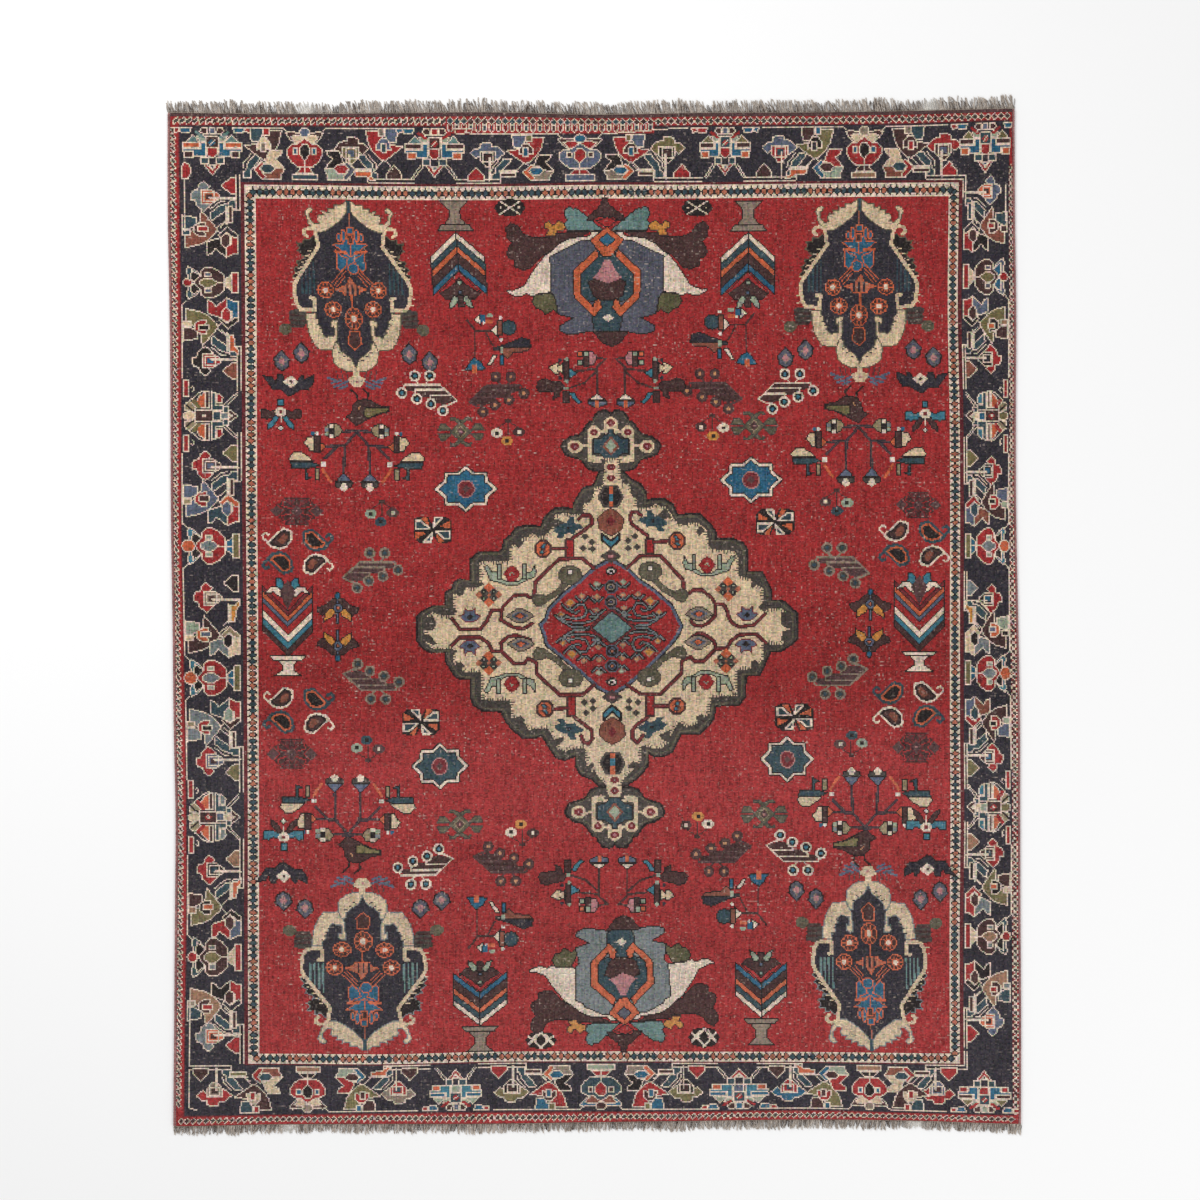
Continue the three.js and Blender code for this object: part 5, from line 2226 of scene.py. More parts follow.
@dataclass(frozen=True)
class Heart:
    """The red lozenge in the medallion's middle and the column that runs through it.

    Attributes:
        chart: The chart to draw on.
    """

    chart: KnotChart

    def draw(self) -> None:
        """Draws the lozenge, its vines and the column."""
        pen = PLAIN.pen(self.chart, 0, 0)
        outline = ((17, 58), (0, 49), (-13, 37), (-30, 24), (-44, 10), (-48, -2), (-53, -6),
                   (-49, -17), (-47, -26), (-26, -43), (-10, -56), (4, -69), (17, -76), (33, -67),
                   (58, -45), (77, -25), (83, -17), (87, -8), (83, 0), (77, 12), (60, 27), (45, 37),
                   (33, 49))
        pen.edged(INK, 4.4).fill(RED, *outline)
        pen.edged(SLATE, 2.2).fill(RED, *outline)
        for facing, x, y in zip(QUARTERS, (-24, 56, -22, 55), (9, 11, -30, -28)):
            self._scroll(facing.pen(self.chart, x, y))
        self._diamond(pen)
        for facing, x, y, upper in ((PLAIN, 17, 0, True), (FLIPPED, 18, -17, False)):
            self._column(facing.pen(self.chart, x, y), upper)

    @staticmethod
    def _scroll(pen: Pen) -> None:
        """Draws one quarter's grey vine with its gold diamonds.

        Args:
            pen: The pen, placed for the motif.
        """
        buds = ((GOLD, 0, 6, 5.0), (GOLD, -9, -5, 3.2), (PEACH, 12, 13, 3.0), (PEACH, 27, 12, 3.0),
                (PEACH, 26, -1, 3.2), (MINT, 27, 25, 3.4))
        vines = [((-13, -8), (-6, -12), (4, -14), (14, -14), (22, -12), (28, -8)),
                 ((-8, -12), (2, -18), (12, -18), (17, -21), (26, -15)),
                 ((-3, -8), (6, -10), (14, -8), (17, -2), (14, 4), (8, 4), (4, 1)),
                 ((0, -2), (6, -4), (9, -2)), ((20, -8), (26, -8), (31, -4), (35, -1))]
        for _, x, y, reach in buds:
            vines.append(((x - reach - 3, y - 1), (x - 2, y - reach - 2), (x, y - reach),
                          (x + 2, y - reach - 2), (x + reach + 3, y - 1)))
        for dye, width in ((INK, 2.8), (MIST, 1.1)):
            for points in vines:
                pen.line(dye, *points, width=width)
        for dye, x, y, reach in buds:
            pen.edged(GREY).diamond(dye, x, y, reach, 0.85 * reach)

    @staticmethod
    def _diamond(pen: Pen) -> None:
        """Draws the teal diamond in the very middle.

        Args:
            pen: The pen, placed for the motif.
        """
        corners = ((-2, -10), (18, 7), (38, -10), (18, -26))
        pen.edged(BROWN, 4.2).fill(BROWN, *corners)
        pen.edged(WINE, 2.6).fill(JADE, *corners)
        pen.edged(INK).fill(JADE, *corners)

    @staticmethod
    def _column(pen: Pen, upper: bool) -> None:
        """Draws one half of the column, from the middle outwards.

        Args:
            pen: The pen, with the column running up.
            upper: Whether it is the half above the medallion's middle.
        """
        ink = pen.edged(INK, 1.6)
        ring, heart = (GREY, SLATE) if upper else (SLATE, CLAY)
        for y, reach in ((16, 5), (31, 5.2)):
            pen.edged(STEEL, 1.2).disc(INK, 0, y, reach + 1.4, reach + 1.2, 8)
            ink.disc(ring, 0, y, reach - 0.4, reach - 0.6, 8)
            pen.edged(INK).disc(heart, 0, y, 1.8, 1.8, 8)
        ink.disc(WHITE, 0, 47, 5, 3.4, 8)
        pen.block(INK, -2, 46, 2, 48)
        pen.edged(SHADOW, 2).diamond(PLUM, 0, 62, 9, 6)
        pen.block(PINK, -2.5, 60.5, 2.5, 63.5)
        ink.fill(SEA, *both_sides((0, 77), (9, 85), (9, 78), (0, 70)))
        pen.edged(BROWN).fill(RUST, *both_sides((0, 110), (7, 106), (13, 100), (12, 90), (6, 85),
                                                (0, 82)))
        pen.diamond(WINE, 0, 97, 4.5, 6)
        end = pen.at(0, 0 if upper else 7)
        end.edged(SHADOW, 2).fill(INK, *both_sides((7, 112), (12, 121), (7, 131)))
        for dye, low, high in ((ORANGE, 112, 117), (SEA, 117, 124), (ORANGE, 124, 132)):
            end.block(dye, -2, low, 2.5, high)


class Pendant:
    """The dark cross that hangs from the medallion at either end."""

    def draw(self, pen: Pen) -> None:
        """Draws the cross, its ivory frame and its berries.

        Args:
            pen: The pen, placed for the motif.
        """
        for half in pen.pair():
            half.edged(INK, 1.6).fill(SHADOW, (0, 205), (-5, 208), (-12, 207), (-17, 201), (-17, 197),
                                      (-22, 196), (-29, 186), (-33, 183), (-40, 182), (-48, 176),
                                      (-50, 172), (-46, 164), (-38, 161), (-30, 159), (-24, 150),
                                      (-16, 147), (-8, 147), (0, 152))
            half.line(SAGE, (-14, 202), (-20, 192), (-27, 183), (-44, 177))
            half.line(SAGE, (-42, 166), (-27, 158), (-20, 151))
            half.fill(CREAM, (-23, 185), (-19, 185), (-19, 163), (-12, 161), (-9, 156), (-14, 155),
                      (-23, 157))
            half.line(CREAM, (-22, 172), (-29, 173), width=2)
            half.fill(CREAM, (0, 202), (-7, 196), (-7, 190), (-9, 187), (-5, 184), (0, 191))
            half.line(CREAM, (-5, 187), (-13, 187), width=2)
            half.fill(CREAM, (-4, 162), (-11, 160), (-6, 160), (-7, 130), (0, 130), (0, 156))
            half.line(CREAM, (-5, 161), (-13, 160), width=2)
            for x, y, wide in ((-17, 186, 5.3), (-36, 172, 6.4)):
                half.edged(CREAM, 2.2).disc(WINE, x, y, wide, 5.4, 8)
                half.diamond(PINK, x, y, 1.6)
        pen.edged(INK).fill(TEAL, *both_sides((3, 189), (3, 184), (7, 183), (10, 180), (18, 180),
                                              (18, 165), (10, 164), (5, 158)))
        pen.edged(RUST, 1.8).fill(MINT, (-7, 172), (0, 181), (7, 172), (0, 164))
        self.berry(pen, 195)

    @staticmethod
    def berry(pen: Pen, y: float) -> None:
        """Draws one round berry on the cross's middle line."""
        pen.edged(CREAM, 2.0).disc(WINE, 0, y, 5.6, 5, 8)
        pen.diamond(PINK, 0, y, 1.6)


TOOTH_PITCH = 2.8
TOOTH_LENGTHS = (1.4, 3.0, 2.0, 3.4, 1.2)
RIM_SCALE = 0.975  # where the thin line runs inside the medallion's rim
NECK_BERRIES = (151, 140)


def draw_teeth(pen: Pen, dye: Dye, outline: Sequence[Point]) -> None:
    """Draws short teeth inwards from an outline whose corners run clockwise.

    Args:
        pen: The pen that the outline was drawn with.
        dye: The teeth's wool.
        outline: The outline's corners.
    """
    for number, (start, end) in enumerate(zip(outline, outline[1:] + outline[:1])):
        run = np.subtract(end, start)
        length = float(np.hypot(*run))
        inward = np.array([run[1], -run[0]]) / length
        for step in range(1, int(length / TOOTH_PITCH) + 1):
            foot = np.add(start, run * (step - 0.5) * TOOTH_PITCH / length)
            tall = TOOTH_LENGTHS[(2 * step + number) % len(TOOTH_LENGTHS)]
            pen.line(dye, tuple(foot), tuple(foot + inward * tall), width=1.0)


def draw_medallion(chart: KnotChart) -> None:
    """Draws the medallion and its two pendants.

    Args:
        chart: The chart to draw on.
    """
    pendant = Pendant()
    pen = PLAIN.pen(chart, 0, 0)
    necks = PLAIN.pen(chart, 17.5, 0), FLIPPED.pen(chart, 20, -22)
    pen.edged(INK, 1.4).fill(SHADOW, *MEDALLION_RIM)
    for neck in necks:
        pendant.draw(neck)
    middle = np.mean(np.array(MEDALLION_RIM), axis=0)
    inset = [tuple(middle + (np.array(point) - middle) * RIM_SCALE) for point in MEDALLION_RIM]
    pen.line(SAGE, *inset, width=1.3)
    pen.fill(CREAM, *MEDALLION_GROUND)
    draw_teeth(pen, SHADOW, MEDALLION_GROUND)
    for leaf in RIM_LEAVES:
        pen.fill(SHADOW, *leaf)
    for neck in necks:
        for y in NECK_BERRIES:
            pendant.berry(neck.edged(BROWN), y)
    Heart(chart).draw()
    for vine in VINES:
        vine.draw(pen)
    MedallionFlowers(chart).draw()


def linear(colour: Sequence[float]) -> tuple[float, float, float, float]:
    """Turns sRGB bytes into the scene's own linear colour.

    Args:
        colour: Red, green and blue from 0 to 255.

    Returns:
        Red, green, blue and full alpha, from 0 to 1.
    """
    parts = [value / 255 for value in colour]
    straight = [p / 12.92 if p <= 0.04045 else ((p + 0.055) / 1.055) ** 2.4 for p in parts]
    return straight[0], straight[1], straight[2], 1.0


Socket = bpy.types.NodeSocket
Feed = object


class Graph:
    """Adds nodes to a tree and joins them up."""

    def __init__(self, tree: bpy.types.NodeTree) -> None:
        """Starts on a tree.

        Args:
            tree: The tree to add to.
        """
        self.tree = tree
        self.count = 0

    def add(self, kind: str, feeds: Optional[dict] = None, **settings: object) -> bpy.types.Node:
        """Adds one node.

        Args:
            kind: The node's type.
            feeds: What goes into its sockets, by name or number: a value or another socket.
            settings: The node's own settings.

        Returns:
            The node.
        """
        node = self.tree.nodes.new(kind)
        node.location = (220 * (self.count // 6), -180 * (self.count % 6))
        self.count += 1
        for name, value in settings.items():
            setattr(node, name, value)
        for key, value in (feeds or {}).items():
            self.feed(node.inputs[key], value)
        return node

    def feed(self, socket: Socket, value: Feed) -> None:
        """Puts a value or a link into a socket.

        Args:
            socket: The socket.
            value: What goes into it, a value or another socket.
        """
        if isinstance(value, bpy.types.NodeSocket):
            self.tree.links.new(value, socket)
        else:
            socket.default_value = value

    def math(self, operation: str, *values: Feed, clamp: bool = False) -> Socket:
        """Adds a sum, product or other operation on numbers."""
        feeds = dict(enumerate(values))
        return self.add("ShaderNodeMath", feeds, operation=operation, use_clamp=clamp).outputs[0]

    def vector(self, operation: str, *values: Feed) -> Socket:
        """Adds an operation on vectors."""
        node = self.add("ShaderNodeVectorMath", dict(enumerate(values)), operation=operation)
        scalar = operation in ("LENGTH", "DISTANCE", "DOT_PRODUCT")
        return node.outputs["Value" if scalar else "Vector"]

    def scaled(self, vector: Feed, size: Feed) -> Socket:
        """Multiplies a vector or a colour by one number."""
        return self.add("ShaderNodeVectorMath", {"Vector": vector, "Scale": size},
                        operation="SCALE").outputs[0]

    def ramp(self, value: Feed, low: float, high: float, start: float = 0.0,
             end: float = 1.0) -> Socket:
        """Adds a clamped straight ramp from one range to another."""
        feeds = {0: value, 1: low, 2: high, 3: start, 4: end}
        return self.add("ShaderNodeMapRange", feeds).outputs[0]

    def noise(self, vector: Feed, scale: float, detail: float = 2.0,
              roughness: float = 0.5) -> Socket:
        """Adds soft noise between about 0.2 and 0.8."""
        feeds = {"Vector": vector, "Scale": scale, "Detail": detail, "Roughness": roughness}
        return self.add("ShaderNodeTexNoise", feeds).outputs[0]

    def speck(self, vector: Feed) -> bpy.types.Node:
        """Adds white noise, one value and colour for each place."""
        return self.add("ShaderNodeTexWhiteNoise", {"Vector": vector})

    def split(self, vector: Feed) -> tuple[Socket, Socket, Socket]:
        """Takes a vector apart."""
        outputs = self.add("ShaderNodeSeparateXYZ", {0: vector}).outputs
        return outputs[0], outputs[1], outputs[2]

    def join(self, x: Feed = 0.0, y: Feed = 0.0, z: Feed = 0.0) -> Socket:
        """Puts a vector together."""
        return self.add("ShaderNodeCombineXYZ", {0: x, 1: y, 2: z}).outputs[0]

    def mix(self, share: Feed, first: Feed, second: Feed, blend: str = "MIX") -> Socket:
        """Adds a colour mix.

        Args:
            share: How much of the second colour there is.
            first: The first colour.
            second: The second colour.
            blend: How they are mixed.

        Returns:
            The mixed colour.
        """
        node = self.add("ShaderNodeMix", data_type="RGBA", blend_type=blend)
        self.feed(node.inputs[0], share)
        self.feed(node.inputs[6], first)
        self.feed(node.inputs[7], second)
        return node.outputs[2]


def group_tree(name: str, inputs: Sequence[tuple[str, str, object]],
               outputs: Sequence[tuple[str, str]],
               kind: str = "ShaderNodeTree") -> tuple[Graph, bpy.types.Node, bpy.types.Node]:
    """Starts a node group.

    Args:
        name: The group's name.
        inputs: Each input's name, socket kind and usual value.
        outputs: Each output's name and socket kind.
        kind: The kind of tree.

    Returns:
        The graph to build in, its input node and its output node.
    """
    tree = bpy.data.node_groups.new(name, kind)
    for label, kind, value in inputs:
        socket = tree.interface.new_socket(label, in_out="INPUT", socket_type=kind)
        if value is not None:
            socket.default_value = value
    for label, kind in outputs:
        tree.interface.new_socket(label, in_out="OUTPUT", socket_type=kind)
    graph = Graph(tree)
    return graph, graph.add("NodeGroupInput"), graph.add("NodeGroupOutput")


FLOAT = "NodeSocketFloat"
COLOUR = "NodeSocketColor"
VECTOR = "NodeSocketVector"
COUNT = "NodeSocketInt"
MATERIAL = "NodeSocketMaterial"
GEOMETRY = "NodeSocketGeometry"


@dataclass(frozen=True)
class KnotLookup:
    """Finds the dye of the knot under each point, from what the faces carry.

    Attributes:
        columns: Knots across one face.
        rows: Knots along one face.
        shades: How many codes one digit can hold.
        layers: The attributes that carry three rows each.
    """

    columns: int = 4
    rows: int = 9
    shades: int = 32
    layers: tuple[str, str, str] = ("codes_a", "codes_b", "codes_c")

    def pack(self, codes: np.ndarray) -> np.ndarray:
        """Packs the chart so that one number holds one row of one face.

        Args:
            codes: The chart's dye numbers, the lowest row first.

        Returns:
            Numbers by face row, row in the face and face column.
        """
        down, over = codes.shape[0] // self.rows, codes.shape[1] // self.columns
        blocks = codes.reshape(down, self.rows, over, self.columns).astype(np.float64)
        return blocks @ (float(self.shades) ** np.arange(self.columns))

    def build(self) -> bpy.types.NodeTree:
        """Builds the lookup's node group.

        Returns:
            A group with the knot's colour, its number and its place in the knot.
        """
        graph, _, outlet = group_tree(
            "knot lookup", (), (("Wool", COLOUR), ("Knot", VECTOR), ("Within", VECTOR)))
        place = graph.add("ShaderNodeAttribute", attribute_name="knot").outputs["Vector"]
        first = graph.add("ShaderNodeAttribute", attribute_name="block").outputs["Vector"]
        inside = graph.split(graph.vector("FLOOR", graph.vector("SUBTRACT", place, first)))
        column, row = (
            graph.math("MINIMUM", graph.math("MAXIMUM", value, 0.0), count - 1.0)
            for value, count in zip(inside, (self.columns, self.rows)))
        rows = []
        for name in self.layers:
            vector = graph.add("ShaderNodeAttribute", attribute_name=name).outputs["Vector"]
            rows.extend(graph.split(vector))
        digits: Feed = 0.0
        for number, value in enumerate(rows):
            here = graph.math("COMPARE", row, float(number), 0.5)
            digits = graph.math("MULTIPLY_ADD", here, value, digits)
        divisor: Feed = 1.0
        for number in range(1, self.columns):
            past = graph.math("GREATER_THAN", column, number - 0.5)
            step = float(self.shades ** number - self.shades ** (number - 1))
            divisor = graph.math("MULTIPLY_ADD", past, step, divisor)
        shifted = graph.math("FLOOR", graph.math("DIVIDE", digits, divisor))
        code = graph.math("MODULO", shifted, float(self.shades))
        level = graph.math("DIVIDE", graph.math("ADD", code, 0.5), float(self.shades))
        wools = graph.add("ShaderNodeValToRGB", {0: level})
        wools.color_ramp.interpolation = "CONSTANT"
        for dye in list(Dye)[2:]:
            wools.color_ramp.elements.new(dye.code / self.shades)
        for element, dye in zip(wools.color_ramp.elements, Dye):
            element.position = dye.code / self.shades
            element.color = linear(dye.value)
        knot = graph.vector("ADD", graph.join(column, row), first)
        graph.feed(outlet.inputs["Wool"], wools.outputs[0])
        graph.feed(outlet.inputs["Knot"], knot)
        graph.feed(outlet.inputs["Within"], graph.vector("SUBTRACT", place, knot))
        return graph.tree


FADE_BANDS = (
    # share of the length, brightness, fading
    (0.00, 1.38, 0.110),
    (0.12, 1.36, 0.110),
    (0.19, 1.25, 0.100),
    (0.28, 1.25, 0.100),
    (0.31, 1.38, 0.120),
    (0.365, 1.36, 0.110),
    (0.39, 1.14, 0.070),
    (0.425, 0.95, 0.020),
    (0.48, 0.93, 0.000),
    (0.52, 1.05, 0.000),
    (0.60, 1.06, 0.000),
    (1.00, 1.02, 0.000),
)
LUMINANCE = (0.2126, 0.7152, 0.0722)
DUST = (186, 172, 160)
DUST_POWER = 5.0  # the higher, the fewer knots are dusty
DUST_SHARE = 0.075  # how dusty the dustiest knot is
BARE_WARP = (208, 188, 174)
# the near-black of the painted shade in the grooves between knots
GROOVE_SHADE = (0.01, 0.006, 0.006, 1)
ROW_GROOVE_SHADE = (0.28, 0.26)  # painted shade in the grooves between rows: from where in a knot it starts, and how dark it gets
# the same painted shade in the grooves between columns: from where in a knot it starts, and how dark it
# gets
COLUMN_GROOVE_SHADE = (0.3, 0.1)
SHADE_RELIEF = 0.35  # how much higher a light knot stands
BALD_RELIEF = -0.9  # how much lower a bare one lies


@dataclass(frozen=True)
class ClothNoise:
    """Soft noise over the knots, which can be stretched along the warps or the wefts.

    Attributes:
        across: How fast it changes from warp to warp.
        along: How fast it changes from weft to weft.
        layer: Which layer of the noise is read, so that no two are alike.
        scale: What both are multiplied by.
        detail: How many finer noises are added.
        roughness: How strong those are.
    """

    across: float = 1.0
    along: float = 1.0
    layer: float = 0.0
    scale: float = 1.0
    detail: float = 0.0
    roughness: float = 0.5

    def read(self, graph: Graph, knot: Socket, low: float, high: float,
             start: float = 0.0) -> Socket:
        """Adds the noise to a graph.

        Args:
            graph: The graph to add to.
            knot: The knot's number.
            low: The noise that gives the start value.
            high: The noise that gives 1.
            start: The start value.

        Returns:
            The noise, ramped between the two.
        """
        column, row, _ = graph.split(knot)
        place = graph.join(graph.math("MULTIPLY", column, self.across),
                           graph.math("MULTIPLY", row, self.along), self.layer)
        noise = graph.noise(place, self.scale, self.detail, self.roughness)
        return graph.ramp(noise, low, high, start, 1.0)


OWN_SHADE = 0.34  # how far each knot's own shade moves its lightness
SHADE_NOISES = (
    # patches, broad bands of wefts, fine streaks, single wefts and single warps, each with how
    # far it moves a knot's lightness
    (ClothNoise(scale=0.045, detail=3.0), 0.22),
    (ClothNoise(across=0.0, scale=0.04, detail=4.0, roughness=0.62), 0.14),
    (ClothNoise(across=0.02, scale=0.9, detail=1.0), 0.2),
    (ClothNoise(across=0.33, along=1.7, layer=5.0), 0.5),
    (ClothNoise(across=1.7, along=0.09, layer=9.0), 0.42),
)
NOISE_RANGE = (0.3, 0.7, -1.0)  # the noises that give -1 and 1, since they seldom go further
DARKEST = -1.35  # the lowest lightness that they may add up to
WEAR_MARKS = (
    # flat dashes and upright cracks, each with the noise where it begins and where it is full
    (ClothNoise(across=0.30, along=7.37, layer=3.0), 0.70, 0.84),
    (ClothNoise(across=7.37, along=0.30, layer=11.0), 0.72, 0.86),
)
WORN_PATCHES = ClothNoise(scale=0.018, detail=4.0, roughness=0.62)


def build_wool_age() -> bpy.types.NodeTree:
    """Builds the group that ages dyed wool: uneven dye, faded bands, bare knots and painted shade in the
    grooves between knots.

    Returns:
        A group that takes wool, knot and wear, and gives colour and height.
    """
    graph, inlet, outlet = group_tree(
        "aged wool",
        (("Wool", COLOUR, (0.2, 0.02, 0.03, 1)), ("Knot", VECTOR, None), ("Within", VECTOR, None),
         ("Scatter", FLOAT, 0.3), ("Fading", FLOAT, 1.0), ("Bare", FLOAT, 0.5)),
        (("Colour", COLOUR), ("Height", FLOAT)))
    given = {socket.name: socket for socket in inlet.outputs}
    knot = given["Knot"]
    tint = graph.speck(knot)
    shade = graph.ramp(tint.outputs[0], 0, 1, -1, 1)
    factor = _dye_factor(graph, knot, shade, tint.outputs[1], given["Scatter"])
    dyed = graph.vector("MULTIPLY", given["Wool"], factor)
    faded, grey = _fade(graph, knot, dyed, given["Fading"])
    bald = graph.math("MULTIPLY", _wear(graph, knot, grey), given["Bare"])
    colour = graph.mix(bald, faded, linear(BARE_WARP))
    # painted shade: each knot darkens towards its edges, where the grooves between knots lie in shade
    edge_x, edge_y = (graph.math("ABSOLUTE", graph.math("SUBTRACT", part, 0.5))
                      for part in graph.split(given["Within"])[:2])
    groove_shades = [graph.math("MULTIPLY", graph.ramp(edge, start, 0.5), depth)
               for edge, (start, depth) in ((edge_y, ROW_GROOVE_SHADE), (edge_x, COLUMN_GROOVE_SHADE))]
    colour = graph.mix(graph.math("ADD", *groove_shades), colour, GROOVE_SHADE)
    dome = graph.math("ADD", graph.ramp(edge_x, 0.1, 0.5, 1, 0.4), graph.ramp(edge_y, 0.1, 0.5, 1, 0))
    dome = graph.math("MULTIPLY_ADD", shade, SHADE_RELIEF, dome)
    graph.feed(outlet.inputs["Colour"], colour)
    graph.feed(outlet.inputs["Height"], graph.math("MULTIPLY_ADD", bald, BALD_RELIEF, dome))
    return graph.tree


def _fade(graph: Graph, knot: Socket, dyed: Socket, fading: Socket) -> tuple[Socket, Socket]:
    """Brightens and fades the wool band by band, and dusts some of its knots.

    Args:
        graph: The graph to add to.
        knot: The knot's number.
        dyed: The wool's colour.
        fading: How far the bands fade it.

    Returns:
        The faded colour, and how light the wool was before it faded.
    """
    _, row, _ = graph.split(knot)
    share = graph.math("DIVIDE", row, float(KnotChart.rows))
    bands = graph.add("ShaderNodeValToRGB", {0: share})
    elements = bands.color_ramp.elements
    for place, _, _ in FADE_BANDS[1:-1]:
        elements.new(place)
    for element, (place, brightness, fade) in zip(elements, FADE_BANDS):
        element.position = place
        element.color = (brightness / 2, fade, 0, 1)
    half_bright, faded_share, _ = graph.split(bands.outputs[0])
    dark = graph.ramp(graph.vector("DOT_PRODUCT", dyed, LUMINANCE), 0.0, 0.42, 1.0, 0.1)
    gain = graph.math("MULTIPLY_ADD", half_bright, 2.0, -1.0)
    shaded = graph.scaled(dyed, graph.math("MULTIPLY_ADD", gain, dark, 1.0))
    grey = graph.vector("DOT_PRODUCT", shaded, LUMINANCE)
    faded = graph.mix(graph.math("MULTIPLY", faded_share, fading), shaded,
                      graph.join(grey, grey, grey))
    dust = graph.speck(graph.vector("ADD", knot, (0.5, 0.5, 0.5))).outputs[0]
    haze = graph.math("MULTIPLY", graph.math("POWER", dust, DUST_POWER), DUST_SHARE)
    return graph.mix(haze, faded, linear(DUST)), grey


def _dye_factor(graph: Graph, knot: Socket, shade: Socket, hue: Socket, scatter: Socket) -> Socket:
    """Gives how far each knot's wool strays from its dye, by red, green and blue. A few knots are
    darkened further, partly the wool's uneven tone and partly painted shade in the gaps between knots.

    Args:
        graph: The graph to add to.
        knot: The knot's number.
        shade: The knot's own lightness, from -1 to 1.
        hue: The knot's own random colour.
        scatter: How far it may stray.

    Returns:
        A vector to multiply the dye by.
    """
    red, _, _ = graph.split(hue)
    # about one knot in ten is darkened: partly the wool's uneven tone, partly painted shade for the gaps
    # between knots
    value = graph.ramp(red, 0.9, 1.0, 0.0, -0.6)
    value = graph.math("MULTIPLY_ADD", shade, OWN_SHADE, value)
    for noise, weight in SHADE_NOISES:
        part = noise.read(graph, knot, *NOISE_RANGE)
        value = graph.math("MULTIPLY_ADD", part, weight, value)
    value = graph.math("MAXIMUM", value, DARKEST)
    stray = graph.vector("MULTIPLY_ADD", hue, (0.7, 0.7, 0.7), (-0.35, -0.35, -0.35))
    stray = graph.vector("ADD", stray, graph.join(value, value, value))
    return graph.vector("MULTIPLY_ADD", stray, graph.join(scatter, scatter, scatter), (1, 1, 1))


def _wear(graph: Graph, knot: Socket, grey: Socket) -> Socket:
    """Gives where the pile is worn down to its warps: flat dashes and short upright cracks.

    Args:
        graph: The graph to add to.
        knot: The knot's number.
        grey: How light its wool is, since neither light nor very dark wool shows the marks well.

    Returns:
        How bare each knot is, from 0 to 1.
    """
    marks = graph.math("MAXIMUM", *(noise.read(graph, knot, low, high)
                                    for noise, low, high in WEAR_MARKS))
    bare = graph.math("MULTIPLY", marks, WORN_PATCHES.read(graph, knot, 0.42, 0.64, 0.12))
    bare = graph.math("MULTIPLY", bare, graph.ramp(grey, 0.2, 0.42, 1.0, 0.25))
    return graph.math("MULTIPLY", bare, graph.ramp(grey, 0.02, 0.06, 0.55, 1.0))


PALE_YARN = (232, 228, 220)
PALE_WARPS = ((-0.667, 0.014), (0.739, 0.014))  # place across the rug and half width, in metres
WARP_LEAN = -0.0148  # how far the pale warps lean, for each metre along the rug


def build_spun_yarn() -> bpy.types.NodeTree:
    """Builds the group that gives spun yarn its uneven colour and fibres.

    Returns:
        A group that takes two colours and a scale, and gives colour and height.
    """
    graph, inlet, outlet = group_tree(
        "spun yarn",
        (("Dark", COLOUR, (0.1, 0.08, 0.07, 1)), ("Light", COLOUR, (0.4, 0.35, 0.3, 1)),
         ("Patch size", FLOAT, 8.0), ("Soil", FLOAT, 0.3), ("Pale warps", FLOAT, 0.0),
         ("Strands", FLOAT, 0.22)),
        (("Colour", COLOUR), ("Height", FLOAT)))
    place = graph.add("ShaderNodeTexCoord").outputs["Object"]
    patch = graph.noise(place, inlet.outputs["Patch size"], 4.0, 0.6)
    strand = graph.add("ShaderNodeAttribute", attribute_name="strand").outputs["Fac"]
    patch = graph.ramp(graph.math("MULTIPLY_ADD", strand, inlet.outputs["Strands"], patch), 0.2, 0.8)
    colour = graph.mix(patch, inlet.outputs["Dark"], inlet.outputs["Light"])
    x, y, _ = graph.split(place)
    leaned = graph.math("MULTIPLY_ADD", y, WARP_LEAN, x)
    pale: Feed = 0.0
    for middle, reach in PALE_WARPS:
        apart = graph.math("ABSOLUTE", graph.math("SUBTRACT", leaned, middle))
        apart = graph.math("MULTIPLY_ADD", strand, 0.4 * reach, apart)
        pale = graph.math("MAXIMUM", pale, graph.ramp(apart, 0.5 * reach, 1.7 * reach, 1, 0))
    pale = graph.math("MULTIPLY", pale, inlet.outputs["Pale warps"])
    colour = graph.mix(pale, colour, linear(PALE_YARN))
    fleck = graph.ramp(graph.noise(place, 260.0, 2.0), 0.35, 0.7, 0.72, 1.18)
    scaled = graph.scaled(colour, fleck)
    soil = graph.math("MULTIPLY", graph.ramp(graph.noise(place, 40.0, 3.0), 0.4, 0.75),
                      inlet.outputs["Soil"])
    fibre = graph.noise(graph.vector("MULTIPLY", place, (1.0, 1.0, 0.6)), 900.0, 3.0, 0.7)
    graph.feed(outlet.inputs["Colour"], graph.mix(soil, scaled, (0.05, 0.04, 0.035, 1)))
    graph.feed(outlet.inputs["Height"], fibre)
    return graph.tree


@dataclass(frozen=True)
class Finish:
    """A woollen surface's shine.

    Attributes:
        name: The material's name.
        roughness: How matt it is.
        sheen: The soft glow of its fibres.
        relief: How deep its bump is, in metres.
    """

    name: str
    roughness: float = 0.97
    sheen: float = 0.02
    relief: float = 0.0008

    def shade(self, colour: Socket, height: Socket, graph: Graph,
              material: bpy.types.Material) -> bpy.types.Material:
        """Ends a material with its surface shader.

        Args:
            colour: The surface's colour.
            height: Its height, from 0 to about 1.
            graph: The material's tree.
            material: The material.

        Returns:
            The same material.
        """
        bump = graph.add("ShaderNodeBump", {"Height": height, "Distance": self.relief,
                                            "Strength": 0.75})
        shader = graph.add("ShaderNodeBsdfPrincipled",
                           {"Base Color": colour, "Roughness": self.roughness,
                            "Specular IOR Level": 0.1, "Sheen Weight": self.sheen,
                            "Sheen Roughness": 0.6, "Normal": bump.outputs[0]})
        end = graph.add("ShaderNodeOutputMaterial")
        graph.tree.links.new(shader.outputs[0], end.inputs[0])
        return material

    def start(self) -> tuple[bpy.types.Material, Graph]:
        """Makes the empty material and its graph.

        Returns:
            The material and its graph.
        """
        material = bpy.data.materials.new(self.name)
        material.use_nodes = True
        material.node_tree.nodes.clear()
        return material, Graph(material.node_tree)


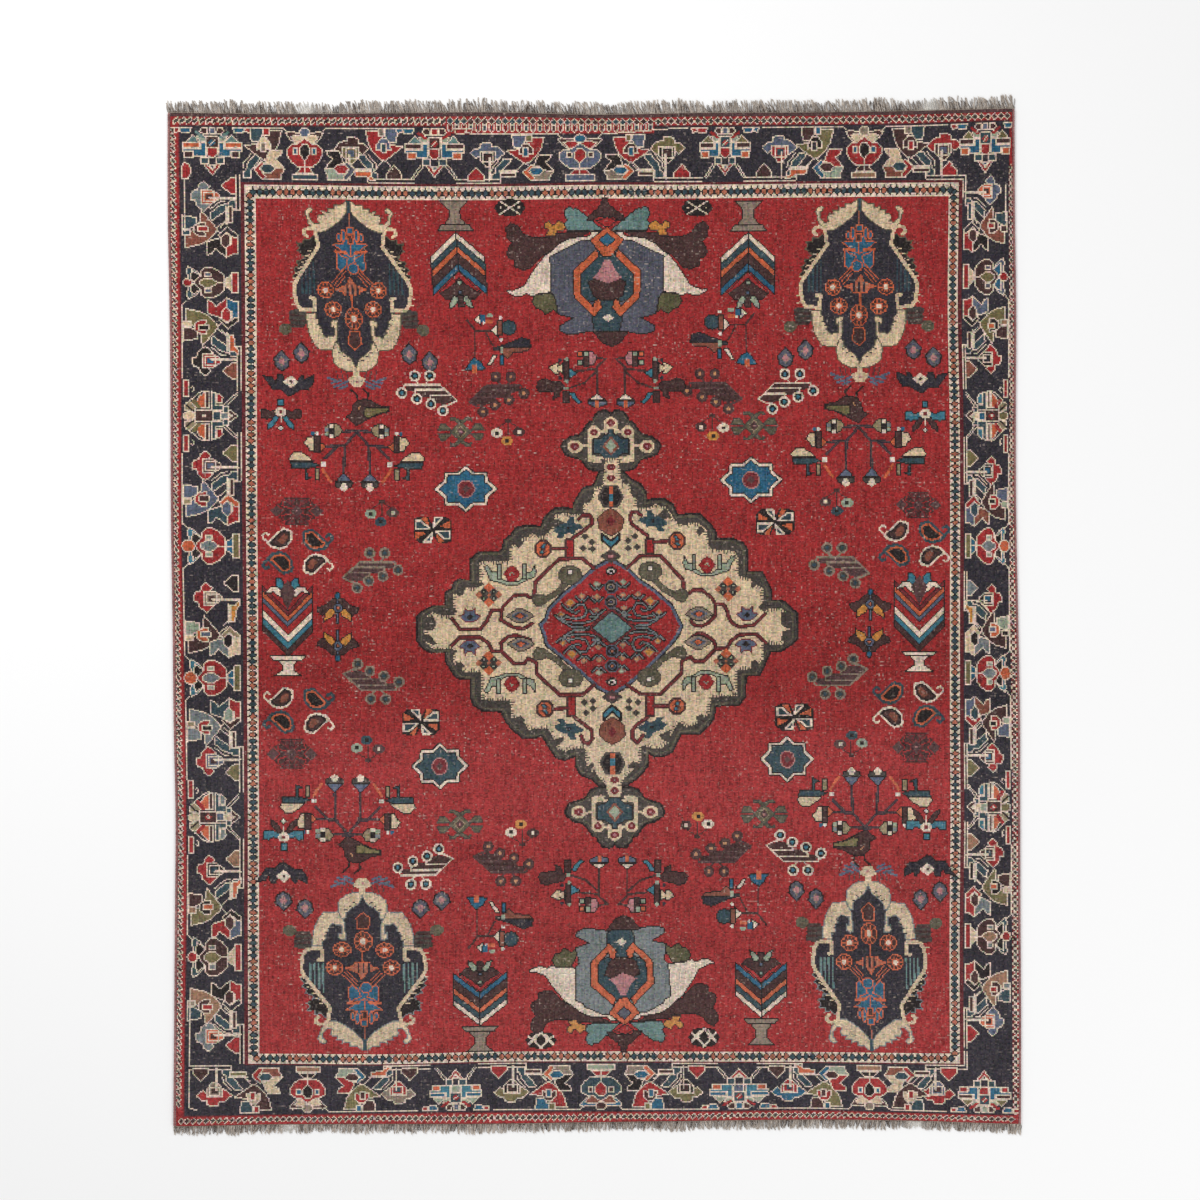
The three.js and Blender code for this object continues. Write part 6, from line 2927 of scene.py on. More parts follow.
@dataclass(frozen=True)
class KnottedWool(Finish):
    """Dyed wool knots, read from the chart that the faces carry.

    Attributes:
        scatter: How much one knot's shade differs from the next.
        fading: How far the lower part has faded.
        bare: How far worn knots show the foundation.
    """

    scatter: float = 0.44
    fading: float = 1.0
    bare: float = 0.78

    def material(self, lookup: bpy.types.NodeTree, age: bpy.types.NodeTree) -> bpy.types.Material:
        """Builds the material.

        Args:
            lookup: The knot lookup group.
            age: The aged wool group.

        Returns:
            The material.
        """
        material, graph = self.start()
        found = graph.add("ShaderNodeGroup", node_tree=lookup)
        aged = graph.add("ShaderNodeGroup", node_tree=age)
        for name in ("Wool", "Knot", "Within"):
            graph.feed(aged.inputs[name], found.outputs[name])
        for name, value in (("Scatter", self.scatter), ("Fading", self.fading), ("Bare", self.bare)):
            graph.feed(aged.inputs[name], value)
        return self.shade(aged.outputs["Colour"], aged.outputs["Height"], graph, material)


@dataclass(frozen=True)
class Yarn(Finish):
    """Undyed or faded spun yarn.

    Attributes:
        dark: Its darker colour, as sRGB bytes.
        light: Its lighter colour.
        patch: How many patches of colour there are to a metre.
        soil: How dirty it is.
        pale_warps: How far the few pale warps show.
        strands: How much one strand's colour differs from the next.
    """

    dark: tuple[int, int, int] = (96, 84, 78)
    light: tuple[int, int, int] = (160, 148, 138)
    patch: float = 12.0
    soil: float = 0.25
    pale_warps: float = 0.0
    strands: float = 0.22

    def material(self, spun: bpy.types.NodeTree) -> bpy.types.Material:
        """Builds the material from the spun yarn group.

        Args:
            spun: The spun yarn group.

        Returns:
            The material.
        """
        material, graph = self.start()
        yarn = graph.add("ShaderNodeGroup", node_tree=spun)
        for name, value in (("Dark", linear(self.dark)), ("Light", linear(self.light)),
                            ("Patch size", self.patch), ("Soil", self.soil),
                            ("Pale warps", self.pale_warps), ("Strands", self.strands)):
            graph.feed(yarn.inputs[name], value)
        return self.shade(yarn.outputs["Colour"], yarn.outputs["Height"], graph, material)


def add_object(name: str, mesh: bpy.types.Mesh) -> bpy.types.Object:
    """Links a mesh into the scene as an object at the origin."""
    made = bpy.data.objects.new(name, mesh)
    bpy.context.scene.collection.objects.link(made)
    return made


def geometry_tree(name: str, inputs: Sequence[tuple[str, str, object]]
                  ) -> tuple[Graph, bpy.types.Node, bpy.types.Node]:
    """Starts a geometry tree that takes a path and gives a mesh.

    Args:
        name: The tree's name.
        inputs: Each further input's name, socket kind and usual value.

    Returns:
        The graph to build in, its input node and its output node.
    """
    return group_tree(name, (("Path", GEOMETRY, None), *inputs), (("Mesh", GEOMETRY),),
                      "GeometryNodeTree")


def spread(graph: Graph, path: Socket, count: Socket) -> tuple[Socket, Socket]:
    """Turns a path into a curve.

    Args:
        graph: The geometry tree's graph.
        path: The path's mesh.
        count: How many points to spread along it.

    Returns:
        The curve, and the same curve with evenly spread points.
    """
    curve = graph.add("GeometryNodeMeshToCurve", {"Mesh": path}).outputs[0]
    places = graph.add("GeometryNodeResampleCurve", {"Curve": curve, "Count": count})
    return curve, places.outputs[0]


def stray(graph: Graph, low: Sequence[float], high: Sequence[float], seed: Feed) -> Socket:
    """Gives each instance a random vector between two."""
    feeds = {"Min": low, "Max": high, "Seed": seed}
    return graph.add("FunctionNodeRandomValue", feeds, data_type="FLOAT_VECTOR").outputs[0]


def close_tree(graph: Graph, instances: Socket, wool: Socket,
               outlet: bpy.types.Node) -> bpy.types.NodeTree:
    """Ends a geometry tree.

    Args:
        graph: The tree's graph.
        instances: What the tree has made.
        wool: The material.
        outlet: The tree's output node.

    Returns:
        The tree, which gives a plain mesh.
    """
    real = graph.add("GeometryNodeRealizeInstances", {"Geometry": instances})
    done = graph.add("GeometryNodeSetMaterial", {"Geometry": real.outputs[0], "Material": wool})
    graph.feed(outlet.inputs[0], done.outputs[0])
    return graph.tree


def mark_strands(graph: Graph, instances: Socket, seed: Socket) -> Socket:
    """Gives each instance a random number from -1 to 1, which its yarn's colour follows.

    Args:
        graph: The geometry tree's graph.
        instances: The instances.
        seed: The tree's seed.

    Returns:
        The marked instances.
    """
    chance = graph.add("FunctionNodeRandomValue", {2: -1.0, 3: 1.0, "Seed": seed}).outputs[1]
    feeds = {"Geometry": instances, "Name": "strand", "Value": chance}
    marked = graph.add("GeometryNodeStoreNamedAttribute", feeds, domain="INSTANCE")
    return marked.outputs[0]


def grow(name: str, path: Sequence[tuple[float, float, float]], tree: bpy.types.NodeTree,
         values: dict[str, object]) -> bpy.types.Object:
    """Runs a geometry tree along a path and keeps the result as a plain mesh.

    Args:
        name: The finished piece's name.
        path: The points that the tree follows.
        tree: The geometry tree.
        values: Its inputs by name.

    Returns:
        The finished object.
    """
    line = bpy.data.meshes.new(name + "_path")
    line.from_pydata(list(path), [(i, i + 1) for i in range(len(path) - 1)], [])
    carrier = add_object(name + "_path", line)
    modifier = carrier.modifiers.new("grow", "NODES")
    modifier.node_group = tree
    for item in tree.interface.items_tree:
        if item.in_out == "INPUT" and item.name in values:
            modifier[item.identifier] = values[item.name]
    bpy.context.view_layer.update()
    graph = bpy.context.evaluated_depsgraph_get()
    mesh = bpy.data.meshes.new_from_object(carrier.evaluated_get(graph))
    bpy.data.objects.remove(carrier)
    bpy.data.meshes.remove(line)
    mesh.name = name
    return add_object(name, mesh)


@dataclass(frozen=True)
class Ground:
    """Takes design units to the rug's place in the shared frame.

    Attributes:
        drift: How the weaving wanders from its chart.
        middle_x: Where the design's middle lies across the rug, in metres.
        middle_y: Where it lies along the rug, in metres.
    """

    drift: Drift
    middle_x: float
    middle_y: float

    @classmethod
    def under(cls, drift: Drift, node: str) -> Ground:
        """Centres the design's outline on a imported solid.

        Args:
            drift: How the weaving wanders.
            node: The solid's name.

        Returns:
            The ground.
        """
        low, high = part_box(node)
        share = np.linspace(0.0, 1.0, 201)
        edges = [smooth_at(thread.seen, share) * UNIT for thread in
                 (drift.warps[0], drift.warps[-1], drift.wefts[0], drift.wefts[-1])]
        over = (edges[0].min() + edges[1].max()) / 2
        along = (edges[2].min() + edges[3].max()) / 2
        return cls(drift, (low.x + high.x) / 2 - over, (low.y + high.y) / 2 - along)

    def lay(self, x: np.ndarray, y: np.ndarray) -> tuple[np.ndarray, np.ndarray]:
        """Gives the places in metres of points on the chart."""
        seen_x, seen_y = self.drift.seen(x, y)
        return seen_x * UNIT + self.middle_x, seen_y * UNIT + self.middle_y

    def side(self, right: bool, out: float, count: int = 160) -> np.ndarray:
        """Follows one long edge of the pile from the lower end to the upper one.

        Args:
            right: Whether it is the right edge.
            out: How far outside the edge the line runs, in metres.
            count: How many points it has.

        Returns:
            The points across and along the rug, in metres.
        """
        along = np.linspace(-self.drift.half_length, self.drift.half_length, count)
        x, y = self.lay(np.full(count, self.drift.warps[-1 if right else 0].chart), along)
        return np.stack([x + (out if right else -out), y], axis=1)

    def end(self, upper: bool, out: float, wide: float = 0.0, count: int = 220) -> np.ndarray:
        """Follows one end of the pile from left to right.

        Args:
            upper: Whether it is the upper end.
            out: How far outside the end the line runs, in metres.
            wide: How far it reaches past both long edges, in metres.
            count: How many points it has.

        Returns:
            The points across and along the rug, in metres.
        """
        warps = self.drift.warps
        over = np.linspace(warps[0].chart, warps[-1].chart, count)
        weft = self.drift.wefts[-1 if upper else 0].chart
        x, y = self.lay(over, np.full(count, weft))
        reach = 1 + 2 * wide / (x[-1] - x[0])
        x = (x - x.mean()) * reach + x.mean()
        return np.stack([x, y + (out if upper else -out)], axis=1)


SEAM = 0.00005  # between the pile's part and the back's


@dataclass
class KnottedRug:
    """The knotted cloth: its pile above and its ribbed back below.

    Attributes:
        chart: The pattern in knots.
        ground: Where it lies.
        lookup: How the faces carry the knots.
        pile_top: The pile's height over the floor, in metres.
        back_top: The height where the pile's part begins.
        edge_drop: How much lower the pile is at its very edge.
        wave: How much the pile's height varies where feet have worn it.
    """

    chart: KnotChart
    ground: Ground
    lookup: KnotLookup = field(default_factory=KnotLookup)
    pile_top: float = 0.0059
    back_top: float = 0.0012
    edge_drop: float = 0.0011
    wave: float = 0.0004

    def _grid(self) -> tuple[np.ndarray, np.ndarray, np.ndarray, np.ndarray]:
        """Lays out the corners of the faces, in knots and in metres.

        Returns:
            Columns, rows, and the places across and along the rug.
        """
        over = self.chart.columns // self.lookup.columns
        along = self.chart.rows // self.lookup.rows
        columns, rows = np.meshgrid(np.arange(over + 1) * self.lookup.columns,
                                    np.arange(along + 1) * self.lookup.rows)
        x = self.chart.left + columns * self.chart.knot_width
        y = self.chart.lower + rows * self.chart.knot_height
        place_x, place_y = self.ground.lay(x.ravel(), y.ravel())
        return columns, rows, place_x.reshape(x.shape), place_y.reshape(x.shape)

    def _heights(self, x: np.ndarray, y: np.ndarray) -> np.ndarray:
        """Gives the pile's worn and slowly waving height.

        Args:
            x: The corners' places across the rug, in metres.
            y: Their places along it.

        Returns:
            The height at each corner, in metres.
        """
        wave = (np.sin(3.1 * x + 1.3 * np.sin(2.2 * y)) * np.sin(2.7 * y + 0.8)
                + 0.5 * np.sin(9.7 * x + 4.1 * y) * np.sin(7.9 * y - 3.3 * x))
        height = self.pile_top - self.wave * (0.75 - 0.5 * wave)
        for edge in (0, -1):
            height[edge] -= self.edge_drop
            height[:, edge] -= self.edge_drop
        return height

    def _slab(self, name: str, face_z: np.ndarray, far_z: float,
              upward: bool) -> bpy.types.Mesh:
        """Builds a closed slab whose one face carries the knots.

        Args:
            name: The mesh's name.
            face_z: The patterned face's heights.
            far_z: The height of the plain face.
            upward: Whether the patterned face looks up.

        Returns:
            The mesh, with the knots' attributes and a UV map.
        """
        columns, rows, x, y = self._grid()
        tall, wide = x.shape
        index = np.arange(tall * wide).reshape(tall, wide)
        quads = np.stack([index[:-1, :-1], index[:-1, 1:], index[1:, 1:], index[1:, :-1]], axis=-1)
        loop = np.concatenate([index[0, :-1], index[:-1, -1], index[-1, :0:-1], index[:0:-1, 0]])
        far = np.arange(loop.size) + index.size
        rim = np.stack([far, np.roll(far, -1), np.roll(loop, -1), loop], axis=-1)
        block = np.arange((tall - 1) * (wide - 1)).reshape(tall - 1, wide - 1)
        beside = np.concatenate([block[0], block[:, -1], block[-1, ::-1], block[::-1, 0]])
        faces = np.concatenate([quads.reshape(-1, 4), rim])
        cap = far[::-1]
        if not upward:
            faces = faces[:, ::-1]
            cap = far
        points = np.concatenate([
            np.stack([x.ravel(), y.ravel(), face_z.ravel()], axis=1),
            np.stack([x.ravel()[loop], y.ravel()[loop], np.full(loop.size, far_z)], axis=1)])
        mesh = bpy.data.meshes.new(name)
        mesh.from_pydata(points.tolist(), [], faces.tolist() + [cap.tolist()])
        knots = np.stack([columns.ravel(), rows.ravel()], axis=1)
        knots = np.concatenate([knots, knots[loop]])
        corners = np.concatenate([faces.ravel(), cap])
        self._carry(mesh, knots[corners], np.concatenate([block.ravel(), beside, [0]]))
        self._map(mesh, knots, corners, rim.size, loop.size)
        return mesh

    def _carry(self, mesh: bpy.types.Mesh, knots: np.ndarray, source: np.ndarray) -> None:
        """Writes the knots onto the faces.

        Args:
            mesh: The slab.
            knots: Column and row at each face corner.
            source: Which block of the chart each face carries.
        """
        digits = self.lookup.pack(self.chart.codes)
        over = digits.shape[2]
        row, column = source // over, source % over
        values = digits[row, :, column]
        first = np.stack([column * self.lookup.columns, row * self.lookup.rows,
                          np.zeros(source.size)], axis=1)
        place = np.concatenate([knots, np.zeros((len(knots), 1))], axis=1)
        for name, data, domain in (
                *((layer, values[:, 3 * number:3 * number + 3], "FACE")
                  for number, layer in enumerate(self.lookup.layers)),
                ("block", first, "FACE"), ("knot", place, "CORNER")):
            attribute = mesh.attributes.new(name, "FLOAT_VECTOR", domain)
            attribute.data.foreach_set("vector", np.ascontiguousarray(data, np.float32).ravel())

    def _map(self, mesh: bpy.types.Mesh, knots: np.ndarray, corners: np.ndarray, rim: int,
             loop: int) -> None:
        """Lays out the slab's UV map: the patterned face large, the rim and far side in a margin.

        Args:
            mesh: The slab.
            knots: Column and row of each vertex.
            corners: The vertex at each face corner.
            rim: How many corners the rim has.
            loop: How many vertices go round the rim.
        """
        margin, far_start, far_size = 0.02, 0.002, 0.012
        rim_start, rim_size, rim_low, rim_high = 0.03, 0.96, 0.004, 0.009
        flat = knots / (self.chart.columns, self.chart.rows)
        uv = margin + flat[corners] * (1 - margin)
        last = len(corners) - loop
        steps = np.arange(rim // 4)
        along = np.stack([steps, steps + 1, steps + 1, steps], axis=1) / steps.size
        uv[last - rim:last, 0] = rim_start + rim_size * along.ravel()
        uv[last - rim:last, 1] = np.tile([rim_low, rim_low, rim_high, rim_high], steps.size)
        uv[last:] = far_start + far_size * flat[corners[last:]]
        layer = mesh.uv_layers.new(name="UVMap")
        layer.data.foreach_set("uv", np.ascontiguousarray(uv, np.float32).ravel())

    def build(self, pile: bpy.types.Material, back: bpy.types.Material
              ) -> tuple[bpy.types.Object, bpy.types.Object]:
        """Builds the pile and the back.

        Args:
            pile: The knotted wool's material.
            back: The back's material.

        Returns:
            The pile's object and the back's.
        """
        _, _, x, y = self._grid()
        top = add_object("knotted_pile", self._slab("knotted_pile", self._heights(x, y),
                                                    self.back_top, True))
        under = add_object("knotted_back", self._slab("knotted_back", np.zeros_like(x),
                                                      self.back_top - SEAM, False))
        for made, material in ((top, pile), (under, back)):
            made.data.materials.append(material)
            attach(made, "root")
            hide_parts("rug_pile")
            LOG.info("%s: %d faces", made.name, len(made.data.polygons))
        return top, under


def build_overcasting() -> bpy.types.NodeTree:
    """Builds the tree that wraps a yarn round and round a core along a path.

    Returns:
        The geometry tree.
    """
    graph, inlet, outlet = geometry_tree("overcasting", (
        ("Wraps", COUNT, 800), ("Width", FLOAT, 0.007), ("Height", FLOAT, 0.0065),
        ("Yarn", FLOAT, 0.0026), ("Slant", FLOAT, 0.2), ("Wool", MATERIAL, None),
        ("Seed", COUNT, 1)))
    given = {socket.name: socket for socket in inlet.outputs}
    path, places = spread(graph, given["Path"], given["Wraps"])
    radius = graph.math("MULTIPLY", given["Yarn"], 0.5)
    oval = graph.add("GeometryNodeCurvePrimitiveCircle", {"Resolution": 10, "Radius": 1.0})
    reach = [graph.math("SUBTRACT", graph.math("MULTIPLY", given[name], 0.5), radius)
             for name in ("Width", "Height")]
    turned = graph.add("GeometryNodeTransform", {
        "Geometry": oval.outputs[0], "Rotation": (math.pi / 2, 0.0, 0.0),
        "Scale": graph.join(reach[0], reach[1], 1.0)})
    yarn = graph.add("GeometryNodeCurvePrimitiveCircle", {"Resolution": 4, "Radius": radius})
    wrap = graph.add("GeometryNodeCurveToMesh", {"Curve": turned.outputs[0],
                                                 "Profile Curve": yarn.outputs[0]})
    tangent = graph.add("GeometryNodeInputTangent").outputs[0]
    facing = graph.add("FunctionNodeAlignRotationToVector", {"Vector": tangent}, axis="Y")
    chance = stray(graph, (-0.05, -0.08, -0.09), (0.05, 0.08, 0.09), given["Seed"])
    placed = graph.add("GeometryNodeInstanceOnPoints", {
        "Points": places, "Instance": wrap.outputs[0], "Rotation": facing.outputs[0]})
    slant = graph.vector("ADD", chance, graph.join(0.0, 0.0, given["Slant"]))
    leaned = graph.add("GeometryNodeRotateInstances", {"Instances": placed.outputs[0],
                                                       "Rotation": slant})
    core_side = graph.add("GeometryNodeCurvePrimitiveCircle",
                          {"Resolution": 8, "Radius": graph.math("MULTIPLY", reach[0], 0.92)})
    core = graph.add("GeometryNodeCurveToMesh", {"Curve": path, "Profile Curve": core_side.outputs[0],
                                                 "Fill Caps": True})
    marked = mark_strands(graph, leaned.outputs[0], given["Seed"])
    both = graph.add("GeometryNodeJoinGeometry")
    graph.tree.links.new(marked, both.inputs[0])
    graph.tree.links.new(core.outputs[0], both.inputs[0])
    return close_tree(graph, both.outputs[0], given["Wool"], outlet)


GAP = 0.0003  # between the pile's edge and what is worked beside it
LIFT = 0.0001  # under the selvedges
ROUNDED_END = 0.3  # how far the last wrap stays back, as a share of the width


@dataclass(frozen=True)
class Selvedge:
    """A long side overcast with wool.

    Attributes:
        node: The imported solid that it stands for.
        right: Whether it is on the right.
        width: Its width, in metres.
        height: Its thickness, in metres.
        wraps: How many turns of yarn there are.
    """

    node: str
    right: bool
    width: float
    height: float = 0.0064
    wraps: int = 860

    def build(self, ground: Ground, tree: bpy.types.NodeTree,
              wool: bpy.types.Material) -> bpy.types.Object:
        """Builds the overcast edge.

        Args:
            ground: Where the rug lies.
            tree: The overcasting tree.
            wool: The yarn's material.

        Returns:
            The finished object.
        """
        line = ground.side(self.right, GAP + self.width / 2)
        line[0, 1] += self.width * ROUNDED_END
        line[-1, 1] -= self.width * ROUNDED_END
        path = [(x, y, self.height / 2 + LIFT) for x, y in line]
        made = grow("overcast_" + ("right" if self.right else "left"), path, tree, {
            "Wraps": self.wraps, "Width": self.width, "Height": self.height, "Yarn": 0.0028,
            "Slant": -0.22 if self.right else 0.22, "Wool": wool, "Seed": 4 + self.right})
        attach(made, "root")
        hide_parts(self.node)
        LOG.info("%s: %d wraps", made.name, self.wraps)
        return made


YARN_BENDS = ((0.14, 0.02), (-0.16, 0.05), (0.06, -0.14), (-0.05, 0.16))  # bend, tip's place


def build_warp_ends() -> bpy.types.NodeTree:
    """Builds the tree that lays cut warp ends side by side along a path.

    Returns:
        The geometry tree.
    """
    graph, inlet, outlet = geometry_tree("warp ends", (
        ("Strands", COUNT, 700), ("Length", FLOAT, 0.024), ("Shortest", FLOAT, 0.6),
        ("Longest", FLOAT, 1.2), ("Yarn", FLOAT, 0.0011), ("Turn", FLOAT, 0.0),
        ("Lean", FLOAT, 0.35), ("Comb", FLOAT, 0.2), ("Wool", MATERIAL, None),
        ("Seed", COUNT, 1)))
    given = {socket.name: socket for socket in inlet.outputs}
    _, places = spread(graph, given["Path"], given["Strands"])
    side = graph.math("DIVIDE", graph.math("MULTIPLY", given["Yarn"], 0.5), given["Length"])
    profile = graph.add("GeometryNodeCurvePrimitiveCircle", {"Resolution": 4, "Radius": side})
    kinds = graph.add("GeometryNodeJoinGeometry")
    for bend, tip in YARN_BENDS:
        strand = graph.add("GeometryNodeCurvePrimitiveBezierSegment", {
            "Resolution": 4, "Start": (0.0, 0.0, 0.0), "Start Handle": (bend, 0.35, 0.02),
            "End Handle": (-bend, 0.65, 0.0), "End": (tip, 1.0, -0.01)})
        thin = graph.add("GeometryNodeSetCurveRadius", {
            "Curve": strand.outputs[0], "Radius": graph.ramp(
                graph.add("GeometryNodeSplineParameter").outputs[0], 0.5, 1.0, 1.0, 0.55)})
        yarn = graph.add("GeometryNodeCurveToMesh", {"Curve": thin.outputs[0], "Fill Caps": True,
                                                     "Profile Curve": profile.outputs[0]})
        single = graph.add("GeometryNodeGeometryToInstance", {0: yarn.outputs[0]})
        graph.tree.links.new(single.outputs[0], kinds.inputs[0])
    length = graph.add("FunctionNodeRandomValue", {2: given["Shortest"], 3: given["Longest"],
                                                   "Seed": given["Seed"]}).outputs[1]
    where = graph.add("GeometryNodeInputPosition").outputs[0]
    over = graph.vector("MULTIPLY", where, (1.0, 0.0, 0.0))
    tuft = graph.noise(over, 34.0, 3.0, 0.6)
    slow = graph.noise(over, 9.0, 1.0)
    lean = graph.math("MULTIPLY_ADD", graph.ramp(tuft, 0.3, 0.7, -1, 1), given["Lean"], given["Comb"])
    chance = stray(graph, (-0.035, -0.08, -0.2), (0.015, 0.08, 0.2),
                   graph.math("ADD", given["Seed"], 3.0))
    turn = graph.vector("ADD", chance, graph.join(0.0, 0.0, graph.math("ADD", lean, given["Turn"])))
    pick = graph.add("FunctionNodeRandomValue", {
        "Min": 0, "Max": len(YARN_BENDS) - 1, "Seed": given["Seed"]}, data_type="INT")
    reach = graph.math("MULTIPLY", graph.math("MULTIPLY", given["Length"], length),
                       graph.ramp(slow, 0.3, 0.7, 0.82, 1.15))
    placed = graph.add("GeometryNodeInstanceOnPoints", {
        "Points": places, "Instance": kinds.outputs[0], "Pick Instance": True,
        "Rotation": turn, "Scale": reach})
    graph.feed(placed.inputs["Instance Index"], pick.outputs[2])
    lift = stray(graph, (0.0, -0.0004, 0.0), (0.0, 0.0004, 0.0012),
                 graph.math("ADD", given["Seed"], 9.0))
    moved = graph.add("GeometryNodeTranslateInstances", {"Instances": placed.outputs[0],
                                                         "Translation": lift,
                                                         "Local Space": False})
    marked = mark_strands(graph, moved.outputs[0], given["Seed"])
    return close_tree(graph, marked, given["Wool"], outlet)


@dataclass(frozen=True)
class EndLine:
    """A line that runs along an end of the rug.

    Attributes:
        out: How far outside the pile's edge it runs, in metres.
        height: Its height over the floor.
        past: How far it reaches past the pile's corners.
    """

    out: float
    height: float
    past: float

    def follow(self, ground: Ground, upper: bool) -> list[tuple[float, float, float]]:
        """Gives the line's points at the upper or the lower end."""
        return [(x, y, self.height) for x, y in ground.end(upper, self.out, self.past)]


CORD_LINE = EndLine(0.0014, 0.0024, 0.005)
ROOT_LINE = EndLine(0.0022, 0.0019, 0.0055)
HIDDEN_ROOT = 0.002  # how much of a warp end lies under the cord
BAND_PAST = 0.006  # how far the bands reach past the pile's corners


@dataclass(frozen=True)
class EndFinish:
    """One end of the rug: a flat-woven band, a twined cord and the cut warp ends.

    Attributes:
        node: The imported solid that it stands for.
        upper: Whether it is the upper end.
        length: The fringe's usual length past the band, in metres.
        band: The band's width.
        strands: How many warp ends show.
    """

    node: str
    upper: bool
    length: float
    band: float = 0.005
    strands: int = 1150

    def _band_mesh(self, ground: Ground, name: str) -> bpy.types.Mesh:
        """Builds the band as a closed strip, thin at its outer edge.

        Args:
            ground: Where the rug lies.
            name: The mesh's name.

        Returns:
            The mesh.
        """
        section = ((GAP, 0.0), (self.band, 0.0001), (self.band, 0.0006), (0.0028, 0.0011),
                   (GAP, 0.0016))
        rings = [ground.end(self.upper, out, BAND_PAST) for out, _ in section]
        count = len(rings[0])
        points = [(ring[step][0], ring[step][1], height) for step in range(count)
                  for ring, (_, height) in zip(rings, section)]
        sides = len(section)
        faces = []
        for here in range(0, (count - 1) * sides, sides):
            for j in range(sides):
                k = (j + 1) % sides
                faces.append((here + j, here + k, here + sides + k, here + sides + j))
        faces.append(tuple(reversed(range(sides))))
        faces.append(tuple((count - 1) * sides + j for j in range(sides)))
        if not self.upper:
            faces = [tuple(reversed(face)) for face in faces]
        mesh = bpy.data.meshes.new(name)
        mesh.from_pydata(points, [], faces)
        return mesh

    def build(self, ground: Ground, cord: bpy.types.NodeTree, ends: bpy.types.NodeTree,
              yarn: bpy.types.Material, pale: bpy.types.Material) -> list[bpy.types.Object]:
        """Builds the band, the cord and the fringe.

        Args:
            ground: Where the rug lies.
            cord: The overcasting tree, which also twines the cord.
            ends: The warp ends' tree.
            yarn: The warp yarn's material.
            pale: The cord's material.

        Returns:
            The finished objects.
        """
        word = "upper" if self.upper else "lower"
        band = add_object("end_band_" + word, self._band_mesh(ground, "end_band_" + word))
        band.data.materials.append(yarn)
        twined = grow("twined_cord_" + word, CORD_LINE.follow(ground, self.upper), cord, {
            "Wraps": 700, "Width": 0.0023, "Height": 0.0024, "Yarn": 0.0012, "Slant": 0.7,
            "Wool": pale, "Seed": 11 + self.upper})
        fringe = grow("warp_fringe_" + word, ROOT_LINE.follow(ground, self.upper), ends, {
            "Strands": self.strands, "Length": self.length + HIDDEN_ROOT, "Shortest": 0.62,
            "Longest": 1.15, "Yarn": 0.0018, "Turn": 0.0 if self.upper else math.pi, "Lean": 0.42,
            "Comb": 0.22 if self.upper else -0.08, "Wool": yarn, "Seed": 21 + self.upper})
        made = [band, twined, fringe]
        for piece in made:
            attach(piece, "root")
            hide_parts(self.node)
            LOG.info("%s: %d faces", piece.name, len(piece.data.polygons))
        return made


LAMPS = (
    # name, place and power in watts
    ("key", (-2.4, 2.6, 3.6), 105.0),
    ("fill", (2.8, -2.2, 3.8), 60.0),
)
WHITE_LIGHT = (1.0, 1.0, 1.0, 1.0)
PALE_PAINT = (0.93, 0.93, 0.93, 1.0)


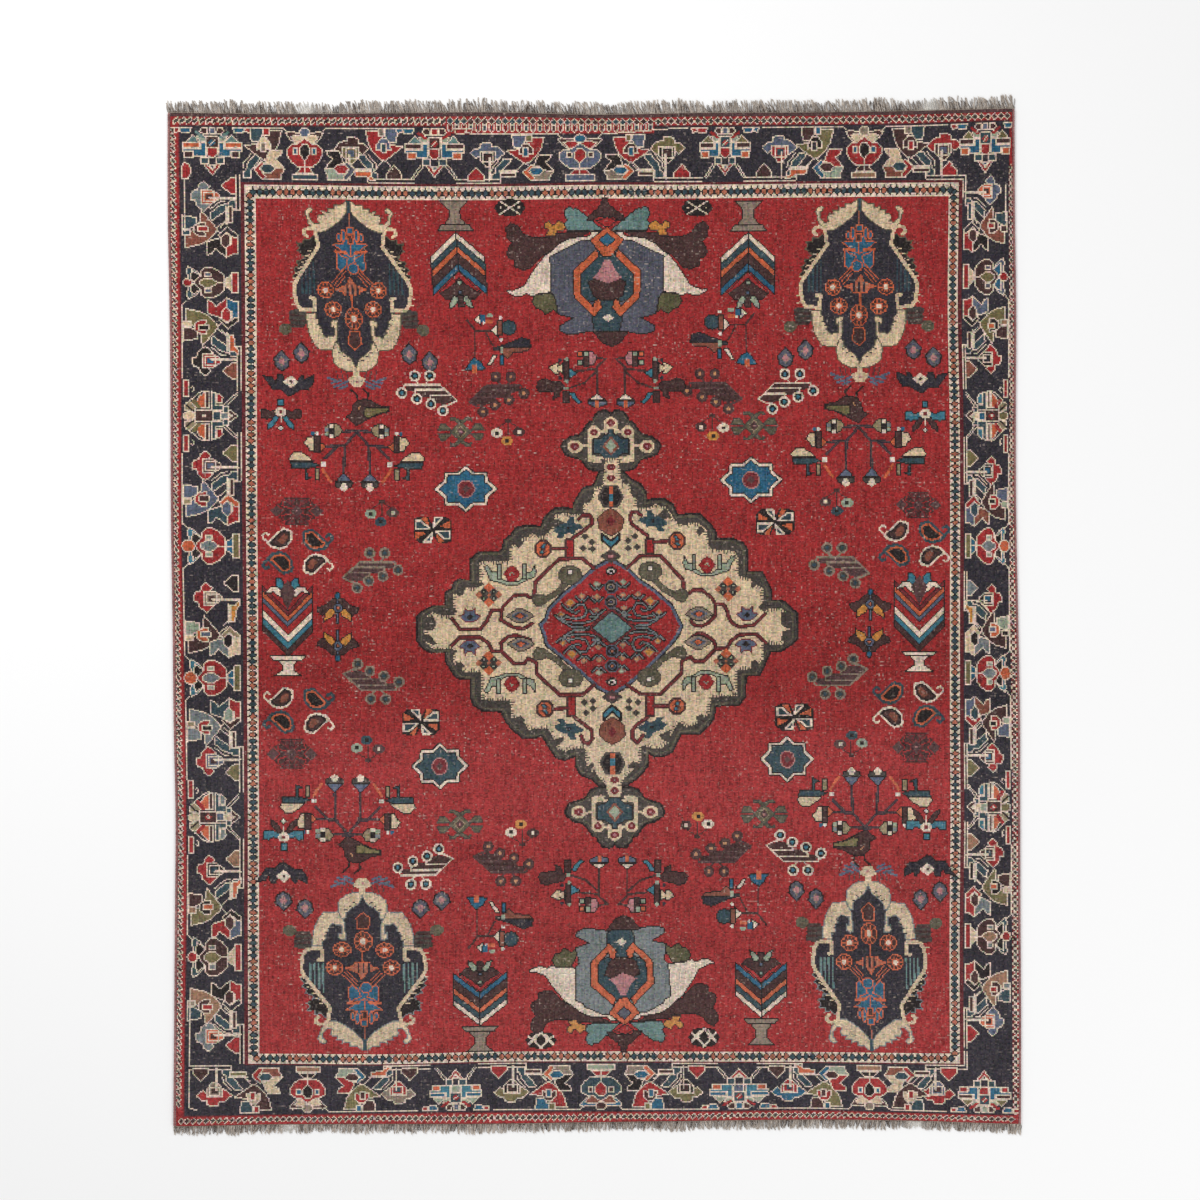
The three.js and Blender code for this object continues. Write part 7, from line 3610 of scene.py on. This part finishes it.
@dataclass(frozen=True)
class Studio:
    """The plain floor, the soft lights and the camera straight above.

    Attributes:
        frame_width: How much of the floor the picture takes in, in metres.
        lens: The camera's focal length, in millimetres.
        sensor: The camera's sensor width, in millimetres.
        aim: Where the camera looks, in design units from the design's middle.
        floor_half: Half of the floor's width, in metres.
        floor_level: The floor's height.
        lamp_size: The lamps' width.
        sky: The backdrop's brightness.
    """

    frame_width: float = 2.70
    lens: float = 85.0
    sensor: float = 36.0
    aim: Point = (6, 18)
    floor_half: float = 6.0
    floor_level: float = -0.0003
    lamp_size: float = 2.4
    sky: float = 0.62

    def build(self, ground: Ground) -> None:
        """Builds the floor, lights, backdrop and camera.

        Args:
            ground: Where the rug lies.
        """
        self._floor()
        self._lights()
        self._camera(ground)
        world = bpy.data.worlds.new("studio")
        world.use_nodes = True
        backdrop = world.node_tree.nodes["Background"]
        backdrop.inputs["Color"].default_value = WHITE_LIGHT
        backdrop.inputs["Strength"].default_value = self.sky
        bpy.context.scene.world = world
        bpy.context.scene.view_settings.view_transform = "Standard"

    def _floor(self) -> None:
        """Lays a pale floor just under the rug."""
        mesh = bpy.data.meshes.new("floor")
        corners = [(x * self.floor_half, y * self.floor_half, self.floor_level)
                   for x, y in ((-1, -1), (1, -1), (1, 1), (-1, 1))]
        mesh.from_pydata(corners, [], [(0, 1, 2, 3)])
        floor = add_object("floor", mesh)
        material = bpy.data.materials.new("floor paint")
        material.use_nodes = True
        shader = material.node_tree.nodes["Principled BSDF"]
        shader.inputs["Base Color"].default_value = PALE_PAINT
        shader.inputs["Roughness"].default_value = 0.9
        mesh.materials.append(material)

    def _lights(self) -> None:
        """Hangs two broad soft lights beside the camera's view."""
        for name, place, watts in LAMPS:
            light = bpy.data.lights.new(name, "AREA")
            light.shape = "DISK"
            light.size = self.lamp_size
            light.energy = watts
            lamp = bpy.data.objects.new(name, light)
            lamp.location = place
            lamp.rotation_mode = "QUATERNION"
            way = -lamp.location.normalized()
            lamp.rotation_quaternion = way.to_track_quat("-Z", "Y")
            bpy.context.scene.collection.objects.link(lamp)

    def _camera(self, ground: Ground) -> None:
        """Hangs the camera over the picture's middle.

        Args:
            ground: Where the rug lies.
        """
        camera = bpy.data.cameras.new("above")
        camera.lens = self.lens
        camera.sensor_width = self.sensor
        eye = bpy.data.objects.new("above", camera)
        height = self.frame_width * self.lens / self.sensor
        eye.location = (ground.middle_x + self.aim[0] * UNIT,
                        ground.middle_y + self.aim[1] * UNIT, height)
        bpy.context.scene.collection.objects.link(eye)
        bpy.context.scene.camera = eye


def draw_chart() -> KnotChart:
    """Draws the whole rug's pattern.

    Returns:
        The chart.
    """
    chart = KnotChart()
    Border(chart).draw()
    draw_field(chart)
    draw_medallion(chart)
    return chart


def main() -> None:
    """Builds the rug and its studio."""
    logging.basicConfig(level=logging.INFO, format="%(name)s: %(message)s")
    chart = draw_chart()
    ground = Ground.under(chart.drift, "rug_pile")
    Studio().build(ground)
    lookup, age, spun = KnotLookup().build(), build_wool_age(), build_spun_yarn()
    pile = KnottedWool("pile wool").material(lookup, age)
    back = KnottedWool("back wool", relief=0.0004, scatter=0.16, fading=0.3,
                       bare=0.2).material(lookup, age)
    rose = Yarn("faded rose yarn", dark=(150, 100, 100), light=(190, 142, 138)).material(spun)
    grey = Yarn("warp yarn", dark=(82, 68, 60), light=(206, 194, 182), patch=34.0, soil=0.2,
                pale_warps=0.9, strands=0.3).material(spun)
    pale = Yarn("pale warp yarn", dark=(160, 142, 128), light=(214, 200, 186), patch=34.0,
                soil=0.15).material(spun)
    top, under = KnottedRug(chart, ground).build(pile, back)
    overcasting, warp_ends = build_overcasting(), build_warp_ends()
    trims = [selvedge.build(ground, overcasting, rose) for selvedge in (
        Selvedge("selvedge_left", right=False, width=0.0068),
        Selvedge("selvedge_right", right=True, width=0.0058))]
    for finish in (EndFinish("fringe_upper", upper=True, length=0.024),
                   EndFinish("fringe_lower", upper=False, length=0.017)):
        trims.extend(finish.build(ground, overcasting, warp_ends, grey, pale))


if __name__ == "__main__":
    main()
